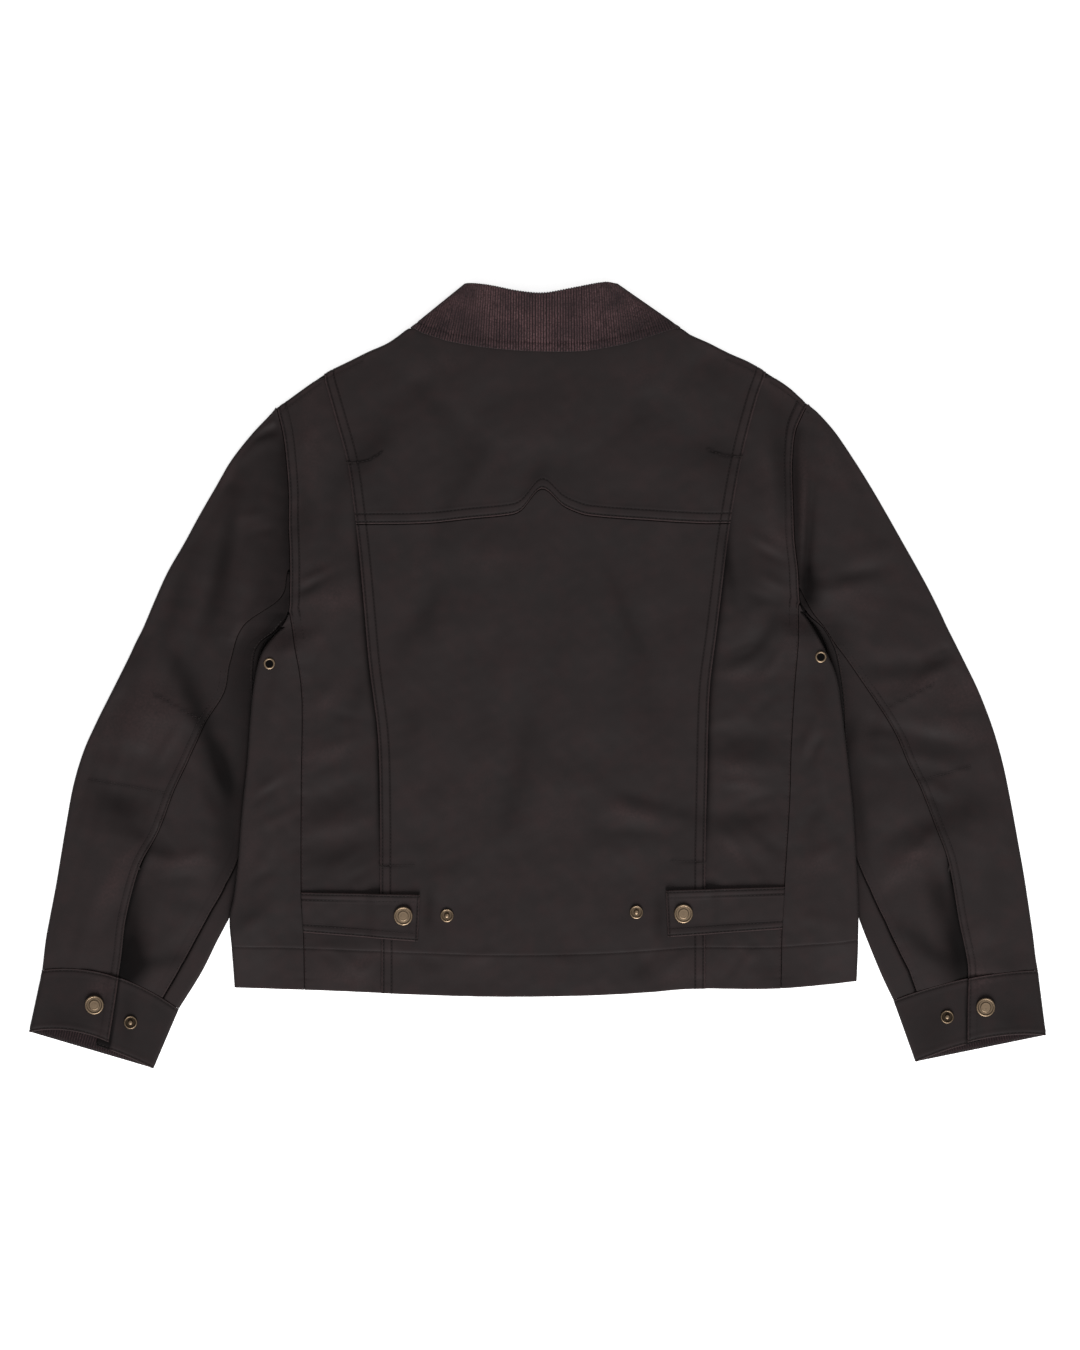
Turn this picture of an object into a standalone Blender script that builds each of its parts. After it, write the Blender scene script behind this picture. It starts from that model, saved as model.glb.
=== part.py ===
"""A cropped waxed cotton jacket that lies flat on its front, so that its back faces up.

+X runs across the back, +Y from the hem to the collar and +Z up from the surface that it lies on.
Every cloth piece is a wall lofted through rows. Tables are in millimetres: `half` is a distance
from the centre back line, positive on both sides, and `y` is a height above the middle of the hem.
"""

import bisect
import math
from dataclasses import dataclass

import bmesh
import bpy

MM = 0.001
CENTRE_X = -6.76  # middle of the whole outline, which is the part's origin
CENTRE_Y = 288.25

# Cloth
CLOTH = 2.2  # waxed cotton with its lining
CORDUROY = 2.0
CUFF_LINING = 1.5
SEAM_GAP = 0.3
SLEEVE_GAP = 0.5
NECK_GAP = 0.7
STAND_GAP = 2.4
LAP_GAP = 0.4
REST_GAP = 0.35

# Heights of the flattened tubes, from the lower face of the lower layer to the top
EDGE_HEIGHT = 6.0
BODY_LOFT = 7.6
SLEEVE_LOFT = 8.3
CUFF_EDGE_HEIGHT = 6.6
UNDER_CUFF_LOFT = 6.7
CUFF_FLAP_LOFT = 9.3
SLEEVE_LIFT = 6.9  # how far the side of the body is lifted by the sleeve under it
LEAF_LIFT = CORDUROY + LAP_GAP  # how far the fronts are lifted by the collar under them

# Body
UNDERLAP = 10.0  # side back that runs on under the centre back
PLEAT_STRIP = 11.0
FRONT_LAP = 12.0
NECK_HALF = 122.0
NECK_Y = 603.0
SHOULDER_SLOPE = 0.87  # cosine of the shoulder line's slope
TURN_ANGLES = (60.0, 30.0, 6.0)

# Collar
COLLAR_FOLD_RADIUS = 2.2
COLLAR_EDGE_RADIUS = 6.2
COLLAR_INSIDE = 6.0  # corduroy that turns in past the fold before the stand begins

# Metal
CAP_RADIUS = 8.5
STUD_RADIUS = 6.0
EYELET_RADIUS = 5.4
EYELET_BARREL = 3.5
EYELET_BORE = 3.0
EYELET_HOLE = 3.9
ROUND_STEPS = 16

LOW_ROWS = (48, 94, 118, 138, 155, 172, 190, 208, 229, 252, 275, 298, 316)
SIDE_COLUMNS = (0.0, 0.2, 0.4, 0.6, 0.8, 1.0)
FRONT_HALVES = (157.0, 125.0, 94.0, 61.0, 26.0, 14.0, -FRONT_LAP)
LEAF_SHARES = (0.195, 0.487, 0.796, 1.0)  # of the way from the wing to the centre front
CENTRE_CELLS = 12


def through(knots):
    """Smooth function through (place, value) knots, level beyond both ends."""
    places, values = zip(*sorted(knots))
    last = len(places) - 1
    slopes = []
    for i in range(last + 1):
        before, after = max(i - 1, 0), min(i + 1, last)
        slopes.append((values[after] - values[before]) / (places[after] - places[before]))

    def value(at):
        at = min(max(at, places[0]), places[last])
        i = min(bisect.bisect_right(places, at), last) - 1
        span = places[i + 1] - places[i]
        t = (at - places[i]) / span
        rise = 3 * t**2 - 2 * t**3
        start = (t**3 - 2 * t**2 + t) * slopes[i] * span
        end = (t**3 - t**2) * slopes[i + 1] * span
        return values[i] + rise * (values[i + 1] - values[i]) + start + end

    return value


def ramp(at, start, end):
    """0 before start, 1 after end and a soft rise between them."""
    t = min(max((at - start) / (end - start), 0.0), 1.0)
    return t * t * (3 - 2 * t)


def mix(a, b, t):
    return a + (b - a) * t


@dataclass(frozen=True)
class SleeveRow:
    """A line across a sleeve, from its outer to its inner edge."""

    outer_half: float
    outer_y: float
    inner_half: float  # unused at the armhole, where the armhole's own curve gives it
    inner_y: float
    closed: float = 1.0  # 0 where the sleeve is open towards the body
    inseam: float = 5.0  # from the inner edge to the inseam
    bow: float = 0.0  # how far the middle of the upper layer is drawn up
    drop: float = 0.0  # how far the under sleeve lies below the top sleeve's level
    underlap: float = 0.0


@dataclass(frozen=True)
class Side:
    """The outlines of one side of the jacket."""

    name: str
    sign: int
    edge: tuple  # (y, half) up the side, from the hem to the underarm
    seam: tuple  # (y, half) of the seam between side back and side panel
    armhole: tuple  # (y, half)
    pleat: tuple  # (y, half) of the centre back's free edge
    shoulder: tuple  # (half, y)
    underarm: tuple  # (seam y, edge half, edge y, pleat y)
    arm_rows: tuple  # (armhole y, pleat y)
    yoke_row: int  # which arm row the yoke begins at
    lift_top: float  # where the sleeve under the side has ended
    sleeve: tuple
    back_seam: tuple  # (y, half)
    seam_start: int  # first sleeve row of the under sleeve
    cuff_outer: tuple  # ((half, y) at the cuff seam, (half, y) at the mouth)
    cuff_inner: tuple
    flap_end: tuple  # share of the way across at the cuff seam and at the mouth
    flap_bow: tuple
    under_bow: tuple
    tab: tuple  # (half, y): seam end top, seam end bottom, free end top, free end bottom
    tab_cap: tuple  # (half, y) of each piece of metal
    hem_stud: tuple
    cuff_cap: tuple
    cuff_stud: tuple
    eyelet: tuple


LEFT = Side(
    name="left",
    sign=-1,
    edge=((10, 279), (41, 281), (70, 283), (91, 279), (125, 275), (164, 272), (212, 267),
          (254, 264), (287, 260), (311, 253), (332, 237)),
    seam=((7, 216), (58, 217), (94, 219), (181, 219), (260, 218), (288, 220), (317, 225),
          (344, 229.5)),
    armhole=((332, 237), (344, 230.5), (369, 229), (397, 229), (424, 230), (451, 230),
             (479, 232), (504, 235), (529, 241)),
    pleat=((4, 147), (52, 147), (94, 148), (155, 148), (234, 150), (300, 158), (379, 165),
           (442, 172), (482, 178), (519, 188), (558, 199)),
    shoulder=((122, 601), (140, 588), (158, 580), (176, 571), (194, 562), (212, 550),
              (230, 537), (241, 529)),
    underarm=(344, 237, 332, 334),
    arm_rows=((358, 358), (382, 380), (408, 402), (432, 424), (457, 450), (481, 478),
              (504, 505), (520, 530)),
    yoke_row=3,
    lift_top=334,
    sleeve=(
        SleeveRow(249, 521, 0, 520, closed=0),
        SleeveRow(264, 505, 0, 504, closed=0),
        SleeveRow(282, 482, 0, 481, closed=0),
        SleeveRow(296, 458, 0, 457, closed=0),
        SleeveRow(311, 432, 0, 432, closed=0),
        SleeveRow(324, 408, 0, 408, closed=0),
        SleeveRow(339, 382, 0, 382, closed=0),
        SleeveRow(350, 358, 0, 358, closed=0),
        SleeveRow(361, 332, 237.6, 332, inseam=2.4),
        SleeveRow(368, 318, 251, 318),
        SleeveRow(375, 303, 256, 302, inseam=6),
        SleeveRow(390, 273, 254, 262, inseam=8),
        SleeveRow(403, 247, 253, 230, inseam=10),
        SleeveRow(415, 220, 254, 198, inseam=11),
        SleeveRow(424, 190, 257, 165, inseam=12),
        SleeveRow(430, 158, 262, 131, inseam=10),
        SleeveRow(435, 128, 270, 98, inseam=17, bow=1, drop=2.6),
        SleeveRow(440, 98, 283, 72, inseam=18, bow=2, drop=2.6, underlap=8),
        SleeveRow(445, 72, 295, 49, inseam=18, bow=4, drop=2.6, underlap=8),
        SleeveRow(449, 50, 309, 21, inseam=18, bow=8, drop=2.6, underlap=8),
        SleeveRow(452, 24, 329, -11, inseam=15, bow=13.5, drop=2.6, underlap=8),
    ),
    back_seam=((382, 231.2), (358, 238), (334, 270), (300, 283), (274, 288), (248, 304),
               (235, 310), (209, 322), (183, 334), (151, 346), (121, 362), (93, 371),
               (66, 377), (39, 380), (18, 383)),
    seam_start=6,
    cuff_outer=((452, 24), (464, -32)),
    cuff_inner=((329, -11), (352, -65)),
    flap_end=(0.565, 0.647),
    flap_bow=(13.5, 14),
    under_bow=(13.5, 6),
    tab=((219, 94), (217, 58), (112, 92), (114, 50)),
    tab_cap=(127, 73),
    hem_stud=(88, 73),
    cuff_cap=(404, -7),
    cuff_stud=(372, -23),
    eyelet=(247, 299),
)

RIGHT = Side(
    name="right",
    sign=1,
    edge=((13, 280), (50, 281), (86, 281), (125, 279), (172, 276), (217, 271), (259, 266),
          (289, 261), (314, 250), (346, 232)),
    seam=((10, 212), (62, 213), (99, 215), (129, 217), (181, 220), (220, 221), (279, 224),
          (319, 227), (352, 228)),
    armhole=((346, 232), (354, 229), (383, 227), (410, 224), (437, 223), (464, 222),
             (482, 222), (508, 225), (533, 236)),
    pleat=((7, 144), (121, 144), (176, 145), (226, 146), (279, 148), (327, 154), (377, 160),
           (424, 166), (485, 177), (536, 190), (561, 199)),
    shoulder=((122, 601), (130, 595), (148, 587), (166, 578), (184, 570), (202, 559),
              (220, 547), (236, 532)),
    underarm=(352, 232, 346, 340),
    arm_rows=((366, 362), (388, 384), (411, 404), (434, 425), (458, 451), (481, 479),
              (506, 507), (524, 533)),
    yoke_row=3,
    lift_top=346,
    sleeve=(
        SleeveRow(246, 524, 0, 524, closed=0),
        SleeveRow(261, 507, 0, 506, closed=0),
        SleeveRow(278, 482, 0, 481, closed=0),
        SleeveRow(293, 458, 0, 458, closed=0),
        SleeveRow(307, 434, 0, 434, closed=0),
        SleeveRow(320, 411, 0, 411, closed=0),
        SleeveRow(333, 388, 0, 388, closed=0),
        SleeveRow(345, 366, 0, 366, closed=0),
        SleeveRow(355, 346, 232.6, 346, inseam=2.4),
        SleeveRow(361, 333, 244, 332),
        SleeveRow(368, 319, 251.5, 318, inseam=6),
        SleeveRow(376, 303, 255, 302, inseam=8),
        SleeveRow(390, 274, 258, 266, inseam=10),
        SleeveRow(403, 240, 258, 230, inseam=11),
        SleeveRow(412, 208, 260, 197, inseam=12),
        SleeveRow(419, 174, 263, 162, inseam=12),
        SleeveRow(425, 141, 267, 128, inseam=11),
        SleeveRow(431, 107, 274, 95, inseam=18, bow=1, drop=2.6),
        SleeveRow(436, 74, 284, 65, inseam=22, bow=1.5, drop=2.6, underlap=8),
        SleeveRow(439, 53, 293, 42, inseam=23, bow=3, drop=2.6, underlap=8),
        SleeveRow(441, 36, 303, 18, inseam=24, bow=4.5, drop=2.6, underlap=8),
        SleeveRow(443, 24, 313, -3, inseam=21, bow=6, drop=2.6, underlap=8),
    ),
    back_seam=((366, 229.5), (346, 240), (332, 251), (318, 260), (302, 272), (277, 289),
               (256, 303), (234, 316), (212, 325), (186, 338), (150, 352), (122, 362),
               (66, 372), (32, 379), (15, 380)),
    seam_start=7,
    cuff_outer=((443, 24), (450.5, -35)),
    cuff_inner=((313, -3), (333, -59)),
    flap_end=(0.485, 0.6085),
    flap_bow=(6, 9),
    under_bow=(6, 7),
    tab=((215, 99), (213, 61), (108, 96), (110, 54)),
    tab_cap=(124, 75),
    hem_stud=(82, 76),
    cuff_cap=(395, -9),
    cuff_stud=(361, -18),
    eyelet=(247, 305),
)

SIDES = (LEFT, RIGHT)

HEM = through(((-279, 8), (-212, 6), (-140, 3), (-50, 0), (40, 1), (94, 4), (130, 7), (202, 7),
               (256, 11), (281, 14)))
YOKE_SEAM = through(((-168, 424), (-109, 425), (-68, 429), (-30, 433), (-21, 437), (-3, 456),
                     (16, 441), (26, 436), (39, 432), (90, 428), (140, 425), (165, 425)))
FRONT_NECK = through(((0, 563.5), (14, 563.5), (26, 566), (61, 575), (100, 592), (NECK_HALF, 600)))
BACK_NECK = through(((0, NECK_Y), (98, NECK_Y), (112, 600.5), (NECK_HALF, 600)))
FALL_EDGE = ((-121, 601), (-104, 593), (-76, 586), (-40, 581), (0, 579), (40, 580), (76, 587),
             (104, 596), (122, 601))
FALL_FOLD = ((-73, 640), (-50, 637), (-25, 632), (-2, 630), (22, 634), (45, 638.5), (58, 640.5),
             (66, 640))
LEAF_POINT = (38, 530)  # the collar's corner on the fronts
LEAF_END = (3, 598)
WING = (121.5, 601)


@dataclass(frozen=True)
class Fold:
    """A soft ridge, or a trough where its height is negative."""

    x: float
    y: float
    heading: float  # degrees from +X
    length: float
    width: float
    height: float

    def rise(self, x, y):
        """Height that the fold adds at (x, y)."""
        turn = math.radians(self.heading)
        along = (x - self.x) * math.cos(turn) + (y - self.y) * math.sin(turn)
        across = (y - self.y) * math.cos(turn) - (x - self.x) * math.sin(turn)
        reach = 2 * along / self.length
        if abs(reach) >= 1:
            return 0.0
        return self.height * math.exp(-((across / self.width) ** 2)) * (1 - reach**2) ** 2


BODY_FOLDS = (
    Fold(-20, 207, 77, 240, 15, -1.0),
    Fold(-88, 450, 71, 170, 14, -1.8),
    Fold(82, 311, 104, 230, 15, -1.6),
    Fold(79, 164, -20, 90, 12, 2.0),
    Fold(-185, 183, 21, 100, 12, -2.0),
    Fold(-187, 155, 10, 90, 10, 2.0),
    Fold(-196, 363, 17, 80, 14, 2.4),
    Fold(180, 229, 0, 100, 12, -1.8),
    Fold(181, 207, -5, 100, 10, 2.0),
    Fold(178, 161, 7, 100, 12, -2.0),
    Fold(203, 440, 105, 130, 10, 2.6),
)

SLEEVE_FOLDS = (
    Fold(-290, 371, 78, 150, 13, -3.0),
    Fold(-273, 372, 80, 130, 10, 2.2),
    Fold(-311, 275, 108, 130, 13, -2.8),
    Fold(-292, 208, 107, 100, 11, -2.4),
    Fold(-346, 253, 20, 110, 22, 2.6),
    Fold(-369, 158, 130, 110, 14, -2.6),
    Fold(-326, 118, 3, 90, 12, 2.2),
    Fold(-382, 109, 51, 80, 12, 2.0),
    Fold(278, 379, 7, 110, 12, -2.8),
    Fold(315, 298, -3, 130, 13, -2.6),
    Fold(337, 277, 21, 80, 10, 2.2),
    Fold(330, 226, -9, 150, 12, -2.8),
    Fold(360, 244, -10, 100, 13, 2.4),
    Fold(360, 163, 30, 90, 16, -2.2),
    Fold(326, 116, 38, 80, 13, 2.4),
)


def fold_rise(folds, x, y):
    return sum(fold.rise(x, y) for fold in folds)


CURVES = {
    side.name: {
        "edge": through(side.edge),
        "seam": through(side.seam),
        "armhole": through(side.armhole),
        "pleat": through(side.pleat),
        "shoulder": through(side.shoulder),
        "back_seam": through(side.back_seam),
    }
    for side in SIDES
}


def side_of(x):
    return LEFT if x < 0 else RIGHT


def curve(side, name, at):
    return CURVES[side.name][name](at)


# The body's layers


def side_distance(x, y):
    """How far (x, y) lies inside the folded side edge."""
    side = side_of(x)
    _, edge_half, edge_y, _ = side.underarm
    if y <= edge_y:
        return max(curve(side, "edge", y) - abs(x), 0.0)
    return math.hypot(max(edge_half - abs(x), 0.0), y - edge_y)


def edge_distance(x, y):
    """How far (x, y) lies inside the nearest folded edge, side or shoulder."""
    half = abs(x)
    if half >= NECK_HALF:
        shoulder = (curve(side_of(x), "shoulder", half) - y) * SHOULDER_SLOPE
    else:
        shoulder = math.hypot(NECK_HALF - half, WING[1] - y)
    return max(min(side_distance(x, y), shoulder), 0.0)


def leaf_edge(half):
    """Lower edge of the collar leaf under the fronts."""
    slope = (WING[1] - LEAF_POINT[1]) / (WING[0] - LEAF_POINT[0])
    return LEAF_POINT[1] + max(half - LEAF_POINT[0], 0.0) * slope


def lift(x, y):
    """Height of the lower layer's underside: what lies under the body raises it."""
    side = side_of(x)
    present = ramp(y, -4, 72) * (1 - ramp(y, side.lift_top - 26, side.lift_top))
    over_sleeve = SLEEVE_LIFT * present * (1 - ramp(side_distance(x, y), 18, 52))
    edge = leaf_edge(abs(x))
    return over_sleeve + LEAF_LIFT * ramp(y, edge - 52, edge - 22)


def loft(x, y):
    """Height of the back's outer face above the underside of the fronts."""
    distance = edge_distance(x, y)
    folds = fold_rise(BODY_FOLDS, x, y) * ramp(distance, 4, 30)
    return mix(EDGE_HEIGHT, BODY_LOFT, ramp(distance, 3, 40)) + folds


def back_height(x, y):
    return lift(x, y) + loft(x, y)


def centre_lap(x, y):
    """Rise of the centre back over the side back, highest along its free edges."""
    inside = curve(side_of(x), "pleat", y) - abs(x)
    return (CLOTH + LAP_GAP) * (1 - 0.69 * ramp(inside, 12, 50))


def centre_height(x, y):
    return back_height(x, y) + centre_lap(x, y)


def tab_height(x, y):
    """Level of a waist tab's underside, which rises over the centre back's edge."""
    outside = abs(x) - curve(side_of(x), "pleat", y)
    lap = centre_lap(x, y) * (1 - ramp(outside, 2, 16))
    return back_height(x, y) + lap + REST_GAP


def shoulder_turn(x, angle, under=0.0):
    """Outer and inner point where the cloth turns over the shoulder; +90 degrees is the top.

    under is how far the cloth lies inside the shoulder line, beneath another layer.
    """
    side, half = side_of(x), abs(x)
    step = 2.0
    rise = curve(side, "shoulder", half + step) - curve(side, "shoulder", half - step)
    length = math.hypot(2 * step, rise)
    inward = (rise / length * side.sign, -2 * step / length)
    edge = (x, curve(side, "shoulder", half))
    radius = EDGE_HEIGHT / 2
    middle = lift(edge[0] + inward[0] * radius, edge[1] + inward[1] * radius) + radius
    turn = math.radians(angle)

    def at(reach):
        inset = under + radius - reach * math.cos(turn)
        z = middle + reach * math.sin(turn)
        return (edge[0] + inward[0] * inset, edge[1] + inward[1] * inset, z)

    return at(radius), at(radius - CLOTH)


# Building walls


def material(name, colour, roughness, metallic=0.0):
    """Principled material of one colour, given as linear red, green and blue."""
    made = bpy.data.materials.new(name)
    made.use_nodes = True
    shader = made.node_tree.nodes["Principled BSDF"]
    shader.inputs["Base Color"].default_value = (*colour, 1.0)
    shader.inputs["Roughness"].default_value = roughness
    shader.inputs["Metallic"].default_value = metallic
    return made


def add_object(name, mesh, finish, collection):
    made = bpy.data.objects.new(name, mesh)
    mesh.materials.append(finish)
    collection.objects.link(made)
    return made


def wall(name, rows, finish, collection):
    """A wall lofted through rows of (outer point, inner point) pairs, closed round its rim.

    A row may be longer than the one before it; the wall then spans the pairs that both have.
    """
    mesh = bpy.data.meshes.new(name)
    build = bmesh.new()
    layers = []
    for face in (0, 1):
        layer = []
        for row in rows:
            points = (((p[face][0] - CENTRE_X) * MM, (p[face][1] - CENTRE_Y) * MM, p[face][2] * MM)
                      for p in row)
            layer.append([build.verts.new(point) for point in points])
        layers.append(layer)
    rim = {}
    for i, (row, following) in enumerate(zip(rows, rows[1:])):
        for j in range(min(len(row), len(following)) - 1):
            corners = ((i, j), (i, j + 1), (i + 1, j + 1), (i + 1, j))
            for layer in layers:
                a, b, c, d = (layer[k][m] for k, m in corners)
                build.faces.new((a, b, c))
                build.faces.new((a, c, d))
            for a, b in zip(corners, corners[1:] + corners[:1]):
                if (b, a) in rim:
                    del rim[b, a]
                else:
                    rim[a, b] = True
    outer, inner = layers
    for (i, j), (k, m) in rim:
        build.faces.new((outer[i][j], inner[i][j], inner[k][m], outer[k][m]))
    for layer in layers:
        for vert in [v for row in layer for v in row if not v.link_faces]:
            build.verts.remove(vert)
    bmesh.ops.recalc_face_normals(build, faces=build.faces)
    build.to_mesh(mesh)
    build.free()
    mesh.shade_smooth()
    mesh.set_sharp_from_angle(angle=math.radians(50))
    return add_object(name, mesh, finish, collection)


def sheet_point(x, y, top, thickness=CLOTH):
    """Outer and inner point of a wall that faces up."""
    return (x, y, top), (x, y, top - thickness)


def floor_point(x, y, bottom, thickness=CLOTH):
    """Outer and inner point of a wall that faces down."""
    return (x, y, bottom), (x, y, bottom + thickness)


def turned(name, profile, place, finish, collection, closed=False):
    """A round piece from its (radius, height) profile, which runs down its outer side."""
    mesh = bpy.data.meshes.new(name)
    points = [(radius * MM, 0, height * MM) for radius, height in profile]
    edges = [(i, i + 1) for i in range(len(points) - 1)]
    if closed:
        edges.append((len(points) - 1, 0))
    mesh.from_pydata(points, edges, [])
    made = add_object(name, mesh, finish, collection)
    made.location = ((place[0] - CENTRE_X) * MM, (place[1] - CENTRE_Y) * MM, place[2] * MM)
    screw = made.modifiers.new("Turn", "SCREW")
    screw.steps = screw.render_steps = ROUND_STEPS
    screw.use_merge_vertices = True
    screw.merge_threshold = 0.00001
    screw.use_smooth_shade = True
    return made


# Body panels


def side_rows(side, low_rows):
    """(outer half, outer y, pleat half, pleat y) of each row of one side, below the shoulder."""
    hem_outer = HEM(side.sign * curve(side, "seam", 10))
    hem_pleat = HEM(side.sign * curve(side, "pleat", 5))
    rows = [(curve(side, "seam", 10), hem_outer, curve(side, "pleat", 5), hem_pleat)]
    for y in low_rows:
        rows.append((curve(side, "seam", y), y, curve(side, "pleat", y), y))
    seam_y, _, _, pleat_y = side.underarm
    rows.append((curve(side, "seam", seam_y), seam_y, curve(side, "pleat", pleat_y), pleat_y))
    for arm_y, pleat_y in side.arm_rows:
        rows.append((curve(side, "armhole", arm_y), arm_y, curve(side, "pleat", pleat_y), pleat_y))
    return rows


def side_back(side, finish, collection):
    """Side back: from the side-back seam and the armhole in under the centre back."""
    rows = []
    for outer, outer_y, pleat, pleat_y in side_rows(side, LOW_ROWS):
        outer -= SEAM_GAP / 2
        row = []
        for share in SIDE_COLUMNS:
            x, y = side.sign * mix(outer, pleat, share), mix(outer_y, pleat_y, share)
            row.append(sheet_point(x, y, back_height(x, y)))
        x = side.sign * (pleat - UNDERLAP)
        row.append(sheet_point(x, pleat_y, back_height(x, pleat_y)))
        rows.append(row)
    outer, pleat = side.shoulder[-1][0], side.pleat[-1][1]
    halves = [mix(outer, pleat, share) for share in SIDE_COLUMNS] + [pleat - UNDERLAP]
    under = [0.0] * (len(halves) - 2) + [CLOTH + LAP_GAP] * 2
    for angle in (90.0, *TURN_ANGLES):
        rows.append([shoulder_turn(side.sign * half, angle, inset)
                     for half, inset in zip(halves, under)])
    return wall(f"side_back_{side.name}", rows, finish, collection)


def centre_columns(left, right):
    """x of each column of the centre back between its two free edges."""
    inner_left, inner_right = left + PLEAT_STRIP, right - PLEAT_STRIP
    middle = [mix(inner_left, inner_right, i / CENTRE_CELLS) for i in range(CENTRE_CELLS + 1)]
    return [left, *middle, right]


def pleat_row(row):
    """The centre back's (left x, left y, right x, right y) at one row of the side backs."""
    ends = [side_rows(side, LOW_ROWS)[row][2:] for side in SIDES]
    return -ends[0][0], ends[0][1], ends[1][0], ends[1][1]


def back_panel(finish, collection):
    rows = []
    last = len(LOW_ROWS) + 2 + LEFT.yoke_row
    for index in range(last + 1):
        left, left_y, right, right_y = pleat_row(index)
        row = []
        for x in centre_columns(left, right):
            y = mix(left_y, right_y, (x - left) / (right - left))
            if index == 0:
                y = HEM(x)
            elif index == last:
                y = YOKE_SEAM(x) - SEAM_GAP / 2
            row.append(sheet_point(x, y, centre_height(x, y)))
        rows.append(row)
    return wall("back_panel", rows, finish, collection)


def shoulder_lap(point_pair, rise):
    """The pair of points moved up, where the centre back laps over the side back."""
    return tuple((x, y, z + rise) for x, y, z in point_pair)


def back_yoke(finish, collection):
    """Yoke: from the peaked seam up to the shoulders and the neck."""
    first = len(LOW_ROWS) + 2 + LEFT.yoke_row
    last = len(LOW_ROWS) + 1 + len(LEFT.arm_rows)
    top_left, top_right = -LEFT.pleat[-1][1], RIGHT.pleat[-1][1]
    top = centre_columns(top_left, top_right)
    base = pleat_row(first)[1]
    full = LEFT.pleat[-1][0] - base
    rows = []
    for index in range(first, last + 1):
        left, left_y, right, _ = pleat_row(index)
        share = (left_y - base) / full
        row = []
        for x, top_x in zip(centre_columns(left, right), top):
            low = YOKE_SEAM(x) + SEAM_GAP / 2
            y = mix(low, yoke_top(top_x), share)
            row.append(sheet_point(x, y, centre_height(x, y)))
        rows.append(row)
    for number, angle in enumerate((90.0, *TURN_ANGLES)):
        row = []
        for x in top:
            if abs(x) >= NECK_HALF:
                lap = centre_lap(x, yoke_top(x)) * math.sin(math.radians(angle))
                row.append(shoulder_lap(shoulder_turn(x, angle), lap))
            else:
                y = yoke_top(x) - (len(TURN_ANGLES) - number)
                row.append(sheet_point(x, y, centre_height(x, y)))
        rows.append(row)
    return wall("back_yoke", rows, finish, collection)


def yoke_top(x):
    half = abs(x)
    return curve(side_of(x), "shoulder", half) if half >= NECK_HALF else BACK_NECK(half)


def side_panel(side, finish, collection):
    """Side panel: from the seam on the back round the folded side to the seam on the front."""
    seam_y, edge_half, edge_y, _ = side.underarm
    radius = EDGE_HEIGHT / 2
    hem = (curve(side, "seam", 10), curve(side, "edge", 12))
    rows_spec = [(hem[0], HEM(side.sign * hem[0]), hem[1], HEM(side.sign * hem[1]))]
    rows_spec += [(curve(side, "seam", y), y, curve(side, "edge", y), y) for y in LOW_ROWS]
    rows_spec.append((curve(side, "seam", edge_y), edge_y, edge_half, edge_y))
    rows = []
    for seam, y_seam, edge, y_edge in rows_spec:
        flat = []
        for i in range(4):
            half = mix(seam + SEAM_GAP / 2, edge - radius, i / 3)
            flat.append((side.sign * half, mix(y_seam, y_edge, i / 3)))
        row = [sheet_point(x, y, back_height(x, y)) for x, y in flat]
        middle = lift(*flat[-1]) + radius
        for angle in (45, 0, -45):
            turn = math.radians(angle)
            pair = []
            for reach in (radius, radius - CLOTH):
                half = edge - radius + reach * math.cos(turn)
                pair.append((side.sign * half, y_edge, middle + reach * math.sin(turn)))
            row.append(tuple(pair))
        row += [floor_point(x, y, lift(x, y)) for x, y in reversed(flat)]
        rows.append(row)
    ends = curve(side, "seam", seam_y) + SEAM_GAP / 2, curve(side, "armhole", seam_y) - SEAM_GAP / 2
    point = [(side.sign * mix(*ends, i / 3), seam_y) for i in range(4)]
    rows.append([sheet_point(x, y, back_height(x, y)) for x, y in point])
    return wall(f"side_panel_{side.name}", rows, finish, collection)


def front(side, finish, collection):
    """Front: flat on the surface, the left one lapped under the right one's edge."""
    raised = CLOTH + REST_GAP if side is RIGHT else 0.0

    def bottom(half, y):
        x = side.sign * half
        return lift(x, y) + raised * (1 - ramp(half, 14, 26))

    rows = []
    for outer, outer_y, pleat, pleat_y in side_rows(side, LOW_ROWS):
        outer -= SEAM_GAP / 2
        row = []
        for half in (outer, mix(outer, FRONT_HALVES[0], 0.5), *FRONT_HALVES):
            y = mix(outer_y, pleat_y, min((outer - half) / (outer - pleat), 1.0))
            if outer_y < LOW_ROWS[0]:
                y = HEM(side.sign * half)
            row.append(floor_point(side.sign * half, y, bottom(half, y)))
        rows.append(row)
    outer = side.shoulder[-1][0]
    turned_rows = []
    for number, angle in enumerate((90.0, *TURN_ANGLES)):
        row = []
        for half in (outer, mix(outer, FRONT_HALVES[0], 0.5), *FRONT_HALVES):
            if half >= NECK_HALF:
                row.append(shoulder_turn(side.sign * half, -angle))
            else:
                y = FRONT_NECK(abs(half)) - (len(TURN_ANGLES) - number)
                row.append(floor_point(side.sign * half, y, bottom(half, y)))
        turned_rows.append(row)
    between_rows = []
    for low, high in zip(rows[-1], turned_rows[0]):
        x, y = (mix(low[0][i], high[0][i], 0.5) for i in (0, 1))
        between_rows.append(floor_point(x, y, bottom(side.sign * x, y)))
    rows += [between_rows, *turned_rows]
    return wall(f"front_{side.name}", rows, finish, collection)


# Sleeves


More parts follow.
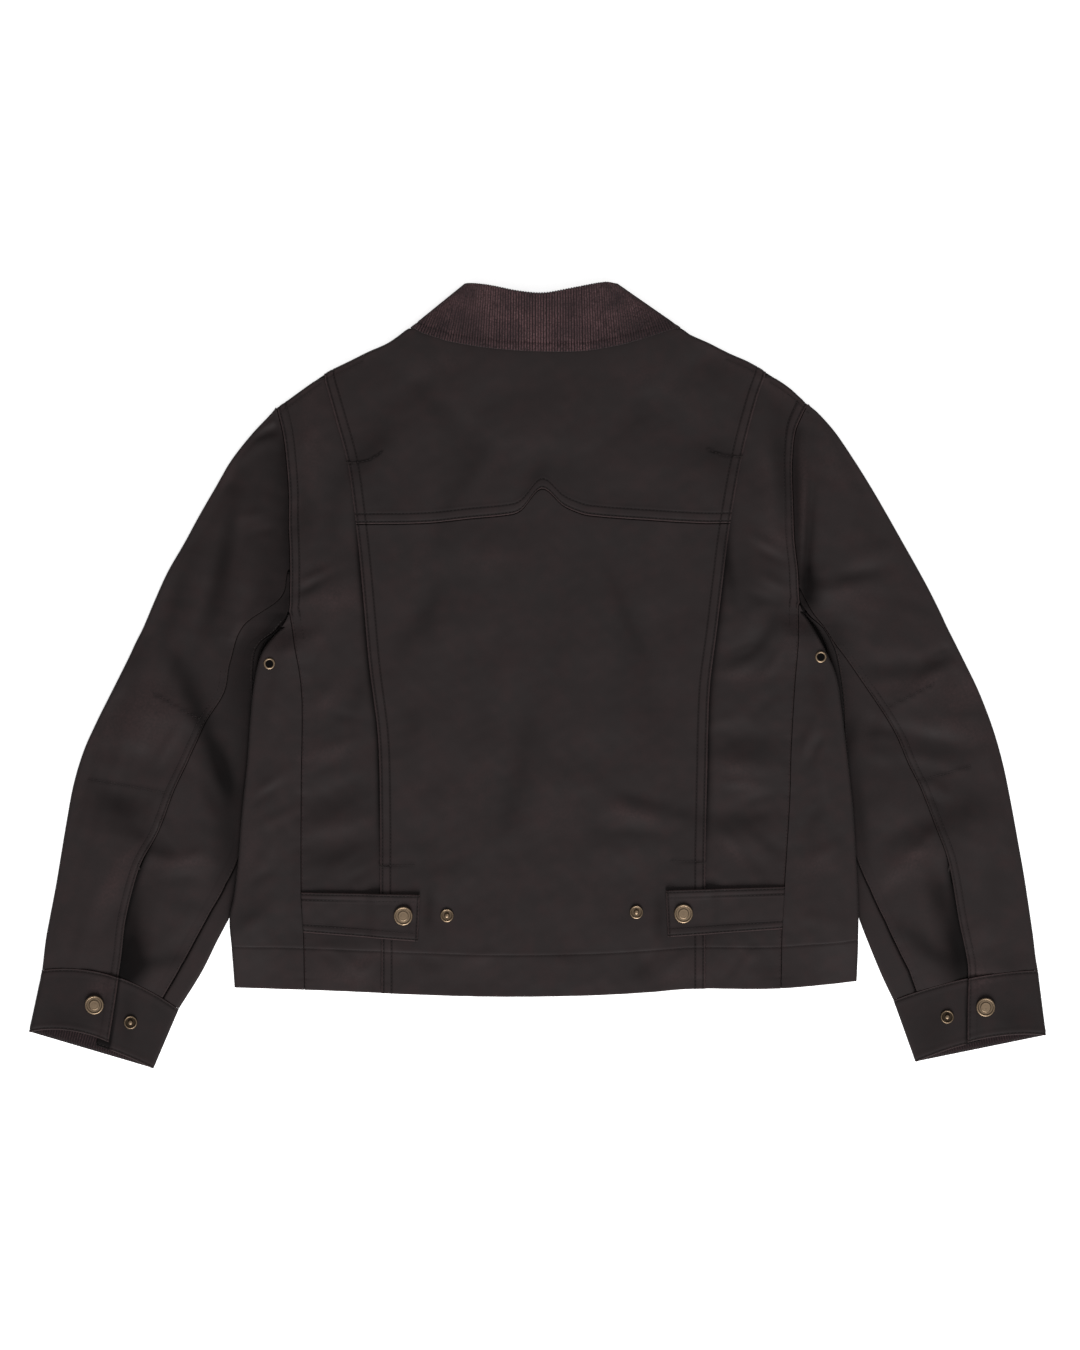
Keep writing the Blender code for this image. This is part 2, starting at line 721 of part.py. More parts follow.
@dataclass
class SleeveLine:
    """One row of a sleeve, with its places along it in millimetres from the outer edge."""

    side: Side
    row: SleeveRow

    def __post_init__(self):
        row, side = self.row, self.side
        inner = row.inner_half
        if not row.closed:
            inner = curve(side, "armhole", row.inner_y) + SLEEVE_GAP
        self.outer = (row.outer_half, row.outer_y)
        self.inner = (inner, row.inner_y)
        self.width = math.dist(self.outer, self.inner)

    def plan(self, place, bow=0.0):
        share = place / self.width
        half = mix(self.outer[0], self.inner[0], share)
        y = mix(self.outer[1], self.inner[1], share) + bow * 4 * share * (1 - share)
        return self.side.sign * half, y

    def height(self, place):
        """Top of the sleeve at a place along the row."""
        row = self.row
        from_inner = self.width - place
        x, y = self.plan(place, row.bow)
        open_share = 1 - row.closed
        rise = ramp(place, 3, 40) * (1 - row.closed * (1 - ramp(from_inner, 18, 50)))
        top = mix(EDGE_HEIGHT, SLEEVE_LOFT, rise)
        calm = 1 - 0.8 * row.drop / (CLOTH + LAP_GAP)
        folds = fold_rise(SLEEVE_FOLDS, x, y) * ramp(place, 3, 25) * calm
        folds *= 1 - row.closed * (1 - ramp(from_inner, 18, 40))
        body = back_height(x, y) - 0.6
        return mix(top + folds, body, open_share * (1 - ramp(from_inner, 0, 30)))

    def seam_place(self):
        """Place where the back seam crosses the row."""
        low, high = 0.0, self.width
        for _ in range(30):
            middle = (low + high) / 2
            x, y = self.plan(middle, self.row.bow)
            if abs(x) > curve(self.side, "back_seam", y):
                low = middle
            else:
                high = middle
        return (low + high) / 2

    def up(self, place, drop=0.0):
        x, y = self.plan(place, self.row.bow)
        return sheet_point(x, y, self.height(place) - drop)

    def down(self, place):
        return floor_point(*self.plan(place), 0.0)

    def turn(self, edge_place, direction, angle, radius=EDGE_HEIGHT / 2, bow=None):
        """Point pair on a folded edge; direction points in from it along the row."""
        bend = math.radians(angle)
        drawn = (self.row.bow if bow is None else bow) * max(math.sin(bend), 0.0)
        pair = []
        for reach in (radius, radius - CLOTH):
            place = edge_place + direction * (radius - reach * math.cos(bend))
            pair.append((*self.plan(place, drawn), radius + reach * math.sin(bend)))
        return tuple(pair)


def between(a, b, share):
    """Sleeve row part of the way between two rows."""
    values = (mix(getattr(a, field), getattr(b, field), share) for field in a.__dataclass_fields__)
    return SleeveRow(*values)


def sleeve_lines(side, first=0):
    """The table's rows, with one more between two that are far apart and alike."""
    rows = side.sleeve[first:]
    lines = []
    for row, following in zip(rows, rows[1:]):
        lines.append(SleeveLine(side, row))
        far = row.outer_y - following.outer_y > 20
        if far and row.closed == following.closed:
            lines.append(SleeveLine(side, between(row, following, 0.5)))
    lines.append(SleeveLine(side, rows[-1]))
    return lines


def top_sleeve(side, finish, collection):
    """Top sleeve: from the back seam out over the folded edge and under to the inseam."""
    radius = EDGE_HEIGHT / 2
    start_y = side.sleeve[side.seam_start].inner_y
    rows = []
    for line in sleeve_lines(side):
        seam = line.width
        if line.row.inner_y <= start_y:
            seam = line.seam_place() - SEAM_GAP / 2
        row = [line.up(mix(seam, radius, i / 5)) for i in range(6)]
        row += [line.turn(0, 1, angle) for angle in (30, -30, -90)]
        flat_end = line.width - radius * line.row.closed
        row += [line.down(mix(radius, flat_end, i / 3)) for i in (1, 2, 3)]
        if line.row.closed and line.row.inseam > radius:
            row += [line.turn(line.width, -1, angle) for angle in (-30, 30, 90)]
            row.append(line.up(line.width - line.row.inseam))
        elif line.row.closed:
            row += [line.turn(line.width, -1, angle) for angle in (-56, -22, 11, 45)]
        rows.append(row)
    return wall(f"top_sleeve_{side.name}", rows, finish, collection)


def under_sleeve(side, finish, collection):
    """Under sleeve: the upper layer between the back seam and the inseam."""
    rows = []
    for line in sleeve_lines(side, side.seam_start):
        row = line.row
        seam = line.seam_place() + SEAM_GAP / 2
        gap = mix(0.8, SEAM_GAP, ramp(row.inseam, 5, 8))
        end = line.width - (row.inseam + gap) * row.closed
        places = [mix(seam - row.underlap, end, i / 5) for i in range(6)]
        drops = [row.drop * (1 - ramp(place, seam + 6, seam + 28)) for place in places]
        rows.append([line.up(place, drop) for place, drop in zip(places, drops)])
    return wall(f"under_sleeve_{side.name}", rows, finish, collection)


def cuff_line(side, share):
    """Row across the cuff, a share of the way from its seam to the mouth."""
    (outer, mouth_outer), (inner, mouth_inner) = side.cuff_outer, side.cuff_inner
    y_gap = SEAM_GAP * (1 - share)
    row = SleeveRow(
        mix(outer[0], mouth_outer[0], share),
        mix(outer[1], mouth_outer[1], share) - y_gap,
        mix(inner[0], mouth_inner[0], share),
        mix(inner[1], mouth_inner[1], share) - y_gap,
    )
    return SleeveLine(side, row)


def cuff(side, finish, collection):
    """Cuff: one band, from its hidden end round the inner and outer edges to the flap's end."""
    radius = CUFF_EDGE_HEIGHT / 2
    rows = []
    for share in (0.0, 0.5, 1.0):
        line = cuff_line(side, share)
        flap_end = mix(*side.flap_end, share) * line.width
        hidden_end = flap_end - 12
        bows = mix(*side.flap_bow, share), mix(*side.under_bow, share)
        row = []
        for i in range(5):
            place = mix(hidden_end, line.width - radius, i / 4)
            rise = ramp(line.width - place, radius, 8)
            top = mix(CUFF_EDGE_HEIGHT, UNDER_CUFF_LOFT, rise)
            row.append(sheet_point(*line.plan(place, bows[1]), top))
        row += [line.turn(line.width, -1, angle, radius, bows[1]) for angle in (30, -30, -90)]
        row += [line.down(mix(line.width - radius, radius, i / 3)) for i in (1, 2, 3)]
        row += [line.turn(0, 1, angle, radius, bows[0]) for angle in (-30, 30)]
        for i in range(6):
            place = mix(radius, flap_end, i / 5)
            rise = ramp(place, radius, hidden_end - 4)
            top = mix(CUFF_EDGE_HEIGHT, CUFF_FLAP_LOFT, rise)
            row.append(sheet_point(*line.plan(place, bows[0]), top))
        rows.append(row)
    return wall(f"cuff_{side.name}", rows, finish, collection)


def cuff_lining(side, finish, collection):
    """Corduroy strip on the inner face of the cuff's lower layer, which shows at the mouth."""
    inset = 8.0
    rows = []
    for share in (0.04, 0.5, 0.99):
        line = cuff_line(side, share)
        places = [mix(inset, line.width - inset, i / 5) for i in range(6)]
        top = CLOTH + SEAM_GAP + CUFF_LINING
        rows.append([sheet_point(*line.plan(place), top, CUFF_LINING) for place in places])
    return wall(f"cuff_lining_{side.name}", rows, finish, collection)


# Collar: a flattened ring, open at the centre front, with its back half on top


def by_share(points, share):
    """Point a share of the way along x through (x, y) points."""
    x = mix(points[0][0], points[-1][0], share)
    return x, through(points)(x)


def collar_top(x, y):
    """Height of the fall's outer face over the back."""
    over_yoke = centre_height(x, min(y, NECK_Y)) + LAP_GAP + CORDUROY
    return max(2 * COLLAR_EDGE_RADIUS, over_yoke)


def wing_corners(side):
    """The collar's side edge: its lower end at the fall's edge and its upper end at the fold."""
    end = 0 if side is LEFT else -1
    return FALL_EDGE[end], FALL_FOLD[end]


def back_point(share, level):
    """Outer point and inward direction on the collar's back half, from left to right."""
    low, high = by_share(FALL_EDGE, share), by_share(FALL_FOLD, share)
    x, y = mix(low[0], high[0], level), mix(low[1], high[1], level)
    return (x, y, collar_top(x, y)), (0.0, 0.0, -1.0)


def front_point(side, share, level):
    """Outer point and inward direction beneath the front, from the wing to the leaf's end."""
    wing = [mix(a, b, level) for a, b in zip(*wing_corners(side))]
    end = [mix(a, b, level) for a, b in zip(LEAF_POINT, LEAF_END)]
    return (mix(wing[0], side.sign * end[0], share), mix(wing[1], end[1], share), 0.0), (0.0, 0.0, 1.0)


def wing_turn(side, level, angles):
    """The collar's folded side edge, from underneath at -90 degrees to the top at 90."""
    corner, fold_corner = wing_corners(side)
    along = unit(corner, fold_corner)
    wing_x = mix(corner[0], fold_corner[0], level)
    other = wing_corners(RIGHT if side is LEFT else LEFT)
    other_x = mix(other[0][0], other[1][0], level)
    radius = COLLAR_EDGE_RADIUS
    turned_points = []
    for angle in angles:
        bend = math.radians(angle)
        x = wing_x - side.sign * radius / along[1] * (1 - math.cos(bend))
        if angle >= 0:
            share = (x - wing_x) / (other_x - wing_x)
            (_, y, _), _ = back_point(share if side is LEFT else 1 - share, level)
            y = mix(mix(corner[1], fold_corner[1], level), y, math.sin(bend) ** 4)
        else:
            (end_x, _, _), _ = front_point(side, 1.0, level)
            (_, y, _), _ = front_point(side, (x - wing_x) / (end_x - wing_x), level)
        inward = (-side.sign * along[1] * math.cos(bend), side.sign * along[0] * math.cos(bend),
                  -math.sin(bend))
        turned_points.append(((x, y, radius + radius * math.sin(bend)), inward))
    return turned_points


def ring_section(level):
    """Points and inward directions round the collar at one level, from left front to right.

    Level 0 is the fall's free edge and level 1 is its fold.
    """
    section = [front_point(LEFT, share, level) for share in reversed(LEAF_SHARES)]
    section += wing_turn(LEFT, level, (-90, -45, 0, 45, 90))
    section += [back_point(mix(0.13, 0.87, i / 10), level) for i in range(11)]
    section += wing_turn(RIGHT, level, (90, 45, 0, -45, -90))
    section += [front_point(RIGHT, share, level) for share in LEAF_SHARES]
    return section


def moved(point, direction, distance):
    return tuple(p + d * distance for p, d in zip(point, direction))


def unit(a, b):
    length = math.dist(a, b)
    return tuple((q - p) / length for p, q in zip(a, b))


def collar(finish, collection):
    """Corduroy fall, its fold and the strip that turns in to the stand."""
    levels = (0.0, 0.3, 0.65, 1.0)
    sections = [ring_section(level) for level in levels]
    rows = []
    for section in sections:
        rows.append([(point, moved(point, inward, CORDUROY)) for point, inward in section])
    radius = COLLAR_FOLD_RADIUS
    for angle in (60, 120, 180):
        bend = math.radians(angle)
        row = []
        for (before, _), (point, inward) in zip(sections[-2], sections[-1]):
            along = unit(before, point)
            pair = []
            for reach in (radius, radius - CORDUROY):
                step = moved(point, inward, radius - reach * math.cos(bend))
                pair.append(moved(step, along, reach * math.sin(bend)))
            row.append(tuple(pair))
        rows.append(row)
    inside = []
    for (before, _), (point, inward) in zip(sections[-2], sections[-1]):
        along = unit(before, point)
        far = moved(moved(point, inward, 2 * radius), along, -COLLAR_INSIDE)
        inside.append((far, moved(far, inward, -CORDUROY)))
    rows.append(inside)
    return wall("collar", rows, finish, collection)


def stand_seam():
    """Where the stand meets the body: (point, inward direction) along the neck line."""
    seam = []
    for (x, y, z), inward in ring_section(0.1):
        half = abs(x)
        if inward[2] > 0.99:
            wing = abs(wing_turn(side_of(x), 0.1, (0,))[0][0][0])
            end = abs(front_point(side_of(x), 1.0, 0.1)[0][0])
            half = mix(wing, LEAF_END[0], (wing - half) / (wing - end))
            x = math.copysign(half, x)
            y = FRONT_NECK(half) + NECK_GAP
            seam.append(((x, y, lift(x, y) + CORDUROY + 0.2), inward))
        elif inward[2] < -0.99:
            y = BACK_NECK(half) + NECK_GAP
            seam.append(((x, y, centre_height(x, y) - CORDUROY - 0.2), inward))
        else:
            depth = 2 * COLLAR_FOLD_RADIUS + 0.3
            x, y, z = moved((x, y, z), inward, depth)
            along = unit(*wing_corners(side_of(x)))
            slide = (WING[1] + 2.2 - y) / along[1]
            seam.append(((x + along[0] * slide, WING[1] + 2.2, z), inward))
    return seam


def collar_stand(finish, collection):
    """Stand: carries the collar's inner edge on to the neck line."""
    depth = 2 * COLLAR_FOLD_RADIUS
    starts = []
    for (before, _), (point, inward) in zip(ring_section(0.65), ring_section(1.0)):
        along = unit(before, point)
        starts.append(moved(moved(point, inward, depth + 0.3), along, -COLLAR_INSIDE - STAND_GAP))
    rows = []
    for share in (0.0, 0.5, 1.0):
        row = []
        for start, (end, inward) in zip(starts, stand_seam()):
            point = tuple(mix(a, b, share) for a, b in zip(start, end))
            row.append((point, moved(point, inward, -CORDUROY)))
        rows.append(row)
    return wall("collar_stand", rows, finish, collection)


# Tabs and metal


def waist_tab(side, finish, collection):
    """Waist tab: lies on the side back and the centre back, sewn in at the side-back seam."""
    seam_top, seam_low, free_top, free_low = side.tab
    rows = []
    for i in range(4):
        row = []
        for j in range(11):
            top = [mix(a, b, j / 10) for a, b in zip(seam_top, free_top)]
            low = [mix(a, b, j / 10) for a, b in zip(seam_low, free_low)]
            x, y = side.sign * mix(low[0], top[0], i / 3), mix(low[1], top[1], i / 3)
            row.append(sheet_point(x, y, tab_height(x, y) + CLOTH))
        rows.append(row)
    return wall(f"waist_tab_{side.name}", rows, finish, collection)


def highest(height, x, y, radius):
    """Highest level of a surface under a round piece."""
    places = [(x, y)]
    for step in range(8):
        turn = step * math.tau / 8
        places.append((x + radius * math.cos(turn), y + radius * math.sin(turn)))
    return max(height(*place) for place in places)


def snap_cap(name, x, y, level, finish, collection):
    """Snap cap: a low disc with a rolled rim and a plain domed middle."""
    profile = ((0, 2.2), (3.0, 2.1), (6.2, 1.7), (7.2, 2.4), (CAP_RADIUS - 0.5, 2.2),
               (CAP_RADIUS, 1.2), (CAP_RADIUS, 0), (0, 0))
    return turned(name, profile, (x, y, level + SEAM_GAP), finish, collection)


def snap_stud(name, x, y, level, finish, collection):
    """Snap stud: a flange with the post that enters the cap's socket."""
    profile = ((0, 3.0), (2.0, 3.0), (2.4, 1.2), (4.6, 1.0), (STUD_RADIUS - 0.4, 1.4),
               (STUD_RADIUS, 0.6), (STUD_RADIUS, 0), (0, 0))
    return turned(name, profile, (x, y, level + SEAM_GAP), finish, collection)


def eyelet(side, panel, finish, collection, cutters):
    """Eyelet ring and the hole that it lines in the side panel."""
    half, y = side.eyelet
    x = side.sign * half
    level = highest(back_height, x, y, EYELET_RADIUS)
    bpy.ops.mesh.primitive_cylinder_add(
        vertices=ROUND_STEPS,
        radius=EYELET_HOLE * MM,
        depth=(CLOTH + 2.2) * MM,
        location=((x - CENTRE_X) * MM, (y - CENTRE_Y) * MM, (level - CLOTH / 2 + 0.4) * MM),
    )
    cutter = bpy.context.active_object
    cutter.name = f"eyelet_cutter_{side.name}"
    for owner in cutter.users_collection:
        owner.objects.unlink(cutter)
    cutters.objects.link(cutter)
    cutter.hide_render = True
    cutter.display_type = "WIRE"
    hole = panel.modifiers.new("Eyelet hole", "BOOLEAN")
    hole.operation = "DIFFERENCE"
    hole.object = cutter
    profile = ((EYELET_BORE, 0.7), (4.4, 0.9), (EYELET_RADIUS, 0.5), (EYELET_RADIUS, 0),
               (EYELET_BARREL, 0), (EYELET_BARREL, -CLOTH - 0.3), (EYELET_BORE, -CLOTH - 0.3))
    place = (x, y, level + SEAM_GAP)
    return turned(f"eyelet_{side.name}", profile, place, finish, collection, closed=True)


def add_metal(side, panel, brass, collection, cutters):
    def tab_top(x, y):
        return tab_height(x, y) + CLOTH

    def place(spot):
        return side.sign * spot[0], spot[1]

    name = side.name
    x, y = place(side.tab_cap)
    snap_cap(f"tab_cap_{name}", x, y, highest(tab_top, x, y, CAP_RADIUS), brass, collection)
    x, y = place(side.hem_stud)
    level = highest(centre_height, x, y, STUD_RADIUS)
    snap_stud(f"hem_stud_{name}", x, y, level, brass, collection)
    snap_cap(f"cuff_cap_{name}", *place(side.cuff_cap), CUFF_FLAP_LOFT, brass, collection)
    snap_stud(f"cuff_stud_{name}", *place(side.cuff_stud), UNDER_CUFF_LOFT, brass, collection)
    eyelet(side, panel, brass, collection, cutters)


def main():
    for old in list(bpy.data.objects):
        bpy.data.objects.remove(old, do_unlink=True)
    jacket = bpy.data.collections.new("waxed_cotton_jacket")
    cutters = bpy.data.collections.new("cutters")
    for made in (jacket, cutters):
        bpy.context.scene.collection.children.link(made)
    wax = material("waxed_cotton", (0.030, 0.024, 0.022), 0.45)
    wale = material("corduroy", (0.060, 0.042, 0.040), 0.9)
    brass = material("antique_brass", (0.55, 0.36, 0.16), 0.35, 1.0)
    back_panel(wax, jacket)
    back_yoke(wax, jacket)
    collar(wale, jacket)
    collar_stand(wax, jacket)
    for side in SIDES:
        side_back(side, wax, jacket)
        panel = side_panel(side, wax, jacket)
        front(side, wax, jacket)
        top_sleeve(side, wax, jacket)
        under_sleeve(side, wax, jacket)
        cuff(side, wax, jacket)
        cuff_lining(side, wale, jacket)
        waist_tab(side, wax, jacket)
        add_metal(side, panel, brass, jacket, cutters)


if __name__ == "__main__":
    main()
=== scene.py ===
"""Looks of a cropped waxed cotton jacket that lies flat on its front, so that its back faces up.

Tables are in millimetres: `half` is a distance from the centre back line, positive on both sides,
and `y` is a height above the middle of the hem. Every finished mesh is in the row frame, in metres.
"""

import sys
import logging
import math
from collections.abc import Callable
from dataclasses import dataclass, field, replace
from enum import Enum
from typing import ClassVar

import bmesh
import bpy
import numpy as np
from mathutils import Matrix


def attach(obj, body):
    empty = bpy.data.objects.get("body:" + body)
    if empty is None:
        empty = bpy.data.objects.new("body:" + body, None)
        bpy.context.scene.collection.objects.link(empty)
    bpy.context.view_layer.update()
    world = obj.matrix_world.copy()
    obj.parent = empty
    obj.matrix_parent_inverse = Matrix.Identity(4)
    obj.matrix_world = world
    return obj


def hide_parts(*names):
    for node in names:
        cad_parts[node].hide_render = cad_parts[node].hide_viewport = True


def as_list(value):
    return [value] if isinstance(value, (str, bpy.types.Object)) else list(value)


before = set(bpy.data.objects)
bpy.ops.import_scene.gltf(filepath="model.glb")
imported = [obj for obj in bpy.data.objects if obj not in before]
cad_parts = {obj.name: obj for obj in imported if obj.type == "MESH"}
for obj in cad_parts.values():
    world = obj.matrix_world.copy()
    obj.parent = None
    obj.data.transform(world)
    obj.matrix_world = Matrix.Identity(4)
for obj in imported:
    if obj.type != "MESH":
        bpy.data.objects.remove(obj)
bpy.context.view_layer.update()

log = logging.getLogger("jacket")

MM = 0.001
CENTRE = np.array((-6.76, 288.25, 0.0))  # middle of the outline, which is the row's origin

Array = np.ndarray
Place = Callable[[Array], Array]


# Shaping helpers


def ramp(at: Array, start: float, end: float) -> Array:
    """Soft rise from 0 at the start to 1 at the end."""
    t = np.clip((at - start) / (end - start), 0.0, 1.0)
    return t * t * (3 - 2 * t)


def mix(a: Array, b: Array, t: Array) -> Array:
    """Blend from a to b by share t."""
    return a + (b - a) * t


class Curve:
    """Smooth function through (place, value) knots, level beyond both ends."""

    def __init__(self, knots: tuple) -> None:
        """Keep the knots and find a slope at each.

        Args:
            knots: Pairs of place and value, in any order.
        """
        self.places, self.values = np.array(sorted(knots), float).T
        count = len(self.places)
        before = np.maximum(np.arange(count) - 1, 0)
        after = np.minimum(np.arange(count) + 1, count - 1)
        rise = self.values[after] - self.values[before]
        self.slopes = rise / (self.places[after] - self.places[before])

    def __call__(self, at: Array) -> Array:
        """Read the curve.

        Args:
            at: Places.

        Returns:
            The value at each place.
        """
        at = np.clip(at, self.places[0], self.places[-1])
        i = np.searchsorted(self.places, at, side="right") - 1
        i = np.clip(i, 0, len(self.places) - 2)
        span = self.places[i + 1] - self.places[i]
        t = (at - self.places[i]) / span
        rise = 3 * t**2 - 2 * t**3
        start = (t**3 - 2 * t**2 + t) * self.slopes[i] * span
        end = (t**3 - t**2) * self.slopes[i + 1] * span
        return self.values[i] + rise * (self.values[i + 1] - self.values[i]) + start + end


@dataclass(frozen=True)
class Fold:
    """A soft ridge in the cloth, or a trough where its height is negative."""

    x: float
    y: float
    heading: float  # degrees from +X
    length: float
    width: float
    height: float
    bend: float = 0.0  # sideways offset of its ends, so that it curves

    def rise(self, x: Array, y: Array) -> Array:
        """Height that the fold adds.

        Args:
            x, y: Places across and up the back.

        Returns:
            Millimetres added at each place.
        """
        turn = math.radians(self.heading)
        along = (x - self.x) * math.cos(turn) + (y - self.y) * math.sin(turn)
        across = (y - self.y) * math.cos(turn) - (x - self.x) * math.sin(turn)
        reach = 2 * along / self.length
        across = across - self.bend * reach**2
        fade = np.clip(1 - reach**2, 0, None) ** 2
        return self.height * np.exp(-((across / self.width) ** 2)) * fade


@dataclass(frozen=True)
class Waviness:
    """Slight unevenness of cloth that has been worn, as a sum of long and short waves."""

    seed: int
    shortest: float
    longest: float
    height: float
    waves: int = 26

    def rise(self, x: Array, y: Array) -> Array:
        """Height that the waves add.

        Args:
            x, y: Places across and up the back.

        Returns:
            Millimetres added at each place.
        """
        draw = np.random.default_rng(self.seed)
        total = np.zeros(np.broadcast(x, y).shape)
        for _ in range(self.waves):
            size = self.shortest * (self.longest / self.shortest) ** draw.random()
            turn, phase = draw.random(2) * math.tau
            wave = (x * math.cos(turn) + y * math.sin(turn)) * math.tau / size + phase
            total += np.sin(wave) * size / self.longest
        return total * self.height / math.sqrt(self.waves)


# The jacket's outlines


@dataclass
class Side:
    """The outlines of one side of the jacket."""

    name: str
    sign: int
    edge: tuple  # (y, half) up the side, from the hem to the underarm
    seam: tuple  # (y, half) of the seam between side back and side panel
    armhole: tuple  # (y, half)
    pleat: tuple  # (y, half) of the centre back's free edge
    shoulder: tuple  # (half, y)
    underarm: tuple  # (seam y, edge half, edge y)
    lift_top: float  # where the sleeve under the side has ended
    open_rows: tuple  # (outer half, outer y, inner y) down the sleeve as far as the underarm
    closed_rows: tuple  # (outer half, outer y, inner half, inner y, inseam, bow, drop, underlap)
    back_seam: tuple  # (y, half)
    seam_start: int  # first sleeve row of the under sleeve
    cuff_outer: tuple  # ((half, y) at the cuff seam, (half, y) at the mouth)
    cuff_inner: tuple
    flap_end: tuple  # share of the way across at the cuff seam and at the mouth
    flap_bow: tuple
    under_bow: tuple
    tab: tuple  # (half, y): seam end top, seam end bottom, free end top, free end bottom
    tab_cap: tuple  # (half, y) of each piece of metal
    hem_stud: tuple
    cuff_cap: tuple
    cuff_stud: tuple
    eyelet: tuple
    darts: tuple  # paths of (half, y) across the sleeve
    shade_reach: float  # how far the shade beside the body spreads on the sleeve under the arm
    pleat_tacks: tuple  # (y, y) of the bar tacks at the ends of the open pleat
    vent_tack: tuple  # (half, y)
    pleat_row_end: float  # half at which the row that closes the pleat ends
    yoke_dart_rise: float
    curves: dict = field(init=False)

    def __post_init__(self) -> None:
        """Make a curve of each outline."""
        names = ("edge", "seam", "armhole", "pleat", "shoulder", "back_seam")
        self.curves = {name: Curve(getattr(self, name)) for name in names}


LEFT = Side(
    name="left",
    sign=-1,
    edge=((10, 279), (41, 281), (70, 283), (91, 279), (125, 275), (164, 272), (212, 267),
          (254, 264), (287, 260), (311, 253), (332, 237)),
    seam=((7, 216), (58, 217), (94, 219), (181, 219), (260, 218), (288, 220), (317, 225),
          (344, 229.5)),
    armhole=((332, 237), (344, 230.5), (369, 229), (397, 229), (424, 230), (451, 230),
             (479, 232), (504, 235), (529, 241)),
    pleat=((4, 147), (52, 147), (94, 148), (155, 148), (234, 150), (300, 158), (379, 165),
           (442, 172), (482, 178), (519, 188), (558, 199)),
    shoulder=((122, 601), (140, 588), (158, 580), (176, 571), (194, 562), (212, 550),
              (230, 537), (241, 529)),
    underarm=(344, 237, 332),
    lift_top=334,
    open_rows=((241.9, 528.9, 529.2), (249, 521, 520), (264, 505, 504), (282, 482, 481), (296, 458, 457),
               (311, 432, 432), (324, 408, 408), (339, 382, 382), (350, 358, 358)),
    closed_rows=(
        (361, 332, 237.6, 332, 2.4, 0, 0, 0), (368, 318, 251, 318, 5, 0, 0, 0),
        (375, 303, 256, 302, 6, 0, 0, 0), (390, 273, 254, 262, 8, 0, 0, 0),
        (403, 247, 253, 230, 10, 0, 0, 0), (415, 220, 254, 198, 11, 0, 0, 0),
        (424, 190, 257, 165, 12, 0, 0, 0), (430, 158, 262, 131, 10, 0, 0, 0),
        (435, 128, 270, 98, 17, 1, 2.6, 0), (440, 98, 283, 72, 18, 2, 2.6, 8),
        (445, 72, 295, 49, 18, 4, 2.6, 8), (449, 50, 309, 21, 18, 8, 2.6, 8),
        (452, 24, 329, -11, 15, 13.5, 2.6, 8),
    ),
    back_seam=((382, 231.2), (358, 238), (334, 270), (300, 283), (274, 288), (248, 304),
               (235, 310), (209, 322), (183, 334), (151, 346), (121, 362), (93, 371),
               (66, 377), (39, 380), (18, 383)),
    seam_start=7,
    cuff_outer=((452, 24), (464, -32)),
    cuff_inner=((329, -11), (352, -65)),
    flap_end=(0.565, 0.647),
    flap_bow=(13.5, 14),
    under_bow=(13.5, 6),
    tab=((219, 94), (217, 58), (112, 92), (114, 50)),
    tab_cap=(127, 73),
    hem_stud=(88, 73),
    cuff_cap=(404, -7),
    cuff_stud=(372, -23),
    eyelet=(247, 299),
    darts=(((350.5, 272), (331, 262), (310.5, 250)), ((409.5, 196), (380, 191), (335.7, 182.7))),
    shade_reach=9,
    pleat_tacks=(479.5, 117),
    vent_tack=(364.5, 117),
    pleat_row_end=118,
    yoke_dart_rise=9,
)

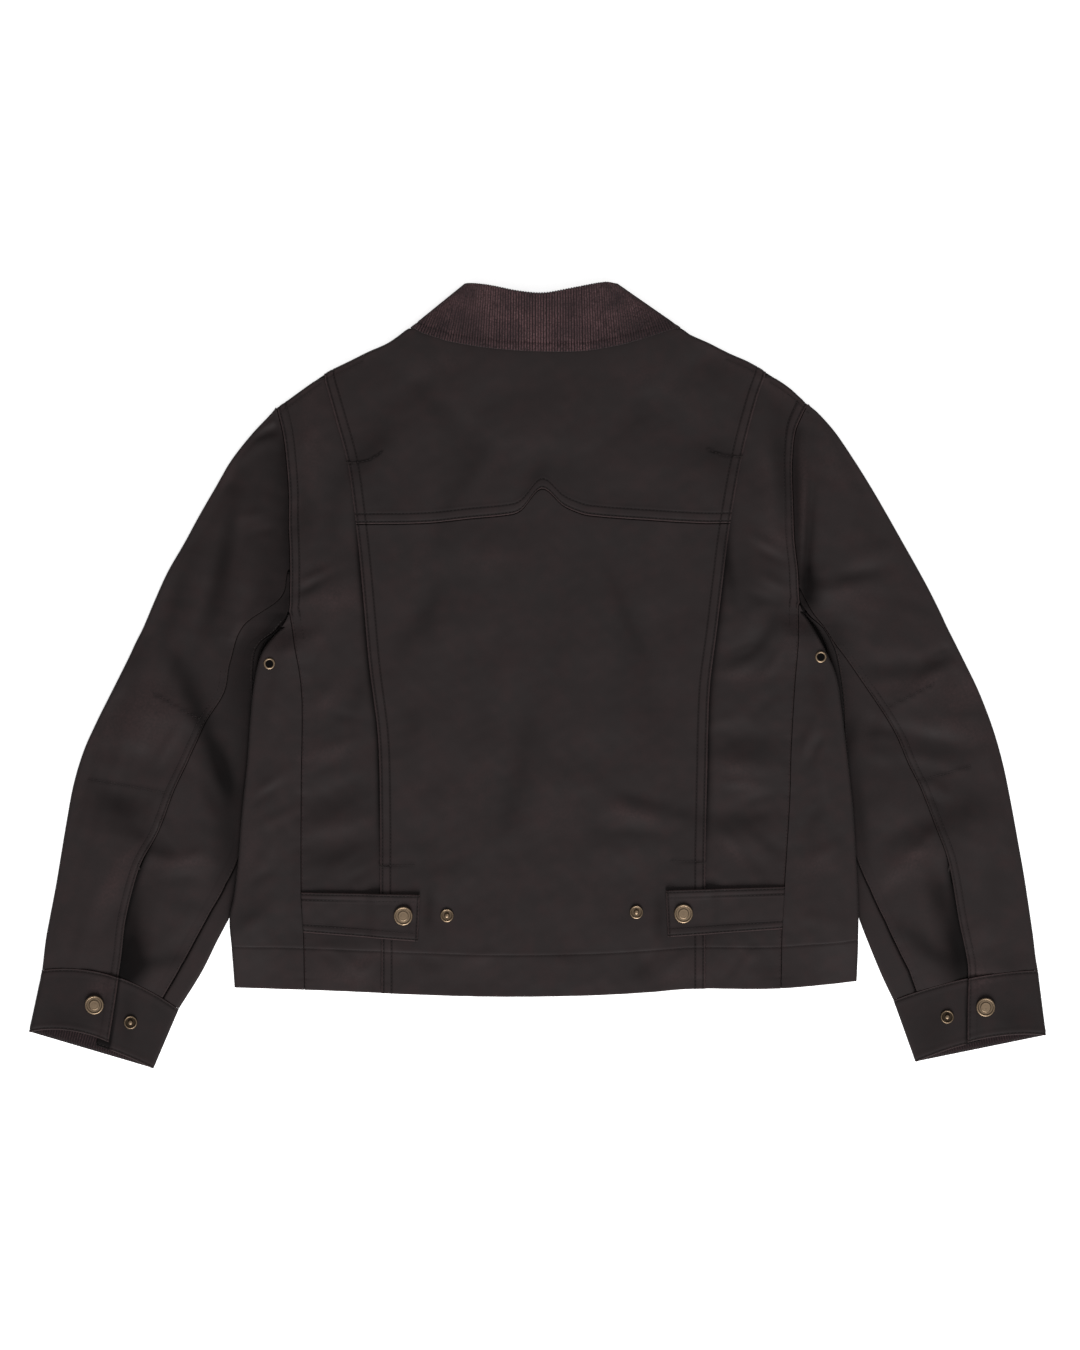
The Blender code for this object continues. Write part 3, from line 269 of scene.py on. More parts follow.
RIGHT = Side(
    name="right",
    sign=1,
    edge=((13, 280), (50, 281), (86, 281), (125, 279), (172, 276), (217, 271), (259, 266),
          (289, 261), (314, 250), (346, 232)),
    seam=((10, 212), (62, 213), (99, 215), (129, 217), (181, 220), (220, 221), (279, 224),
          (319, 227), (352, 228)),
    armhole=((346, 232), (354, 229), (383, 227), (410, 224), (437, 223), (464, 222),
             (482, 222), (508, 225), (533, 236)),
    pleat=((7, 144), (121, 144), (176, 145), (226, 146), (279, 148), (327, 154), (377, 160),
           (424, 166), (485, 177), (536, 190), (561, 199)),
    shoulder=((122, 601), (130, 595), (148, 587), (166, 578), (184, 570), (202, 559),
              (220, 547), (236, 532)),
    underarm=(352, 232, 346),
    lift_top=346,
    open_rows=((237.0, 531.6, 532.2), (246, 524, 524), (261, 507, 506), (278, 482, 481), (293, 458, 458),
               (307, 434, 434), (320, 411, 411), (333, 388, 388), (345, 366, 366)),
    closed_rows=(
        (355, 346, 232.6, 346, 2.4, 0, 0, 0), (361, 333, 244, 332, 5, 0, 0, 0),
        (368, 319, 251.5, 318, 6, 0, 0, 0), (376, 303, 255, 302, 8, 0, 0, 0),
        (390, 274, 258, 266, 10, 0, 0, 0), (403, 240, 258, 230, 11, 0, 0, 0),
        (412, 208, 260, 197, 12, 0, 0, 0), (419, 174, 263, 162, 12, 0, 0, 0),
        (425, 141, 267, 128, 11, 0, 0, 0), (431, 107, 274, 95, 18, 1, 2.6, 0),
        (436, 74, 284, 65, 22, 1.5, 2.6, 8), (439, 53, 293, 42, 23, 3, 2.6, 8),
        (441, 36, 303, 18, 24, 4.5, 2.6, 8), (443, 24, 313, -3, 21, 6, 2.6, 8),
    ),
    back_seam=((366, 229.5), (346, 240), (332, 251), (318, 260), (302, 272), (277, 289),
               (256, 303), (234, 316), (212, 325), (186, 338), (150, 352), (122, 362),
               (66, 372), (32, 379), (15, 380)),
    seam_start=8,
    cuff_outer=((443, 24), (450.5, -35)),
    cuff_inner=((313, -3), (333, -59)),
    flap_end=(0.485, 0.6085),
    flap_bow=(6, 9),
    under_bow=(6, 7),
    tab=((215, 99), (213, 61), (108, 96), (110, 54)),
    tab_cap=(124, 75),
    hem_stud=(82, 76),
    cuff_cap=(395, -9),
    cuff_stud=(361, -18),
    eyelet=(247, 305),
    darts=(((309.6, 261.9), (328, 271), (348.3, 281.7)), ((329.4, 193.5), (352, 199), (381, 207.9))),
    shade_reach=3,
    pleat_tacks=(485, 120.6),
    vent_tack=(362.7, 115.2),
    pleat_row_end=114,
    yoke_dart_rise=6.5,
)

SIDES = (LEFT, RIGHT)

HEM = Curve(((-279, 8), (-212, 6), (-140, 3), (-50, 0), (40, 1), (94, 4), (130, 7), (202, 7),
             (256, 11), (281, 14)))
YOKE_SEAM = Curve(((-168, 424), (-109, 425), (-68, 429), (-30, 433), (-21, 437), (-3, 456),
                   (16, 441), (26, 436), (39, 432), (90, 428), (140, 425), (165, 425)))
NECK_HALF = 122.0
NECK_Y = 603.0
FRONT_NECK = Curve(((0, 563.5), (14, 563.5), (26, 566), (61, 575), (100, 592), (NECK_HALF, 600)))
BACK_NECK = Curve(((0, NECK_Y), (98, NECK_Y), (112, 600.5), (NECK_HALF, 600)))
FALL_EDGE = ((-121, 601), (-104, 593), (-76, 586), (-40, 581), (0, 579), (40, 580), (76, 587),
             (104, 596), (122, 601))
FALL_FOLD = ((-73, 640), (-50, 637), (-25, 632), (-2, 630), (22, 634), (45, 638.5), (58, 640.5),
             (66, 640))
LEAF_POINT = (38.0, 530.0)  # the collar's corner on the fronts
LEAF_END = (3.0, 598.0)
WING = (121.5, 601.0)


def folds(*rows: tuple) -> tuple:
    """Folds from rows of x, y, heading, length, width, height and, where they bend, bend."""
    return tuple(Fold(*row) for row in rows)


BODY_FOLDS = folds(
    (-20, 207, 77, 240, 15, -1), (-88, 450, 71, 170, 14, -1.8), (82, 311, 104, 230, 15, -1.6),
    (79, 164, -20, 90, 12, 2), (-185, 183, 21, 100, 12, -2), (-187, 155, 10, 90, 10, 2),
    (-196, 363, 17, 80, 14, 2.4), (180, 229, 0, 100, 12, -1.8), (181, 207, -5, 100, 10, 2),
    (178, 161, 7, 100, 12, -2), (203, 440, 105, 130, 10, 2.6))

BODY_CREASES = folds(
    (-206, 378, 24, 46, 4, 1.2), (-214, 366, 30, 30, 4, -0.9), (-188, 344, 80, 60, 16, 1.2),
    (-196, 274, 60, 34, 6, 0.7), (-178, 252, -10, 70, 5, -0.7), (-185, 226, 12, 76, 7, 0.8),
    (-196, 206, 24, 50, 5, -0.6), (-104, 356, 80, 90, 8, -1), (-92, 330, 76, 100, 12, 0.7),
    (-52, 392, 62, 80, 12, 0.9), (-30, 300, 74, 190, 18, 0.9), (-60, 250, 72, 150, 16, -0.7),
    (-28, 480, 66, 120, 13, 0.8), (-60, 520, 55, 90, 12, -0.6), (-140, 520, 30, 60, 10, 0.8),
    (-120, 545, 35, 60, 9, -0.7), (18, 490, 74, 120, 14, -0.7), (60, 505, 88, 120, 18, 0.5),
    (120, 500, 118, 110, 13, -0.8), (140, 470, 110, 90, 10, 0.8), (108, 545, -24, 70, 12, 0.7),
    (96, 350, 100, 150, 12, 0.6), (48, 300, 96, 150, 16, 0.6), (10, 330, 95, 170, 16, -0.5),
    (86, 178, -18, 80, 9, -1), (96, 150, -12, 70, 9, -0.9), (60, 130, -30, 60, 9, 0.7),
    (40, 190, -8, 90, 10, 0.7), (-40, 140, 32, 80, 10, 0.6), (-90, 120, 15, 60, 9, -0.6),
    (-176, 30, -30, 46, 5, 1), (-188, 34, -24, 40, 4, -0.8), (-160, 26, 38, 34, 5, 0.8),
    (-128, 42, -14, 60, 6, 1), (-108, 34, -22, 50, 5, -0.8), (-60, 36, 12, 46, 6, 0.6),
    (20, 30, -8, 60, 6, 0.6), (90, 30, 40, 46, 5, -0.7), (120, 34, 30, 40, 5, 0.8),
    (170, 28, 50, 36, 5, -0.7), (182, 34, 44, 36, 5, 0.7), (196, 408, -28, 46, 5, 1.3),
    (204, 396, -30, 40, 4, -1), (206, 372, -22, 44, 5, 1.2), (196, 358, -20, 44, 5, -0.9),
    (186, 340, 60, 50, 8, 1), (176, 296, 24, 56, 7, 1.6, 6), (180, 312, 20, 50, 6, -1.4, 6),
    (205, 300, 60, 34, 5, 1), (168, 250, 12, 60, 7, 0.7), (196, 262, 40, 46, 6, -0.8),
    (176, 192, -4, 70, 5, 0.9), (190, 178, 10, 50, 5, -0.7), (170, 140, -40, 60, 6, 0.8),
    (186, 124, -46, 60, 6, -0.9), (-176, 126, 34, 60, 6, 0.7), (-166, 110, 30, 50, 5, -0.7),
    (-240, 196, 36, 60, 6, 1.1), (-248, 184, 34, 50, 4, -0.8), (-236, 162, 24, 50, 5, 0.8),
    (-246, 132, 60, 44, 6, 0.7), (-252, 110, 30, 40, 5, -0.7), (-238, 236, 70, 60, 6, -0.6),
    (-243, 268, 80, 60, 7, 0.6), (236, 232, 66, 56, 5, 1), (243, 224, 64, 50, 4, -0.8),
    (248, 196, 100, 60, 7, 0.9), (238, 160, 60, 50, 6, -0.7), (250, 130, 20, 40, 6, 0.8),
    (244, 70, -16, 50, 7, 0.7), (240, 290, 100, 46, 5, -0.6), (-224, 432, 84, 60, 6, -0.8),
    (-210, 470, 86, 70, 7, 0.7), (-213, 500, 60, 50, 7, 0.6), (208, 500, 112, 60, 7, -0.8),
    (188, 470, 104, 90, 8, -0.9))

SLEEVE_FOLDS = folds(
    (-290, 371, 78, 150, 13, -3), (-273, 372, 80, 130, 10, 2.2), (-311, 275, 108, 130, 13, -2.8),
    (-292, 208, 107, 100, 11, -2.4), (-346, 253, 20, 110, 22, 2.6), (-369, 158, 130, 110, 14, -2.6),
    (-326, 118, 3, 90, 12, 2.2), (-382, 109, 51, 80, 12, 2), (278, 380, 10, 110, 6, -1.6),
    (315, 298, 4, 130, 9, -1.6), (337, 277, 21, 80, 10, 2.2), (335, 233, -14, 150, 8, -2),
    (360, 244, -10, 100, 13, 2.4), (360, 163, 30, 90, 16, -2.2), (326, 116, 38, 80, 13, 2.4))

SLEEVE_CREASES = folds(
    (-252, 506, 20, 40, 5, -2.2), (-256, 514, 22, 44, 4, 1.4), (-262, 492, 40, 50, 6, 0.9),
    (-320, 430, 58, 150, 12, 1.6), (-300, 436, 62, 120, 9, -1.2), (-340, 380, 62, 120, 10, 0.9),
    (-263, 432, 12, 40, 5, 0.8), (-254, 418, 16, 36, 4, -0.7), (-262, 352, 74, 70, 6, -1),
    (-276, 330, 62, 50, 6, 0.8), (-300, 330, 76, 90, 8, 0.9), (-328, 312, 70, 80, 9, -0.8),
    (-352, 300, 80, 70, 10, 0.8), (-372, 230, -8, 90, 9, 1.2), (-392, 208, -8, 60, 8, 0.8),
    (-376, 178, -20, 70, 8, -1), (-338, 226, 60, 60, 5, 1), (-318, 214, 108, 60, 5, 1.2),
    (-306, 190, 118, 70, 6, -1), (-286, 182, 110, 60, 6, 0.9), (-344, 152, 128, 70, 6, 1.2),
    (-356, 140, 132, 60, 5, -1), (-345, 126, -12, 44, 5, 1.4), (-316, 127, 10, 40, 5, 1.2),
    (-296, 118, -24, 40, 5, 0.9), (-330, 106, 4, 60, 6, -1.2), (-404, 84, 70, 70, 9, 0.8),
    (-420, 60, 78, 60, 8, -0.6), (-392, 66, 60, 60, 7, -0.7), (-340, 62, 40, 60, 8, -0.8),
    (-318, 70, 50, 60, 8, 0.8), (232, 452, 92, 170, 6, 2.6, 4), (236.5, 410, 87, 150, 4, -2.4),
    (268, 470, 116, 70, 8, 0.8), (300, 400, 16, 80, 8, 0.9), (268, 366, 10, 60, 7, 0.9),
    (320, 352, -30, 90, 10, -0.6), (340, 338, -40, 90, 10, 0.6), (352, 292, 28, 60, 6, 1.8, -5),
    (350, 306, 26, 60, 6, -1.4, -4), (372, 298, 70, 40, 6, 0.8), (308, 284, 10, 60, 7, 0.9),
    (296, 248, 60, 60, 7, -0.6), (342, 214, -16, 80, 6, 1.2), (372, 236, 22, 50, 6, -1),
    (396, 222, 48, 50, 8, 0.8), (355, 186, -30, 36, 5, 1.2), (346, 178, -34, 34, 4, -1),
    (300, 216, -4, 70, 7, 0.8), (290, 180, 20, 60, 8, -0.7), (322, 150, 34, 80, 8, -1),
    (340, 138, 40, 60, 6, 1.4, 3), (312, 96, 52, 60, 7, -1), (352, 96, 96, 60, 7, -1),
    (342, 74, 104, 60, 6, 0.8), (392, 150, 96, 80, 9, 0.8), (404, 104, 84, 90, 9, -0.7),
    (388, 60, 30, 50, 7, 0.9), (398, 44, 26, 50, 6, -0.8))

# Painted light and shade, as folds that only mark the cloth's colour: lighter where it turns to the light,
# darker where it turns from it
BODY_SHADES = folds(
    (-157, 490, 50, 130, 12, -2.4), (-209, 500, 92, 130, 12, 1.6), (-97, 566, 12, 90, 8, 1.4),
    (-60, 460, 56, 170, 9, 0.9), (-63, 474, 62, 90, 8, -1.2), (-8, 465, 60, 70, 9, -1.4),
    (-213, 432, 90, 80, 9, -1.4), (-191, 428, 85, 80, 9, -1.2), (-200, 386, 5, 60, 7, 1.2),
    (-208, 368, 28, 70, 5, -2.6), (-185, 357, 0, 90, 13, 1.4), (-192, 268, 48, 80, 9, 1.6),
    (-170, 266, 60, 60, 8, -1.2), (-200, 217, 8, 90, 8, 1.8), (-182, 124, 4, 120, 13, -2.6, 8),
    (-265, 136, 85, 120, 9, 1.6), (-246, 228, 10, 60, 12, 0.8), (-110, 400, 80, 140, 9, 1),
    (-116, 332, 57, 90, 9, -1.3), (-120, 241, 80, 60, 9, -1), (-120, 183, 30, 70, 8, 1.2),
    (-24, 200, 78, 190, 9, -1), (-68, 183, 80, 130, 22, 1), (-50, 391, 0, 110, 9, 0.9),
    (-112, 137, -10, 60, 8, -1), (-104, 78, 88, 60, 5, -2.4), (-186, 49, 0, 110, 4, -1.4),
    (-162, 33, 24, 60, 5, 2.2), (-176, 16, -8, 90, 6, 2), (-262, 74, 38, 70, 7, -2.2),
    (97, 552, -14, 110, 15, 1.5), (157, 482, -38, 80, 14, -1.8), (213, 474, 95, 150, 9, -2.4),
    (198, 478, 108, 60, 5, 1.2), (209, 410, -25, 60, 6, 1.4), (181, 380, 90, 130, 16, -1),
    (200, 325, 62, 80, 7, -2.2, 4), (181, 287, 3, 80, 6, 2, 8), (222, 317, 80, 60, 10, 1.2),
    (184, 229, -4, 110, 9, -0.8), (176, 197, -49, 80, 10, 1.4), (171, 160, 3, 100, 7, -1.2),
    (168, 130, -38, 60, 6, 2.2), (200, 136, -40, 70, 6, -1.6), (243, 117, 10, 60, 10, 2),
    (247, 272, 80, 60, 9, -1.4), (72, 345, 112, 130, 6, -1.2), (112, 405, 90, 70, 14, 0.8),
    (14, 160, 0, 70, 22, 1.2), (78, 165, -14, 70, 5, 2.2), (85, 176, -14, 80, 5, -1.4),
    (127, 163, -12, 60, 7, -2), (74, 146, -4, 90, 5, -1.4), (165, 386, 98, 90, 5, -2.8),
    (103, 72, 90, 60, 6, -2.4), (150, 53, 2, 130, 4, -1.2), (118, 18, 10, 70, 6, 1.6),
    (200, 22, -25, 70, 7, -1.4), (180, 38, -35, 60, 6, 1.2), (88, 22, -35, 60, 7, -1.2),
    (-222, 323, 6, 90, 11, 1.6), (212, 338, -6, 80, 10, 1.6), (81, 526, 43, 150, 13, -1.4),
    (-100, 535, -50, 120, 12, -1), (-185, 566, 31.5, 300, 9, 2.4), (184, 565, -31, 300, 9, 2))

SLEEVE_SHADES = folds(
    (-262, 380, 82, 320, 26, -1.4), (-246, 352, 85, 120, 10, -1.4), (-247, 322, 48, 60, 10, -3),
    (-290, 390, 79, 240, 8, -2.2), (-328, 365, 78, 150, 10, -1.6), (-308, 245, 113, 210, 9, -4),
    (-287, 195, 106, 90, 10, -2), (-293, 125, 92, 110, 9, -1.8), (-347, 166, 130, 26, 6, 1.4),
    (236.5, 369, 88, 60, 6, -1.8), (300, 236, 2, 60, 4, -1.6), (353, 182, 30, 26, 7, -1.6),
    (389, 12, 90, 36, 8, 2.4), (-399, 8, 90, 30, 8, 1.6), (-283, 150, 96, 200, 9, -2.5),
    (-301, 180, 108, 90, 6, -1.2), (-278, 383, 80, 120, 5, 1.6), (-359, 262, 60, 90, 22, 1.8),
    (-395, 240, 60, 90, 14, 1), (-372, 300, 62, 90, 12, -1.2), (-385, 223, 4, 50, 4, -1),
    (-384, 170, -10, 100, 20, -2.2), (-338, 128, 110, 60, 9, -1.8), (-326, 120, 6, 70, 4, 2.2),
    (-365, 134, 40, 70, 5, 2), (-390, 95, 66, 90, 7, 1.5), (-321, 82, -15, 80, 8, -1.2),
    (-396, 8, 0, 50, 8, 2.4), (-375, -20, 85, 70, 7, -1.8), (-430, -25, -15, 60, 10, -1.2),
    (-290, 468, 56, 220, 7, 1.4), (236.5, 400, 87, 130, 4.5, -2.2), (231, 440, 87, 190, 4, 1.6),
    (239, 367, 90, 60, 9, -4), (258, 322, 60, 60, 14, -2), (282, 358, 0, 70, 14, 1.2),
    (335, 283, 12, 80, 5, 1.2), (377, 272, 30, 80, 14, 2.6), (372, 254, -3, 70, 4, -1.6),
    (383, 238, -20, 70, 8, 1.6), (320, 200, -10, 130, 26, -1), (378, 172, -10, 80, 18, -1.8),
    (283, 160, 96, 130, 6, -2.2), (343, 150, 15, 60, 8, -1.8), (334, 127, 20, 50, 7, 1.6),
    (315, 108, 40, 60, 7, 1.2), (350, 92, 105, 70, 7, -1.4), (391, 18, 0, 60, 8, 2.6),
    (388, 36, 60, 50, 8, 1.2), (420, 31, 10, 60, 8, -1), (349, -29, 80, 70, 14, -1.4),
    (426, -20, 0, 60, 14, -1.2), (273, 230, 80, 60, 7, -3), (256, 480, 110, 80, 9, 1.2),
    (290, 470, -57, 220, 7, 1.4))

# Painted shade on the under sleeves only: in the vents and beside the left underarm
VENT_SHADES = folds(
    (-368, 75, 82, 90, 7, -3), (-370, 32, 80, 90, 13, -5.5), (-345, 32, 12, 90, 8, -3),
    (-374, 30, 82, 60, 6, -2.5), (369, 45, 104, 100, 9, -5), (342, 45, -38, 120, 9, -3.4),
    (358, 92, 100, 60, 7, -2.4), (-272, 290, 80, 130, 16, -1.6))

BODY_WAVES = Waviness(seed=11, shortest=13, longest=120, height=1.15)
SLEEVE_WAVES = Waviness(seed=23, shortest=12, longest=110, height=1.25)


def by_side(name: str, x: Array, at: Array) -> Array:
    """A named outline of whichever side each x is on, read at places along it."""
    return np.where(x < 0, LEFT.curves[name](at), RIGHT.curves[name](at))


@dataclass(frozen=True)
class Layers:
    """Heights of the flattened jacket's layers, in millimetres above the surface it lies on."""

    cloth: float = 2.2
    corduroy: float = 2.0
    seam_gap: float = 0.3
    sleeve_gap: float = 0.5
    lap_gap: float = 0.4
    rest_gap: float = 0.35
    edge_height: float = 6.0
    body_loft: float = 7.6
    sleeve_loft: float = 8.3
    sleeve_lift: float = 6.9
    sleeve_ends: tuple = (-4, 72, 26)  # y where the sleeve under a side begins, lies full and fades
    sleeve_reach: tuple = (18, 52)  # how far in from the side edge it lifts the body
    leaf_reach: tuple = (-52, -22)  # the same for the collar's leaf, up from its lower edge
    deepest_crease: float = -1.7
    pleat_reach: tuple = (105, 190, 380, 455)  # y where the pleats begin to open, are open and close
    pleat_stand: float = 0.7
    shoulder_slope: float = 0.87
    shoulder_inset: float = 2.2  # radii of the fold between the shoulder line and the flat back

    @property
    def radius(self) -> float:
        """Radius of a folded edge."""
        return self.edge_height / 2

    def side_distance(self, x: Array, y: Array) -> Array:
        """How far a place lies inside the folded side edge.

        Args:
            x, y: Places across and up the back.

        Returns:
            The distance in from the edge.
        """
        edge_half = np.where(x < 0, LEFT.underarm[1], RIGHT.underarm[1])
        edge_y = np.where(x < 0, LEFT.underarm[2], RIGHT.underarm[2])
        below = np.maximum(by_side("edge", x, y) - np.abs(x), 0.0)
        above = np.hypot(np.maximum(edge_half - np.abs(x), 0.0), y - edge_y)
        return np.where(y <= edge_y, below, above)

    def edge_distance(self, x: Array, y: Array) -> Array:
        """How far a place lies inside the nearest folded edge, side or shoulder.

        Args:
            x, y: Places across and up the back.

        Returns:
            The distance in from the edge.
        """
        half = np.abs(x)
        sloped = (by_side("shoulder", x, half) - y) * self.shoulder_slope
        neck = np.hypot(NECK_HALF - half, WING[1] - y)
        shoulder = np.where(half >= NECK_HALF, sloped, neck)
        return np.maximum(np.minimum(self.side_distance(x, y), shoulder), 0.0)

    def lift(self, x: Array, y: Array) -> Array:
        """How far the sleeves and the collar under the body raise its lower layer.

        Args:
            x, y: Places across and up the back.

        Returns:
            Height of the lower layer's underside.
        """
        top = np.where(x < 0, LEFT.lift_top, RIGHT.lift_top)
        start, full, fade = self.sleeve_ends
        present = ramp(y, start, full) * (1 - ramp(y, top - fade, top))
        beside = 1 - ramp(self.side_distance(x, y), *self.sleeve_reach)
        over_sleeve = self.sleeve_lift * present * beside
        slope = (WING[1] - LEAF_POINT[1]) / (WING[0] - LEAF_POINT[0])
        leaf = LEAF_POINT[1] + np.maximum(np.abs(x) - LEAF_POINT[0], 0.0) * slope
        on_leaf = ramp(y - leaf, *self.leaf_reach)
        return np.where(y <= top, over_sleeve, 0.0) + (self.corduroy + self.lap_gap) * on_leaf

    def back_height(self, x: Array, y: Array) -> Array:
        """Height of the back's outer face.

        Args:
            x, y: Places across and up the back.

        Returns:
            The height at each place.
        """
        distance = self.edge_distance(x, y)
        folds = sum(fold.rise(x, y) for fold in BODY_FOLDS) * ramp(distance, 4, 30)
        creases = sum(fold.rise(x, y) for fold in BODY_CREASES) + BODY_WAVES.rise(x, y)
        creases = np.maximum(1.2 * creases, self.deepest_crease) * ramp(distance, 2, 14)
        loft = mix(self.edge_height, self.body_loft, ramp(distance, 3, 40))
        return self.lift(x, y) + loft + folds + creases

    def centre_lap(self, x: Array, y: Array) -> Array:
        """Rise of the centre back over the side back, highest along its free edges.

        Args:
            x, y: Places across and up the back.

        Returns:
            The rise at each place.
        """
        inside = by_side("pleat", x, y) - np.abs(x)
        edge = (1 - ramp(inside, 1, 9)) * ramp(inside, -3, 0)
        stands = self.pleat_stand * self.pleat_open(y) * edge
        return (self.cloth + self.lap_gap) * (1 - 0.69 * ramp(inside, 12, 50)) + stands

    def sleeve_level(self, body: Array) -> Array:
        """Level of the sleeve along the armhole, which falls away from the body's height there."""
        return body - 0.6 - 1.1 * ramp(body, 6.2, 7.4)

    def pleat_open(self, y: Array) -> Array:
        """How far the side pleats stand open at a height up the back, from 0 to 1."""
        return ramp(y, *self.pleat_reach[:2]) * (1 - ramp(y, *self.pleat_reach[2:]))

    def centre_height(self, x: Array, y: Array) -> Array:
        """Height of the centre back's outer face at (x, y)."""
        return self.back_height(x, y) + self.centre_lap(x, y)

    def tab_height(self, x: Array, y: Array) -> Array:
        """Height of a waist tab's outer face, which rises over the centre back's edge.

        Args:
            x, y: Places across and up the back.

        Returns:
            The height at each place.
        """
        outside = np.abs(x) - by_side("pleat", x, y)
        lap = self.centre_lap(x, y) * (1 - ramp(outside, 2, 16))
        return self.back_height(x, y) + lap + self.rest_gap + self.cloth

    def shoulder_turn(self, x: Array, angle: float, under: Array | float) -> Array:
        """Points where the cloth turns over the shoulder; +90 degrees is the top.

        Args:
            x: Places across the back.
            angle: Angle round the fold, in degrees.
            under: How far the cloth lies inside the shoulder line, beneath another layer.

        Returns:
            Points on the outer face.
        """
        half, sign, step = np.abs(x), np.sign(x), 2.0
        edge_y = by_side("shoulder", x, half)
        rise = by_side("shoulder", x, half + step) - by_side("shoulder", x, half - step)
        length = np.hypot(2 * step, rise)
        in_x, in_y = rise / length * sign, -2 * step / length
        radius = self.radius
        middle = self.lift(x + in_x * radius, edge_y + in_y * radius) + radius
        bend = np.radians(angle)
        inset = under + radius - radius * np.cos(bend)
        z = middle + radius * np.sin(bend)
        return np.stack(np.broadcast_arrays(x + in_x * inset, edge_y + in_y * inset, z), -1)


LAYERS = Layers()


# Finishes


def linear(colour: str) -> tuple[float, float, float, float]:
    """Turn an sRGB hex colour to linear.

    Args:
        colour: Hex digits such as "#2e2927".

    Returns:
        Linear red, green, blue and an alpha of 1.
    """
    values = [int(colour[i:i + 2], 16) / 255 for i in (1, 3, 5)]
    made = [v / 12.92 if v <= 0.04045 else ((v + 0.055) / 1.055) ** 2.4 for v in values]
    return (*made, 1.0)


def add_node(tree: bpy.types.NodeTree, kind: str, links: dict | None = None,
             **settings: object) -> bpy.types.Node:
    """Add a node with its settings and links.

    Args:
        tree: Tree that the node goes in.
        kind: Blender's name for the kind of node.
        links: Input name or number to the socket that feeds it, or to its value.
        **settings: The node's own settings.

    Returns:
        The node.
    """
    made = tree.nodes.new(kind)
    for name, value in settings.items():
        setattr(made, name, value)
    for name, value in (links or {}).items():
        socket = made.inputs[name]
        if isinstance(value, bpy.types.NodeSocket):
            tree.links.new(value, socket)
        else:
            socket.default_value = value
    return made


@dataclass(frozen=True)
class Finish:
    """A finish: constants on a Principled shader, and the nodes that vary its other inputs."""

    title: ClassVar[str]
    constants: ClassVar[dict]

    def look(self, tree: bpy.types.NodeTree) -> dict:
        """The sockets that vary the shader, by the name of the input that each feeds."""
        return {}

    def make(self) -> bpy.types.Material:
        """Build the material.

        Returns:
            The material.
        """
        made = bpy.data.materials.new(self.title)
        made.use_nodes = True
        shader = made.node_tree.nodes["Principled BSDF"]
        for name, value in self.constants.items():
            shader.inputs[name].default_value = value
        for name, socket in self.look(made.node_tree).items():
            made.node_tree.links.new(socket, shader.inputs[name])
        return made


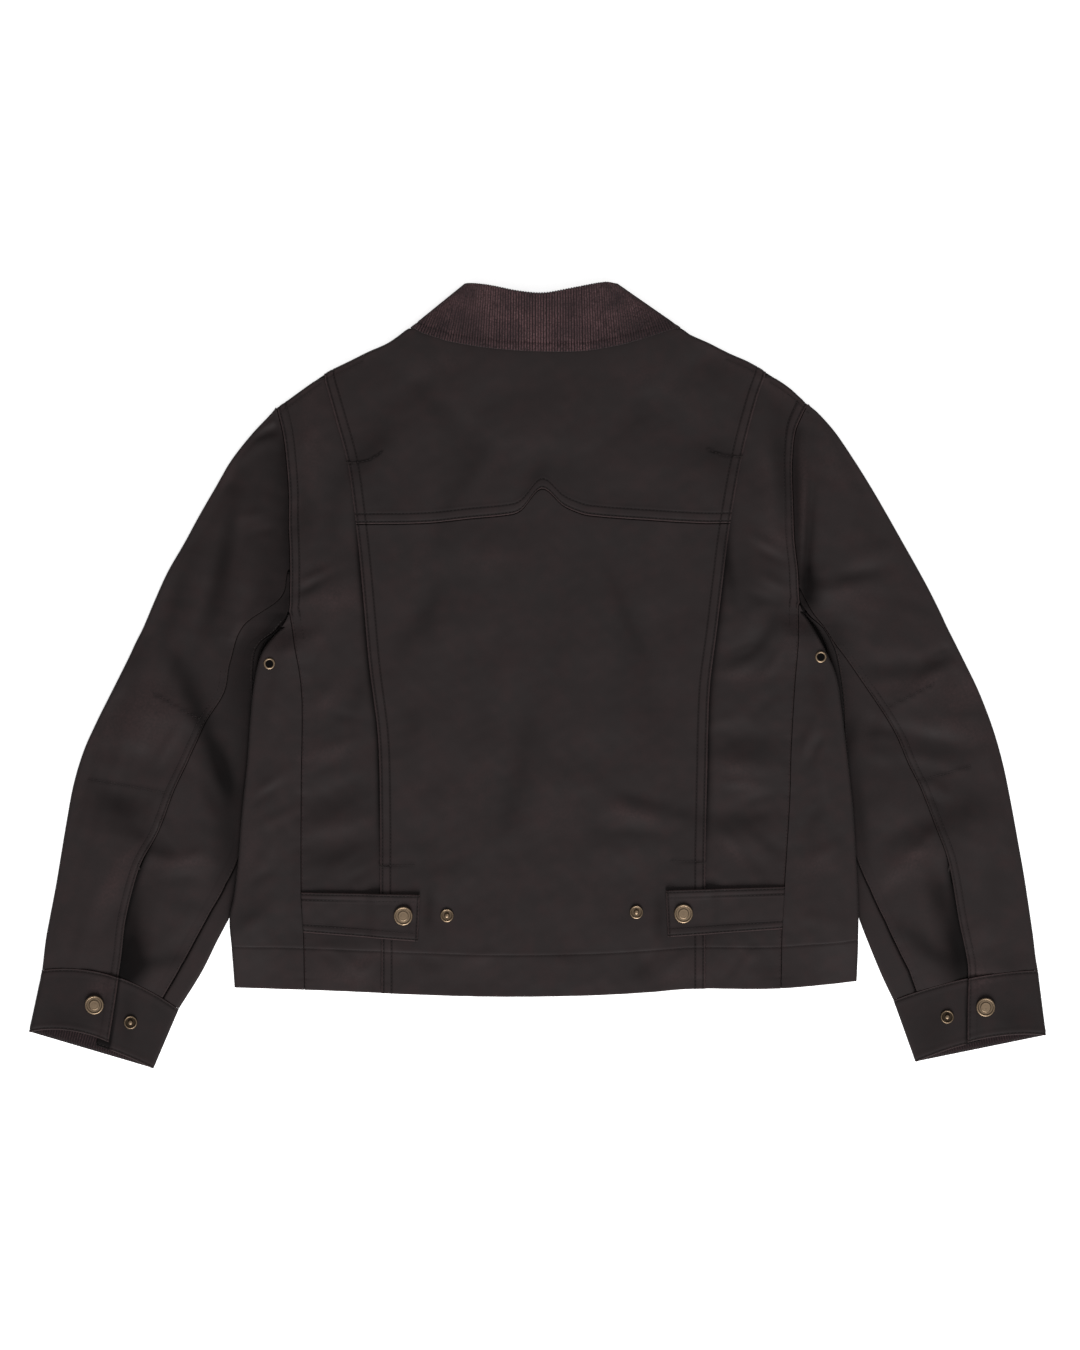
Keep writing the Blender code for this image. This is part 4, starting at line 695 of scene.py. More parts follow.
@dataclass(frozen=True)
class WaxedCotton(Finish):
    """Waxed cotton drill: matt dark cloth with a dull, greasy sheen, worn brown along its edges, with
    painted highlights and painted shade.
    """

    title = "waxed_cotton_drill"
    constants = {"Specular IOR Level": 0.05, "Sheen Weight": 0.02, "Sheen Roughness": 0.4}
    base: str = "#252020"
    warm: str = "#282121"
    cool: str = "#242020"
    # colour of worn edges, and of painted highlights on fold crests and where the cloth turns to the light
    rubbed_and_highlight: str = "#473636"
    # colour of painted shade in stitches' grooves, hollows, crevices and where the cloth turns from the
    # light
    shade_and_tarnish: str = "#040303"
    twill_mm: float = 1.2  # real twill lines are 0.7 mm apart, too fine to show
    mottle: tuple = (85.0, 4.0, 0.38, 0.62)  # size in millimetres, detail and range of the noise
    patches: tuple = (16.0, 5.0, 0.45, 0.72)
    flecks: tuple = (2.2, 2.0, 0.15, 0.8)
    weave_bump: tuple = (0.1, 0.0001)  # strength, and depth in metres
    slub_bump: tuple = (0.4, 0.0004)
    rough_from: tuple = (0.3, 0.7)
    roughness: tuple = (0.50, 0.66)

    def look(self, tree: bpy.types.NodeTree) -> dict:
        """Clouded, flecked and worn colour with painted highlights and painted shade, uneven roughness and a
        twill weave.

        Args:
            tree: Tree that the nodes go in.

        Returns:
            Sockets by the shader's input.
        """
        # the second attribute holds worn edges with painted highlights, the third holds painted shade
        grain, wear_and_highlight, shade_and_tarnish = (add_node(tree, "ShaderNodeAttribute", attribute_name=name).outputs
                             for name in ("grain", "wear_and_highlight", "shade_and_tarnish"))
        kinds = (self.mottle, self.patches, self.flecks)
        large, patch, fleck = (
            add_node(tree, "ShaderNodeTexNoise", {"Vector": grain["Vector"], "Scale": 1 / size,
                                                  "Detail": detail, "Roughness": 0.55}).outputs["Fac"]
            for size, detail, _, _ in kinds)
        cloud, stain, frayed = (
            add_node(tree, "ShaderNodeMapRange", {"Value": value, "From Min": low,
                                                  "From Max": high}).outputs[0]
            for value, (_, _, low, high) in zip((large, patch, fleck), kinds))
        # share of the worn colour, which also holds the painted highlights
        rub_and_highlight = add_node(tree, "ShaderNodeMath", {0: wear_and_highlight["Fac"], 1: frayed}, operation="MULTIPLY",
                       use_clamp=True).outputs[0]
        colour = linear(self.cool)
        for share, tone in ((cloud, self.base), (stain, self.warm), (rub_and_highlight, self.rubbed_and_highlight),
                            (shade_and_tarnish["Fac"], self.shade_and_tarnish)):
            colour = add_node(tree, "ShaderNodeMix", {0: share, 6: colour, 7: linear(tone)},
                              data_type="RGBA").outputs[2]
        axes = add_node(tree, "ShaderNodeSeparateXYZ", {0: grain["Vector"]}).outputs
        diagonal = add_node(tree, "ShaderNodeMath", {0: axes[0], 1: axes[1]}).outputs[0]
        line = add_node(tree, "ShaderNodeMath", {0: diagonal, 1: math.tau / self.twill_mm},
                        operation="MULTIPLY").outputs[0]
        twill = add_node(tree, "ShaderNodeMath", {0: line}, operation="SINE").outputs[0]
        strength, depth = self.weave_bump
        weave = add_node(tree, "ShaderNodeBump", {"Strength": strength, "Distance": depth,
                                                  "Height": twill}).outputs[0]
        strength, depth = self.slub_bump
        slub = add_node(tree, "ShaderNodeBump", {"Strength": strength, "Distance": depth,
                                                 "Height": patch, "Normal": weave}).outputs[0]
        (low, high), (smooth, dull) = self.rough_from, self.roughness
        rough = add_node(tree, "ShaderNodeMapRange", {"Value": patch, "From Min": low, "From Max": high,
                                                      "To Min": smooth, "To Max": dull}).outputs[0]
        return {"Base Color": colour, "Roughness": rough, "Normal": slub}


@dataclass(frozen=True)
class Corduroy(Finish):
    """Cotton corduroy: soft pile ridges, dull and with painted shade between them, painted lighter on top
    with a pale bloom.
    """

    title = "cotton_corduroy_pile"
    constants = {"Specular IOR Level": 0.1, "Sheen Weight": 0.12, "Sheen Roughness": 0.5,
                 "Roughness": 0.95}
    pile: str = "#453235"
    bloom: str = "#6b4e50"
    shade: str = "#140d0e"
    patches: tuple = (26.0, 4.0, 0.35, 0.65)  # size in millimetres, detail and range of the noise
    tufts: tuple = (1.3, 2.0, 0.25, 0.8)
    tuft_bump: tuple = (0.6, 0.0004)  # strength, and depth in metres

    def look(self, tree: bpy.types.NodeTree) -> dict:
        """Clouded pile, painted lighter on the ridges' tops and in shade at their feet, with a bump for its
        tufts.

        Args:
            tree: Tree that the nodes go in.

        Returns:
            Sockets by the shader's input.
        """
        place = add_node(tree, "ShaderNodeTexCoord").outputs["Object"]
        kinds = (self.patches, self.tufts)
        patch, tuft = (
            add_node(tree, "ShaderNodeTexNoise", {"Vector": place, "Scale": 1 / (size * MM),
                                                  "Detail": detail}).outputs["Fac"]
            for size, detail, _, _ in kinds)
        cloud, grit = (
            add_node(tree, "ShaderNodeMapRange", {"Value": value, "From Min": low,
                                                  "From Max": high}).outputs[0]
            for value, (_, _, low, high) in zip((patch, tuft), kinds))
        # share of painted light on the ridges, from how far they face up; the rest falls to the painted
        # shade colour
        lit_crest = add_node(tree, "ShaderNodeAttribute", attribute_name="wear_and_highlight").outputs["Fac"]
        colour = add_node(tree, "ShaderNodeMix", {0: cloud, 6: linear(self.pile),
                                                  7: linear(self.bloom)}, data_type="RGBA").outputs[2]
        for share in (lit_crest, grit):
            colour = add_node(tree, "ShaderNodeMix", {0: share, 6: linear(self.shade), 7: colour},
                              data_type="RGBA").outputs[2]
        strength, depth = self.tuft_bump
        bump = add_node(tree, "ShaderNodeBump", {"Strength": strength, "Distance": depth,
                                                 "Height": tuft}).outputs[0]
        return {"Base Color": colour, "Normal": bump}


@dataclass(frozen=True)
class PolyesterThread(Finish):
    """Spun polyester thread: slightly glossy twisted strands, a shade warmer than the cloth."""

    title = "spun_polyester_thread"
    constants = {"Roughness": 0.7, "Specular IOR Level": 0.2}
    light: str = "#221a19"
    dark: str = "#120e0e"
    twist: tuple = (300.0, 1.5)  # scale and distortion of its bands
    strand_bump: tuple = (0.3, 0.0001)  # strength, and depth in metres

    def look(self, tree: bpy.types.NodeTree) -> dict:
        """Bands of painted light and shade across the thread, from its twist.

        Args:
            tree: Tree that the nodes go in.

        Returns:
            Sockets by the shader's input.
        """
        place = add_node(tree, "ShaderNodeTexCoord").outputs["Object"]
        scale, distortion = self.twist
        twist = add_node(tree, "ShaderNodeTexWave", {"Vector": place, "Scale": scale,
                                                     "Distortion": distortion},
                         bands_direction="DIAGONAL").outputs["Fac"]
        colour = add_node(tree, "ShaderNodeMix", {0: twist, 6: linear(self.dark), 7: linear(self.light)},
                          data_type="RGBA").outputs[2]
        strength, depth = self.strand_bump
        bump = add_node(tree, "ShaderNodeBump", {"Strength": strength, "Distance": depth,
                                                 "Height": twist}).outputs[0]
        return {"Base Color": colour, "Normal": bump}


@dataclass(frozen=True)
class AntiqueBrass(Finish):
    """Antique brass: brushed pale gold on the raised parts, brown tarnish in the hollows."""

    title = "antique_brass_brushed"
    constants = {"Metallic": 1.0}
    polished: str = "#8a7762"
    tarnish: str = "#1c1611"
    spots: tuple = (2.4, 4.0, 0.5, 0.95)  # size in millimetres, detail and range of the noise
    most: float = 0.95  # share of tarnish where it is thickest
    roughness: tuple = (0.4, 0.7)
    pitted_bump: tuple = (0.25, 0.0001)  # strength, and depth in metres

    def look(self, tree: bpy.types.NodeTree) -> dict:
        """Tarnish in the hollows and in spots, rougher than the polished metal.

        Args:
            tree: Tree that the nodes go in.

        Returns:
            Sockets by the shader's input.
        """
        place = add_node(tree, "ShaderNodeTexCoord").outputs["Object"]
        # on metal this attribute holds the tarnish in the hollows; on cloth it holds painted shade
        hollow = add_node(tree, "ShaderNodeAttribute", attribute_name="shade_and_tarnish").outputs["Fac"]
        size, detail, low, high = self.spots
        spots = add_node(tree, "ShaderNodeTexNoise", {"Vector": place, "Scale": 1 / (size * MM),
                                                      "Detail": detail}).outputs["Fac"]
        uneven = add_node(tree, "ShaderNodeMapRange", {"Value": spots, "From Min": low,
                                                       "From Max": high}).outputs[0]
        tarnish = add_node(tree, "ShaderNodeMath", {0: hollow, 1: uneven}, operation="MAXIMUM",
                           use_clamp=True).outputs[0]
        tarnish = add_node(tree, "ShaderNodeMath", {0: tarnish, 1: self.most},
                           operation="MULTIPLY").outputs[0]
        colour = add_node(tree, "ShaderNodeMix", {0: tarnish, 6: linear(self.polished),
                                                  7: linear(self.tarnish)},
                          data_type="RGBA").outputs[2]
        smooth, dull = self.roughness
        rough = add_node(tree, "ShaderNodeMapRange", {"Value": tarnish, "To Min": smooth,
                                                      "To Max": dull}).outputs[0]
        strength, depth = self.pitted_bump
        bump = add_node(tree, "ShaderNodeBump", {"Strength": strength, "Distance": depth,
                                                 "Height": spots}).outputs[0]
        return {"Base Color": colour, "Roughness": rough, "Normal": bump}


@dataclass(frozen=True)
class LitAcrylic(Finish):
    """White acrylic table, matt on top and lit faintly from below, so that shadows on it stay pale."""

    title = "white_acrylic_table"
    constants = {"Roughness": 0.95, "Specular IOR Level": 0.1, "Emission Color": (1.0,) * 4,
                 "Emission Strength": 0.6}
    tone: str = "#fafafa"
    grain_tone: str = "#f5f5f5"
    grain_scale: float = 400.0

    def look(self, tree: bpy.types.NodeTree) -> dict:
        """Faint grain in the white.

        Args:
            tree: Tree that the nodes go in.

        Returns:
            Sockets by the shader's input.
        """
        place = add_node(tree, "ShaderNodeTexCoord").outputs["Object"]
        grain = add_node(tree, "ShaderNodeTexNoise", {"Vector": place,
                                                      "Scale": self.grain_scale}).outputs["Fac"]
        colour = add_node(tree, "ShaderNodeMix", {0: grain, 6: linear(self.tone),
                                                  7: linear(self.grain_tone)},
                          data_type="RGBA").outputs[2]
        return {"Base Color": colour}


class Finishes:
    """The jacket's materials, made once."""

    def __init__(self) -> None:
        """Make every material."""
        self.cotton = WaxedCotton().make()
        self.corduroy = Corduroy().make()
        self.thread = PolyesterThread().make()
        self.brass = AntiqueBrass().make()


# Cloth walls


class Edge(Enum):
    """The four edges of a piece's grid."""

    START = "first column"
    END = "last column"
    LOW = "first row"
    TOP = "last row"


@dataclass(frozen=True)
class Seam:
    """A sewn or turned edge of a piece."""

    edge: Edge
    rows: tuple = (2.2, 9.3)  # how far in each row of stitches runs
    doubled: float = 10.6  # width of the doubled cloth along the edge
    rise: float = 0.3
    pucker: float = 0.3
    wear_and_highlight: float = 0.5
    mark: float = 0.8  # how much shade is painted in the stitches' grooves
    span: tuple = (0.0, 1.0)  # part of the edge that is stitched, as shares of its length
    groove: tuple = (0.5, 0.75)  # depth and half width of the stitches' grooves
    mark_width: float = 0.65
    rubbed_width: float = 1.2
    pucker_reach: float = 7.0
    pucker_sizes: tuple = (6.3, 9.7, 15.1, 23.9)


HEM_SEAM = Seam(Edge.LOW, rows=(37.4,), doubled=38.5, rise=0.18, wear_and_highlight=0.3, mark=0.15)

SHOULDER_ANGLES = (90, 78, 66, 54, 42, 30, 18, 6)  # up from the fold's outermost line
SIDE_ANGLES = np.arange(75, -76, -15.0)

HIDDEN = (0.0, 2.0)  # steps in from an edge that no one sees
BENEATH = (0.0, 3.0)
FINE = (0.0, 0.08, 0.3, 0.7, 1.1, 1.6, 2.2, 2.8, 3.6, 5.0, 6.8, 8.0, 8.7, 9.3, 9.9, 10.7, 12.0, 14.5)
RIM = (0.0, 0.08, 0.3, 0.7, 1.2, 2.2, 4.0)
SEWN_RIM = 0.2  # how deep the rounding of a rim reaches where it meets another piece
PLAIN = (0.0, 0.3, 1.1)
HEM_STEPS = (*FINE, 18.0, 22.0, 27.0, 31.0, 34.5, 36.0, 36.8, 37.4, 38.0, 38.8, 40.5, 43.0)


@dataclass(frozen=True)
class Steps:
    """How one direction of a grid is divided: fine steps in from its ends, even ones between."""

    start: tuple = FINE
    end: tuple = FINE
    count: int = 60

    def shares(self, length: float) -> Array:
        """Divide one length, into shares of it."""
        return self.places(length)[:, 0] / length

    def places(self, length: Array | float) -> Array:
        """Divide lengths.

        Args:
            length: One length for each line of the grid.

        Returns:
            Places along each line, first axis along it.
        """
        length = np.atleast_1d(np.asarray(length, float))
        start, end = np.array(self.start)[:, None], np.array(self.end[::-1])[:, None]
        need = (self.start[-1] + self.end[-1]) * 1.15 + 0.01
        fit = np.minimum(1.0, length / need)
        first, last = start * fit, length - end * fit
        share = np.linspace(0, 1, self.count + 2)[1:-1, None]
        return np.concatenate([first, mix(first[-1], last[0], share), last])


def plan_grid(left: Place, right: Place, low: Place, high: Place, across: Steps,
              along: Steps) -> tuple[Array, Array]:
    """Grid in the plane whose four edges follow outlines.

    Args:
        left: Gives the first column's x at a y.
        right: Gives the last column's x at a y.
        low: Gives the first row's y at an x.
        high: Gives the last row's y at an x.
        across: Division of the rows.
        along: Division of the columns.

    Returns:
        x and y of each point, with rows on the first axis.
    """
    middle = (low(np.zeros(1))[0] + high(np.zeros(1))[0]) / 2
    reach = np.linspace(0, 1, along.count + len(along.start) + len(along.end))[:, None]
    y = low(left(np.array([middle])))[0] * (1 - reach) + middle * 2 * reach
    y = np.clip(np.repeat(y, across.count + len(across.start) + len(across.end), 1), -50, 650)
    x = np.zeros_like(y)
    for _ in range(14):
        starts, ends = left(y[:, 0]), right(y[:, -1])
        x = (starts + np.sign(ends - starts) * across.places(np.abs(ends - starts))).T
        lows, highs = low(x[0]), high(x[-1])
        y = lows + along.places(highs - lows)
    return x, y


CREST_WEAR_AND_HIGHLIGHT, MOST_WEAR_AND_HIGHLIGHT = 0.1, 0.45  # crests worn pale and painted lighter, for each millimetre of a fold, and at most
# painted shade in the hollows of folds, for each millimetre of a fold, and at most
HOLLOW_SHADE, MOST_SHADE = 0.15, 0.8

BUT_ONE = (slice(-1), slice(1, None))
CORNERS = tuple((rows, columns) for columns in BUT_ONE for rows in BUT_ONE)  # of a grid's faces


class Wall:
    """A closed cloth wall about a grid of points on its outer face."""

    def __init__(self, points: Array, thickness: Array | float, upwards: bool = True,
                 seams: tuple = (), rim: float = 1.0, sewn: tuple = ()) -> None:
        """Work out the wall's faces.

        Args:
            points: Rows and columns of points; NaN past the end of a short row.
            thickness: Thickness of the cloth, or one for each point.
            upwards: Whether the outer face of the first columns faces up.
            seams: Sewn edges.
            rim: How deep the rounding of the rim reaches.
            sewn: Edges that meet another piece in a seam, where the rounding is tight.
        """
        self.points = points
        self.valid = ~np.isnan(points[..., 0])
        self.normal = self.surface_normals(upwards)
        self.quads = np.logical_and.reduce([self.valid[corner] for corner in CORNERS])
        around = np.zeros(self.valid.shape, int)
        for corner in CORNERS:
            around[corner] += self.quads
        self.inside = around == len(CORNERS)
        self.from_edge = self.distances()
        self.along = {Edge.START: self.from_edge[Edge.LOW], Edge.END: self.from_edge[Edge.LOW],
                      Edge.LOW: self.from_edge[Edge.START], Edge.TOP: self.from_edge[Edge.START]}
        nearest = np.minimum.reduce([away / (SEWN_RIM if edge in sewn else rim)
                                     for edge, away in self.from_edge.items()])
        nearest = np.where(self.inside, np.maximum(nearest, 0.02), 0.0)
        inward = 1 - np.minimum(nearest, 1.0)
        half = thickness / 2 * np.sqrt(np.maximum(1 - inward**2, 0))
        fade = ramp(nearest, 0, 1)
        self.seams = seams
        relief = self.relief() * fade
        core = points - self.normal * np.broadcast_to(thickness, self.valid.shape)[..., None] / 2
        self.outer = core + self.normal * (half + relief)[..., None]
        self.inner = core - self.normal * half[..., None]
        self.wear_and_highlight, self.shade_and_tarnish = self.marks()

    def surface_normals(self, upwards: bool) -> Array:
        """Outward normal at each point.

        Args:
            upwards: Whether the first columns face up.

        Returns:
            Unit vectors.
        """
        p = self.points
        face = np.nan_to_num(np.cross(p[1:, 1:] - p[:-1, :-1], p[1:, :-1] - p[:-1, 1:]))
        total = np.zeros_like(p)
        for corner in CORNERS:
            total[corner] += face
        columns = max(total.shape[1] // 6, 2)
        if (np.nansum(total[:, :columns, 2]) > 0) != upwards:
            total = -total
        return total / np.maximum(np.linalg.norm(total, axis=-1, keepdims=True), 1e-12)

    def distances(self) -> dict:
        """Distance of every point from each edge, measured along the grid.

        Returns:
            A grid of distances for each edge.
        """
        found = {}
        for axis, first, last in ((1, Edge.START, Edge.END), (0, Edge.LOW, Edge.TOP)):
            step = np.nan_to_num(np.linalg.norm(np.diff(self.points, axis=axis), axis=-1))
            pad = [(0, 0), (0, 0)]
            pad[axis] = (1, 0)
            run = np.cumsum(np.pad(step, pad), axis=axis)
            found[first] = run
            found[last] = run.take([-1], axis=axis) - run
        return found

    def relief(self) -> Array:
        """Height that the seams add: doubled cloth, stitch grooves and puckers.

        Returns:
            Millimetres out from the plain face.
        """
        total = np.zeros(self.valid.shape)
        for number, seam in enumerate(self.seams):
            away, along, sewn = self.from_edge[seam.edge], self.along[seam.edge], self.sewn(seam)
            total += seam.rise * (1 - ramp(away, seam.doubled - 0.4, seam.doubled + 1.6)) * sewn
            depth, width = seam.groove
            for row in seam.rows:
                total -= depth * np.exp(-(((away - row) / width) ** 2)) * sewn
            wave = sum(np.sin(along * math.tau / size + size * 3 + number) for size in seam.pucker_sizes)
            total += seam.pucker * wave / len(seam.pucker_sizes) * np.exp(-away / seam.pucker_reach)
        return total * ramp(self.normal[..., 2], -0.2, 0.3)

    def sewn(self, seam: Seam) -> Array:
        """Where a seam's edge is stitched, as 1 or 0 at each point."""
        reach = self.along[seam.edge] / max(self.along[seam.edge].max(), 1.0)
        return ramp(reach, seam.span[0] - 0.01, seam.span[0]) * (reach <= seam.span[1])

    def marks(self) -> tuple[Array, Array]:
        """Where the cloth is worn along its edges, and where shade is painted in the stitches' grooves.

        Returns:
            The shares of rubbing and of painted shade.
        """
        wear_and_highlight, shade_and_tarnish = np.zeros(self.valid.shape), np.zeros(self.valid.shape)
        for seam in self.seams:
            away, sewn = self.from_edge[seam.edge], self.sewn(seam)
            wear_and_highlight = np.maximum(wear_and_highlight, seam.wear_and_highlight * np.exp(-((away / seam.rubbed_width) ** 2)))
            wear_and_highlight = np.maximum(wear_and_highlight, 0.08 * seam.wear_and_highlight * (away < seam.doubled) * sewn)
            for row in seam.rows:
                groove = np.exp(-(((away - row) / seam.mark_width) ** 2))
                shade_and_tarnish = np.maximum(shade_and_tarnish, seam.mark * sewn * groove)
        return wear_and_highlight, shade_and_tarnish

    def shade_path(self, path: tuple | list, width: float, strength: float) -> None:
        """Paint shade on the cloth along a path.

        Args:
            path: Points (x, y) of the path.
            width: How wide the dark line is.
            strength: How dark it is, from 0 to 1.
        """
        place = np.nan_to_num(self.points[..., :2], nan=1e6)
        nearest = np.full(self.valid.shape, 1e6)
        for start, end in zip(path, path[1:]):
            start, end = np.array(start[:2], float), np.array(end[:2], float)
            way = end - start
            share = np.clip(((place - start) @ way) / (way @ way), 0, 1)
            nearest = np.minimum(nearest, np.linalg.norm(place - start - share[..., None] * way, axis=-1))
        self.darken(strength * np.exp(-((nearest / width) ** 2)) * (self.normal[..., 2] > 0.3))

    def darken(self, share: Array) -> None:
        """Paint shade on the cloth where it lies in a crevice, by a share at each point."""
        self.shade_and_tarnish = 1 - (1 - self.shade_and_tarnish) * (1 - np.clip(np.nan_to_num(share), 0, 1))

    def rub_and_highlight(self, folds: tuple, marks: tuple) -> None:
        """Make the crests of folds paler, partly worn and partly painted highlights, and paint shade in
        their hollows.

        Args:
            folds: The folds of the cloth.
            marks: Folds that only paint light and shade on it.
        """
        x, y = np.nan_to_num(self.points[..., 0]), np.nan_to_num(self.points[..., 1])
        height = sum(fold.rise(x, y) for fold in folds) / 2 + sum(mark.rise(x, y) for mark in marks)
        height = height * ramp(self.normal[..., 2], 0.1, 0.5)
        self.wear_and_highlight = self.wear_and_highlight + np.clip(CREST_WEAR_AND_HIGHLIGHT * height, 0, MOST_WEAR_AND_HIGHLIGHT)
        self.darken(np.clip(-HOLLOW_SHADE * height, 0, MOST_SHADE))

    def line(self, edge: Edge, offset: float, span: tuple = (0.0, 1.0)) -> Array:
        """Path on the outer face, a distance in from an edge.

        Args:
            edge: The edge that it follows.
            offset: How far in it runs.
            span: Part of the path to keep, as shares.

        Returns:
            Points of the path.
        """
        away, outer, valid = self.from_edge[edge], self.outer, self.valid
        if edge in (Edge.LOW, Edge.TOP):
            away, outer, valid = away.T, outer.transpose(1, 0, 2), valid.T
        path = []
        for distance, row, there in zip(away, outer, valid):
            distance, row = distance[there], row[there]
            if len(distance) < 2 or distance.max() < offset:
                continue
            if distance[0] > distance[-1]:
                distance, row = distance[::-1], row[::-1]
            path.append([np.interp(offset, distance, row[:, i]) for i in range(3)])
        path = np.array(path)
        first, last = (int(round(share * len(path))) for share in span)
        return path[first:last]

    def nearest_heights(self, path: Array) -> Array:
        """Lay a path of (x, y) on the outer face.

        Args:
            path: Places in the plane.

        Returns:
            Points on the face.
        """
        flat = self.outer[self.valid & (self.normal[..., 2] > 0.5)]
        made = []
        for x, y in path:
            away = np.hypot(flat[:, 0] - x, flat[:, 1] - y)
            near = np.argsort(away)[:4]
            weight = 1 / (away[near] + 0.05)
            made.append((x, y, float((flat[near, 2] * weight).sum() / weight.sum())))
        return np.array(made)

    def mesh(self, name: str, grain: float = 0.0) -> bpy.types.Mesh:
        """Make the mesh, with the cloth's own coordinates, its rubbing with painted highlights and its
        painted shade as attributes.

        Args:
            name: The mesh's name.
            grain: Angle of the cloth's lengthwise threads, in degrees from +Y.

        Returns:
            The closed mesh, in metres.
        """
        outer_index = np.cumsum(self.valid.ravel()).reshape(self.valid.shape) - 1
        count = int(self.valid.sum())
        inner_index = outer_index.copy()
        inner_index[self.inside] = count + np.arange(int(self.inside.sum()))
        places = np.concatenate([self.outer[self.valid], self.inner[self.inside]])
        faces = []
        r, c = np.nonzero(self.quads)
        for index, order in ((outer_index, 1), (inner_index, -1)):
            corner = np.stack([index[r, c], index[r, c + 1], index[r + 1, c + 1], index[r + 1, c]], 1)
            faces.append(corner[:, ::order])
        corner = faces[0][len(faces[0]) // 2]
        side = np.cross(places[corner[1]] - places[corner[0]], places[corner[3]] - places[corner[0]])
        middle = (r[len(r) // 2], c[len(c) // 2])
        if np.dot(side, self.normal[middle]) < 0:
            faces = [face[:, ::-1] for face in faces]
        mesh = bpy.data.meshes.new(name)
        mesh.from_pydata((places - CENTRE) * MM, [], np.concatenate(faces).tolist())
        turn = math.radians(grain)
        across = places[:, 0] * math.cos(turn) + places[:, 1] * math.sin(turn)
        down = places[:, 1] * math.cos(turn) - places[:, 0] * math.sin(turn)
        vectors = np.stack([across, down, places[:, 2]], 1)
        made = mesh.attributes.new("grain", "FLOAT_VECTOR", "POINT")
        made.data.foreach_set("vector", vectors.ravel())
        # attributes: rubbing with painted highlights, and painted shade
        for label, values in (("wear_and_highlight", self.wear_and_highlight), ("shade_and_tarnish", self.shade_and_tarnish)):
            made = mesh.attributes.new(label, "FLOAT", "POINT")
            both = np.concatenate([values[self.valid], values[self.inside] * 0.5])
            made.data.foreach_set("value", both)
        build = bmesh.new()
        build.from_mesh(mesh)
        bmesh.ops.remove_doubles(build, verts=build.verts, dist=0.000001)
        bmesh.ops.dissolve_degenerate(build, edges=build.edges, dist=0.0000005)
        build.to_mesh(mesh)
        build.free()
        mesh.validate()
        mesh.shade_smooth()
        return mesh


def add_piece(name: str, mesh: bpy.types.Mesh, finish: bpy.types.Material) -> bpy.types.Object:
    """Put a finished mesh in the scene and on the jacket's body.

    Args:
        name: The piece's name.
        mesh: Its mesh, in the row frame.
        finish: Its material.

    Returns:
        The object.
    """
    mesh.materials.clear()
    mesh.materials.append(finish)
    made = bpy.data.objects.new(name, mesh)
    bpy.context.scene.collection.objects.link(made)
    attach(made, "root")
    log.info("%s: %d faces", name, len(mesh.polygons))
    return made


def cloth_area(mesh: bpy.types.Mesh) -> float:
    """Half of a closed mesh's surface, in square metres."""
    return sum(face.area for face in mesh.polygons) / 2


# What repeats along paths


class PathTree:
    """A Geometry Nodes tree that lays something along paths, and what it makes."""

    title = "Paths"
    sizes: tuple = ()

    def __init__(self, finish: bpy.types.Material) -> None:
        """Build the tree.

        Args:
            finish: Material of what it makes.
        """
        self.finish = finish
        self.tree = bpy.data.node_groups.new(self.title, "GeometryNodeTree")
        self.tree.interface.new_socket("Paths", in_out="INPUT", socket_type="NodeSocketGeometry")
        for name in self.sizes:
            self.tree.interface.new_socket(name, in_out="INPUT", socket_type="NodeSocketFloat")
        self.tree.interface.new_socket("Finish", in_out="INPUT", socket_type="NodeSocketMaterial")
        self.tree.interface.new_socket("Made", in_out="OUTPUT", socket_type="NodeSocketGeometry")
        given = add_node(self.tree, "NodeGroupInput")
        made = self.lay(given)
        smooth = add_node(self.tree, "GeometryNodeSetShadeSmooth", {"Geometry": made}).outputs[0]
        real = add_node(self.tree, "GeometryNodeRealizeInstances", {"Geometry": smooth}).outputs[0]
        dressed = add_node(self.tree, "GeometryNodeSetMaterial",
                           {"Geometry": real, "Material": given.outputs["Finish"]}).outputs[0]
        add_node(self.tree, "NodeGroupOutput", {"Made": dressed})

    def lay(self, given: bpy.types.Node) -> bpy.types.NodeSocket:
        """Add the nodes that turn the paths of the group's input into what lies on them."""
        return given.outputs["Paths"]

    def make(self, name: str, paths: list, sizes: dict) -> bpy.types.Mesh:
        """Run the tree on paths.

        Args:
            name: Name of the mesh.
            paths: Arrays of points in millimetres.
            sizes: The tree's named sizes, in metres or radians.

        Returns:
            A plain mesh, in metres.
        """
        points = (np.concatenate(paths) - CENTRE) * MM
        ends = np.cumsum([len(path) for path in paths])
        edges = [(i, i + 1) for i in range(len(points) - 1) if i + 1 not in ends]
        mesh = bpy.data.meshes.new(name)
        mesh.from_pydata(points.tolist(), edges, [])
        holder = bpy.data.objects.new(name + "_paths", mesh)
        bpy.context.scene.collection.objects.link(holder)
        modifier = holder.modifiers.new(self.title, "NODES")
        modifier.node_group = self.tree
        sockets = {item.name: item.identifier for item in self.tree.interface.items_tree
                   if item.in_out == "INPUT"}
        for label, value in {**sizes, "Finish": self.finish}.items():
            modifier[sockets[label]] = value
        graph = bpy.context.evaluated_depsgraph_get()
        made = bpy.data.meshes.new_from_object(holder.evaluated_get(graph), depsgraph=graph)
        made.name = name
        holder.modifiers.remove(modifier)
        bpy.data.objects.remove(holder)
        return made


